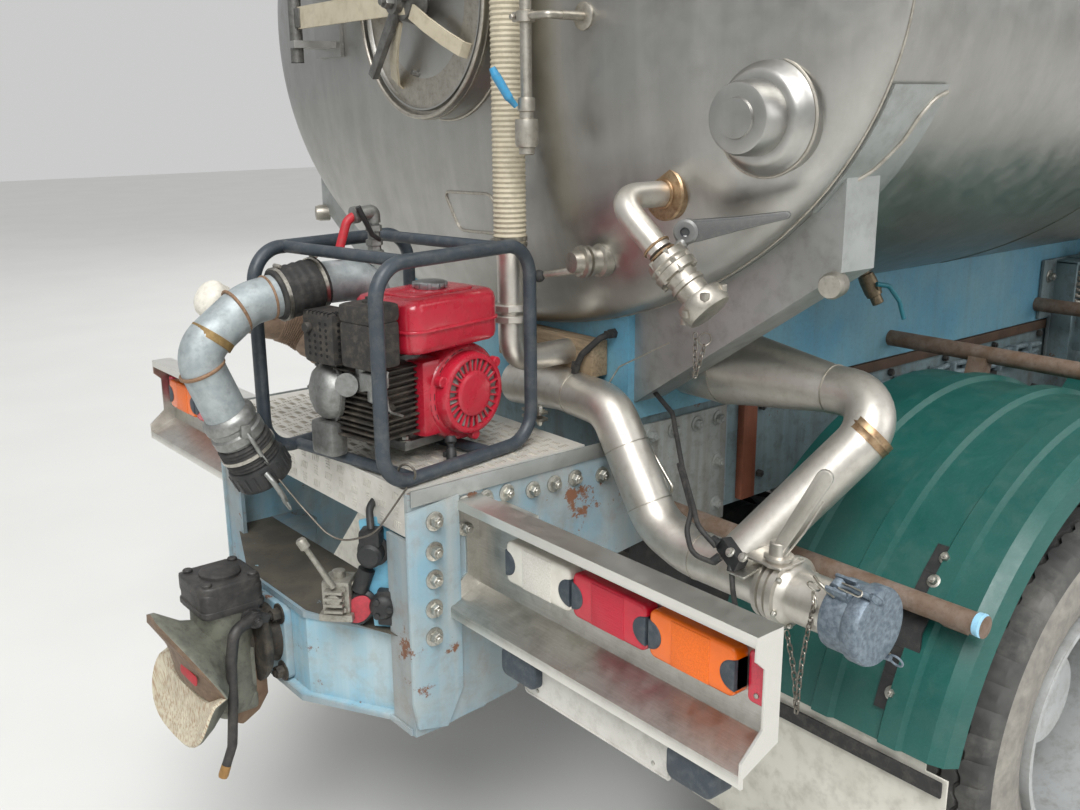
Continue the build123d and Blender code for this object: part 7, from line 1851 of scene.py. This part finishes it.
def alongFace(points, lift, step=0.03):
    track = []
    for (ya, za), (yb, zb) in zip(points, points[1:]):
        count = max(1, round(math.hypot(yb - ya, zb - za) / step))
        track += [(ya + (yb - ya) * i / count, za + (zb - za) * i / count) for i in range(count)]
    track.append(points[-1])
    return [Vector((faceX(y, z) + lift, y, z)) for y, z in track]


seals = bmesh.new()
addTube(seals, alongFace(roundedRect((-1.09, 1.83), (1.09, 2.57), 0.07) + [(1.09, 2.5)], 0.001)[:-2], 0.0075,
    10, closed=True)
addTube(seals, [Vector((2.2335, y, z)) for y, z in roundedRect((-0.4, 1.95), (0.4, 2.5), 0.05)], 0.007, 10,
    closed=True)
for pivot in (-0.3, 0.42):
    arm = alongFace([(pivot, 1.812), (pivot + 0.3, 1.868)], 0.024, 0.06)
    addTube(seals, arm, [0.011] * (len(arm) - 3) + [0.008] * 3, 10)
    addTurned(seals, [(-0.006, 0.024), (0.014, 0.02), (0.022, 0.014), (0.034, 0.012)],
        (faceX(pivot, 1.812), pivot, 1.812), (1, 0, 0.17), 20)
    blade = alongFace([(pivot + 0.05, 1.862), (pivot + 0.56, 1.872)], 0.012, 0.05)
    addTube(seals, blade, 0.0062, 8)
    addTube(seals, alongFace([(pivot + 0.18, 1.868), (pivot + 0.42, 1.871)], 0.021, 0.05), 0.0048, 8)
finished("cab_seals_and_wipers", seals, softSeal, body="cab")
for side, label in ((1, "left"), (-1, "right")):
    body = f"door_{label}_body"
    trim = bmesh.new()
    low, high = door["low"], door["high"]
    outline = [(low[0], low[2]), (low[0], high[2]), (high[0] - 0.105, high[2]), (high[0], low[2])]
    addTube(trim, closedPath([(x, side * 1.2005, z) for x, z in outline], 0.05), 0.0065, 10, closed=True)
    for z in (1.515, 1.365):
        addTube(trim, [(3.03, side * 1.2005, z), (3.89, side * 1.2005, z)], 0.004, 8)
    finished("door_seals_" + label, trim, softSeal, body=body)
    handle = bmesh.new()
    addPad(handle, (-0.085, -0.036), (0.085, 0.036), 0.02, (3.13, side * 1.2002, 1.7), (side, 0, 0),
        (0, 0, 1), 0.004, 0.002)
    track = [(x, side * y, 1.708) for x, y in ((3.065, 1.203), (3.075, 1.222), (3.185, 1.222),
        (3.195, 1.203))]
    addTube(handle, roundedPath(track, 0.01), 0.0075, 12)
    addTurned(handle, [(0.0, 0.011), (0.006, 0.01)], (3.13, side * 1.203, 1.684), (0, side, 0), 18)
    finished("door_handle_" + label, handle, blackPlastic, body=body)
rails = bmesh.new()
for side in (-1, 1):
    track = [(2.955, side * y, z) for y, z in ((1.196, 2.08), (1.236, 2.08), (1.236, 1.44), (1.196, 1.44))]
    addTube(rails, roundedPath(track, 0.03), 0.0125, 14)
    for z in (2.08, 1.44):
        addTurned(rails, [(0, 0.026), (0.006, 0.024)], (2.955, side * 1.2, z), (0, side, 0), 20)
finished("cab_grab_rails", rails, blackPlastic, body="cab")
mirrorShell, mirrorFaces = bmesh.new(), bmesh.new()
for side in (-1, 1):
    arm = [(3.978, side * 1.19, 2.412), (4.0, side * 1.32, 2.412), (4.0, side * 1.32, 1.818),
        (3.978, side * 1.19, 1.818)]
    addTube(mirrorShell, roundedPath(arm, 0.03), 0.011, 14)
    for z in (2.412, 1.818):
        addTurned(mirrorShell, [(0, 0.024), (0.012, 0.02), (0.03, 0.014)], (3.978, side * 1.19, z),
            (0.1, side, 0), 20)
    for low, high in ((2.075, 2.33), (1.9, 2.05)):
        addPad(mirrorShell, (-0.094, low), (0.094, high), 0.03, (3.984, side * 1.315, 0), (0, -1, 0),
            (0, 0, 1), 0.001, 0.0005)
        addPad(mirrorShell, (-0.094, low), (0.094, high), 0.03, (3.974, side * 1.315, 0), (0, 1, 0),
            (0, 0, 1), 0.055, 0.022)
        addPad(mirrorFaces, (-0.084, low + 0.01), (0.084, high - 0.01), 0.024, (3.9745, side * 1.315, 0),
            (0, -1, 0), (0, 0, 1), 0.0022, 0.001)
finished("mirror_shells", mirrorShell, blackPlastic, body="cab", replaces=["mirrors"])
finished("mirror_faces", mirrorFaces, mirrorGlass, body="cab")

print("cab seats and dash")
seatSet = {"x": 2.675, "floor": 1.245, "places": (0.69, -0.69)}


def addPillow(shape, low, high, turn=0.0, channels=0, depth=0.006, power=0.32):
    # A crowned closed form with sewn channels across its longer faces, turned about its own Y axis
    def flat(value):
        return math.copysign(abs(value) ** power, value)

    low, high = Vector(low), Vector(high)
    middle, half = (low + high) / 2, (high - low) / 2
    lean = Matrix.Rotation(turn, 3, "Y")
    rings, sides, rows = [], 56, 26
    for r in range(1, rows):
        polar = math.pi * r / rows - math.pi / 2
        ring = []
        for k in range(sides):
            turned = math.tau * k / sides
            place = Vector((flat(math.cos(polar)) * flat(math.cos(turned)),
                flat(math.cos(polar)) * flat(math.sin(turned)), flat(math.sin(polar))))
            crown = 1 - 0.1 * (abs(place.x) ** 4 + abs(place.y) ** 4) * (abs(place.z) > 0.5)
            point = Vector((place.x * half.x, place.y * half.y, place.z * half.z * crown))
            if channels and abs(place.z) > 0.6:
                dip = 0.5 + 0.5 * math.cos(math.tau * channels * place.y / 2)
                point.z -= math.copysign(depth * dip**6, place.z)
            ring.append(shape.verts.new(middle + lean @ point))
        rings.append(ring)
    for first, second in zip(rings, rings[1:]):
        for k in range(sides):
            j = (k + 1) % sides
            shape.faces.new((first[k], first[j], second[j], second[k]))
    for ring, end in ((rings[0], -1), (rings[-1], 1)):
        tip = shape.verts.new(middle + lean @ Vector((0, 0, end * half.z)))
        for k in range(sides):
            shape.faces.new((ring[k], ring[(k + 1) % sides], tip))


for label, y in zip(("left", "right"), seatSet["places"]):
    x, floorZ = seatSet["x"], seatSet["floor"]
    seatRows = (
        ("cushion", (x - 0.01, y - 0.235, floorZ + 0.305), (x + 0.47, y + 0.235, floorZ + 0.428), -3, 6),
        ("back", (x - 0.345, y - 0.225, floorZ + 0.665), (x + 0.275, y + 0.225, floorZ + 0.775), 100, 6),
        ("head", (x - 0.175, y - 0.13, floorZ + 0.985), (x - 0.055, y + 0.13, floorZ + 1.075), 100, 0),
    )
    for part, low, high, degrees, channels in seatRows:
        pad = bmesh.new()
        addPillow(pad, low, high, math.radians(degrees), channels)
        finished(f"seat_{part}_{label}", pad, seatCloth, body="cab")
seatBases = bmesh.new()
for y in seatSet["places"]:
    x, floorZ = seatSet["x"], seatSet["floor"]
    addBlock(seatBases, (x + 0.02, y - 0.185, floorZ), (x + 0.4, y + 0.185, floorZ + 0.05), 0.01)
    for n in range(7):
        grow = 0.012 * (n % 2)
        addBlock(seatBases, (x + 0.05 - grow, y - 0.16 - grow, floorZ + 0.05 + 0.034 * n),
            (x + 0.37 + grow, y + 0.16 + grow, floorZ + 0.084 + 0.034 * n), 0.008)
    addBlock(seatBases, (x, y - 0.2, floorZ + 0.285), (x + 0.44, y + 0.2, floorZ + 0.318), 0.012)
    for lean in (-0.07, 0.07):
        addTube(seatBases, [(x - 0.085, y + lean, floorZ + 0.93), (x - 0.112, y + lean, floorZ + 1.03)],
            0.007, 10)
    addTurned(seatBases, [(-0.25, 0.03), (0.25, 0.03)], (x - 0.005, y, floorZ + 0.4), (0, 1, 0), 20)
finished("seat_pedestals", seatBases, blackPlastic, body="cab", replaces=["cab_interior"])
dash = bmesh.new()
dashX = 4.114
outline = [(dashX, -0.985, z) for z in (1.485, 1.77)] + [(dashX - 0.33, -0.985, 1.73),
    (dashX - 0.38, -0.985, 1.61), (dashX - 0.25, -0.985, 1.485)]
addPrism(dash, outline, (0, 1.97, 0), 0.02)
addBlock(dash, (dashX - 0.375, 0.48, 1.7), (dashX - 0.2, 0.9, 1.785), 0.03)
for n in range(4):
    addPad(dash, (-0.11, -0.03), (0.11, 0.03), 0.01, (dashX - 0.366, -0.6 + 0.3 * n, 1.665), (0, -1, 0),
        (0.4, 0, 1), 0.008, 0.003)
wheelCentre, wheelAxis = Vector((dashX - 0.48, 0.69, 1.73)), Vector((-180, 0, 100)).normalized()
addTube(dash, [Vector((dashX - 0.3, 0.69, 1.63)), wheelCentre], 0.028, 18)
addRing(dash, wheelCentre, wheelAxis, 0.213, 0.0135, 56, 12)
addTurned(dash, [(-0.02, 0.05), (0.02, 0.055), (0.034, 0.045), (0.038, 0.0)], wheelCentre, wheelAxis, 30)
for angle in (0.0, 2.094, 4.189):
    side = wheelAxis.orthogonal().normalized()
    reach = Matrix.Rotation(angle, 3, wheelAxis) @ side
    addTube(dash, [wheelCentre + reach * 0.04, wheelCentre + reach * 0.21], [0.018, 0.01], 10)
finished("dash_and_steering_wheel", dash, dashPlastic, body="cab")

print("front lamps and bumper")
lampBodies, lampLenses, ambers, sideAmbers = (bmesh.new() for n in range(4))
for side in (-1, 1):
    middle = Vector((4.17, side * 0.92, 0.615))
    addPad(lampBodies, (-0.158, -0.083), (0.158, 0.083), 0.02, middle - Vector((0.05, 0, 0)), (0, 1, 0),
        (0, 0, 1), 0.03, 0.004)
    for shift in (-0.075, 0.075):
        addTurned(lampBodies, [(0.0, 0.03), (0.02, 0.055), (0.034, 0.066), (0.036, 0.07), (0.038, 0.066),
            (0.024, 0.052), (0.01, 0.03), (0.006, 0.0)], middle + Vector((-0.036, shift, 0)), (1, 0, 0), 36)
        addTurned(lampBodies, [(0, 0.01), (0.014, 0.01), (0.018, 0.006)], middle + Vector((-0.03, shift, 0)),
            (1, 0, 0), 14)
    addPad(lampLenses, (-0.158, -0.083), (0.158, 0.083), 0.022, middle + Vector((0.004, 0, 0)), (0, 1, 0),
        (0, 0, 1), 0.007, 0.004)
    addPad(ambers, (-0.06, -0.035), (0.06, 0.035), 0.015, (4.1405, side * 0.97, 0.9), (0, 1, 0), (0, 0, 1),
        0.016, 0.004)
    addPad(sideAmbers, (-0.05, -0.022), (0.05, 0.022), 0.012, (3.9, side * 1.2302, 0.66), (-side, 0, 0),
        (0, 0, 1), 0.002, 0.001)
finished("headlamp_bowls", lampBodies, aluminium, replaces=["headlamps"])
finished("headlamp_lenses", lampLenses, clearLens)
finished("front_indicators", ambers, lensAmber, body="cab")
finished("side_indicators", sideAmbers, lensAmber)
bumperTrim = bmesh.new()
addBlock(bumperTrim, (4.146, -0.8, 0.7535), (4.178, 0.8, 0.759), 0.002)
for n in range(3):
    addBlock(bumperTrim, (4.153 + 0.008 * n, -0.78, 0.758), (4.156 + 0.008 * n, 0.78, 0.761), 0.001)
finished("bumper_top_pad", bumperTrim, softSeal)
frontPlate = bmesh.new()
addPad(frontPlate, (-0.26, 0.835), (0.26, 0.945), 0.008, (4.1405, 0, 0), (0, 1, 0), (0, 0, 1), 0.003, 0.001)
finished("front_plate_blank", frontPlate, plateWhite, body="cab")


def addTreads(shape, low, high, z, pitch, bar=0.019, wide=0.0042, proud=0.0012, rows=4):
    # Rows of raised dashes, turned a quarter from one patch to the next
    for i in range(int((high[0] - low[0]) / pitch)):
        for j in range(int((high[1] - low[1]) / pitch)):
            middle = Vector((low[0] + (i + 0.5) * pitch, low[1] + (j + 0.5) * pitch, z - 0.0004))
            along, across = Vector((1, 0, 0)), Vector((0, 1, 0))
            if (i + j) % 2 == 0:
                along, across = across, along
            for n in range(rows):
                centre = middle + across * (n - (rows - 1) / 2) * (pitch / (rows + 0.4))
                ends = [along * bar / 2, across * wide / 2, -along * bar / 2, -across * wide / 2]
                base = [shape.verts.new(centre + end) for end in ends]
                top = [shape.verts.new(centre + end * 0.55 + Vector((0, 0, proud + 0.0004))) for end in ends]
                for k in range(4):
                    shape.faces.new((base[k], base[(k + 1) % 4], top[(k + 1) % 4], top[k]))
                shape.faces.new(top)
                shape.faces.new(base[::-1])


print("deck pattern")
treads = bmesh.new()
addTreads(treads, at(-0.104, -0.42, 0), at(0.354, 0.42, 0), 1.16, 0.029)
finished("deck_treads", treads, finish("dirt filled tread", "#B0AA9D", 0.3, 0.6, mottle=("#8F887B", 60, 0.6),
    dirt=("#6F685C", 20, 0.4)), sharp=20)
stepTreads = bmesh.new()
for side in (-1, 1):
    for z in (0.45, 0.83):
        low, high = sorted((side * 0.955, side * 1.222))
        addTreads(stepTreads, (3.458, low), (3.842, high), z, 0.046, 0.034, 0.01, 0.003, 2)
finished("step_treads", stepTreads, aluminium)

print("tank top and side equipment")
topSet = {"hatchX": -0.733, "collarTop": 2.96, "radius": 0.255}
walkTreads = bmesh.new()
addTreads(walkTreads, (-2.715, -0.515), (1.615, -0.305), 2.9096, 0.052, 0.036, 0.009, 0.0003, 2)
finished("walkway_treads", walkTreads, aluminium)
clamps, hatchGrip = bmesh.new(), bmesh.new()
for angle in around(6, 0.5):
    out = Vector((math.cos(angle), math.sin(angle), 0))
    foot = Vector((topSet["hatchX"], 0, topSet["collarTop"])) + out * topSet["radius"]
    turn = Matrix.Rotation(angle, 4, "Z")
    addBox(clamps, foot + out * 0.01 - Vector((0, 0, 0.0575)), (0.012, 0.012, 0.0275), 0.003, turn)
    addTube(clamps, [foot + out * 0.022 + Vector((0, 0, -0.065)), foot + out * 0.022 + Vector((0, 0, 0.03))],
        0.006, 10)
    addTurned(clamps, [(0, 0.012), (0.014, 0.012), (0.016, 0.009)],
        foot + out * 0.022 + Vector((0, 0, 0.018)), (0, 0, 1), 6)
addRing(clamps, (topSet["hatchX"], 0, topSet["collarTop"] - 0.002), (0, 0, 1), topSet["radius"] + 0.002,
    0.005, 64, 8)
finished("hatch_clamps", clamps, castSteel)
gripTrack = [(topSet["hatchX"] + 0.16, y, z) for y, z in ((-0.07, 2.985), (-0.07, 3.003), (0.07, 3.003),
    (0.07, 2.985))]
addTube(hatchGrip, roundedPath(gripTrack, 0.012), 0.0055, 10)
finished("hatch_grip", hatchGrip, castSteel, body="hatch_lid_body")
straps = bmesh.new()
dieselLow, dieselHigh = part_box("fuel_tank")
for x in (dieselLow[0] + 0.19, dieselHigh[0] - 0.19):
    outline = roundedRect((0.4685, 0.4685), (1.0915, 1.0115), 0.1115, 8)
    for shift in (-0.018, -0.006, 0.006, 0.018):
        addTube(straps, [Vector((x + shift, y, z)) for y, z in outline], 0.0045, 6, closed=True)
addTurned(straps, [(0, 0.048), (0.022, 0.048), (0.026, 0.044), (0.04, 0.042), (0.044, 0.03), (0.044, 0.0)],
    (dieselLow[0] + 0.42, 0.955, 0.985), (0, 0.7, 1), 32)
finished("diesel_tank_straps", straps, bumperSteel)
boxTrim = bmesh.new()
boxLow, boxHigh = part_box("battery_box")
addTube(boxTrim, [Vector(p) for p in ((boxLow[0] - 0.001, -1.081, 0.85), (boxHigh[0] + 0.001, -1.081, 0.85))],
    0.005, 8)
for x in (boxLow[0] + 0.15, boxHigh[0] - 0.15):
    addBlock(boxTrim, (x - 0.018, -1.0905, 0.8), (x + 0.018, -1.079, 0.885), 0.004)
for n in range(5):
    addBlock(boxTrim, (boxLow[0] + 0.05, -1.084, 0.6 + 0.036 * n),
        (boxHigh[0] - 0.05, -1.079, 0.612 + 0.036 * n), 0.002)
airLow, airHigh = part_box("air_tanks")
for y in (-0.64, -0.9):
    for x in (airLow[0] + 0.035, airHigh[0] - 0.035):
        addRing(boxTrim, (x, y, 0.7), (1, 0, 0), 0.1202, 0.003, 40, 8)
    addTurned(boxTrim, [(0, 0.014), (0.018, 0.014), (0.022, 0.007), (0.034, 0.007)],
        (airLow[0] + 0.1, y, 0.583), (0, 0, -1), 14)
finished("box_trim", boxTrim, blackEnamel)
railBolts = bmesh.new()
for n in range(24):
    x = -3.02 + 0.28 * n
    for side in (-1, 1):
        if abs(x + 3.27) > 0.4:
            for z in (0.965, 1.145):
                addBolt(railBolts, (x, side * frameSet["railY"], z), (0, side, 0), 0.019, washer=False)
finished("rail_bolts", railBolts, blackEnamel)

print("stage, light and camera")
stage = {"floorHalf": 30.0, "floorColour": "#D9D9D6", "worldStrength": 0.75, "keyWatts": 900.0}
bpy.ops.mesh.primitive_plane_add(size=stage["floorHalf"] * 2, location=(0, 0, 0))
floor = bpy.context.object
floor.name = "floor"
floor.data.materials.append(finish("pale studio floor", stage["floorColour"], 0.0, 0.8,
    mottle=("#D2D2CF", 900, 0.5)))

world = bpy.data.worlds.new("studio")
bpy.context.scene.world = world
world.use_nodes = True
skyTree = world.node_tree
background = skyTree.nodes["Background"]
direction = addNode(skyTree, "ShaderNodeTexCoord").outputs["Generated"]
height = addNode(skyTree, "ShaderNodeSeparateXYZ", links={0: direction}).outputs[2]
sky = mixColours(skyTree, spread(skyTree, height, -0.05, 0.75), linear("#BEC2C5"), linear("#FFFFFF"))
isCamera = addNode(skyTree, "ShaderNodeLightPath").outputs["Is Camera Ray"]
skyTree.links.new(mixColours(skyTree, isCamera, sky, linear("#E6E7E6")), background.inputs["Color"])
background.inputs["Strength"].default_value = stage["worldStrength"]

lampRows = [  # name, place, size, watts
    ("key", (-7.0, -5.0, 8.0), 5.0, stage["keyWatts"]),
    ("fill", (3.0, -9.0, 5.0), 6.0, stage["keyWatts"] * 0.25),
    ("back", (5.0, 7.0, 7.0), 6.0, stage["keyWatts"] * 0.5),
]
for name, place, size, watts in lampRows:
    lamp = bpy.data.lights.new(name, "AREA")
    lamp.size = size
    lamp.energy = watts
    lampObject = bpy.data.objects.new(name, lamp)
    lampObject.location = place
    lampObject.rotation_euler = (Vector((-1.5, 0, 1.2)) - Vector(place)).to_track_quat("-Z", "Y").to_euler()
    bpy.context.scene.collection.objects.link(lampObject)

view = {"place": (-4.895, -2.199, 1.894), "yaw": 51.02, "pitch": 15.22, "roll": -0.47, "lens": 37.0}
yaw, pitch, roll = (math.radians(view[key]) for key in ("yaw", "pitch", "roll"))
forward = Vector((math.cos(yaw) * math.cos(pitch), math.sin(yaw) * math.cos(pitch), -math.sin(pitch)))
level = Vector((math.sin(yaw), -math.cos(yaw), 0))
rise = level.cross(forward)
right = math.cos(roll) * level + math.sin(roll) * rise
up = math.cos(roll) * rise - math.sin(roll) * level
cameraData = bpy.data.cameras.new("camera")
cameraData.lens = view["lens"]
cameraData.sensor_width = 36.0
cameraObject = bpy.data.objects.new("camera", cameraData)
turn = Matrix((right, up, -forward)).transposed().to_4x4()
cameraObject.matrix_world = Matrix.Translation(view["place"]) @ turn
bpy.context.scene.collection.objects.link(cameraObject)
bpy.context.scene.camera = cameraObject
bpy.context.scene.view_settings.view_transform = "Standard"
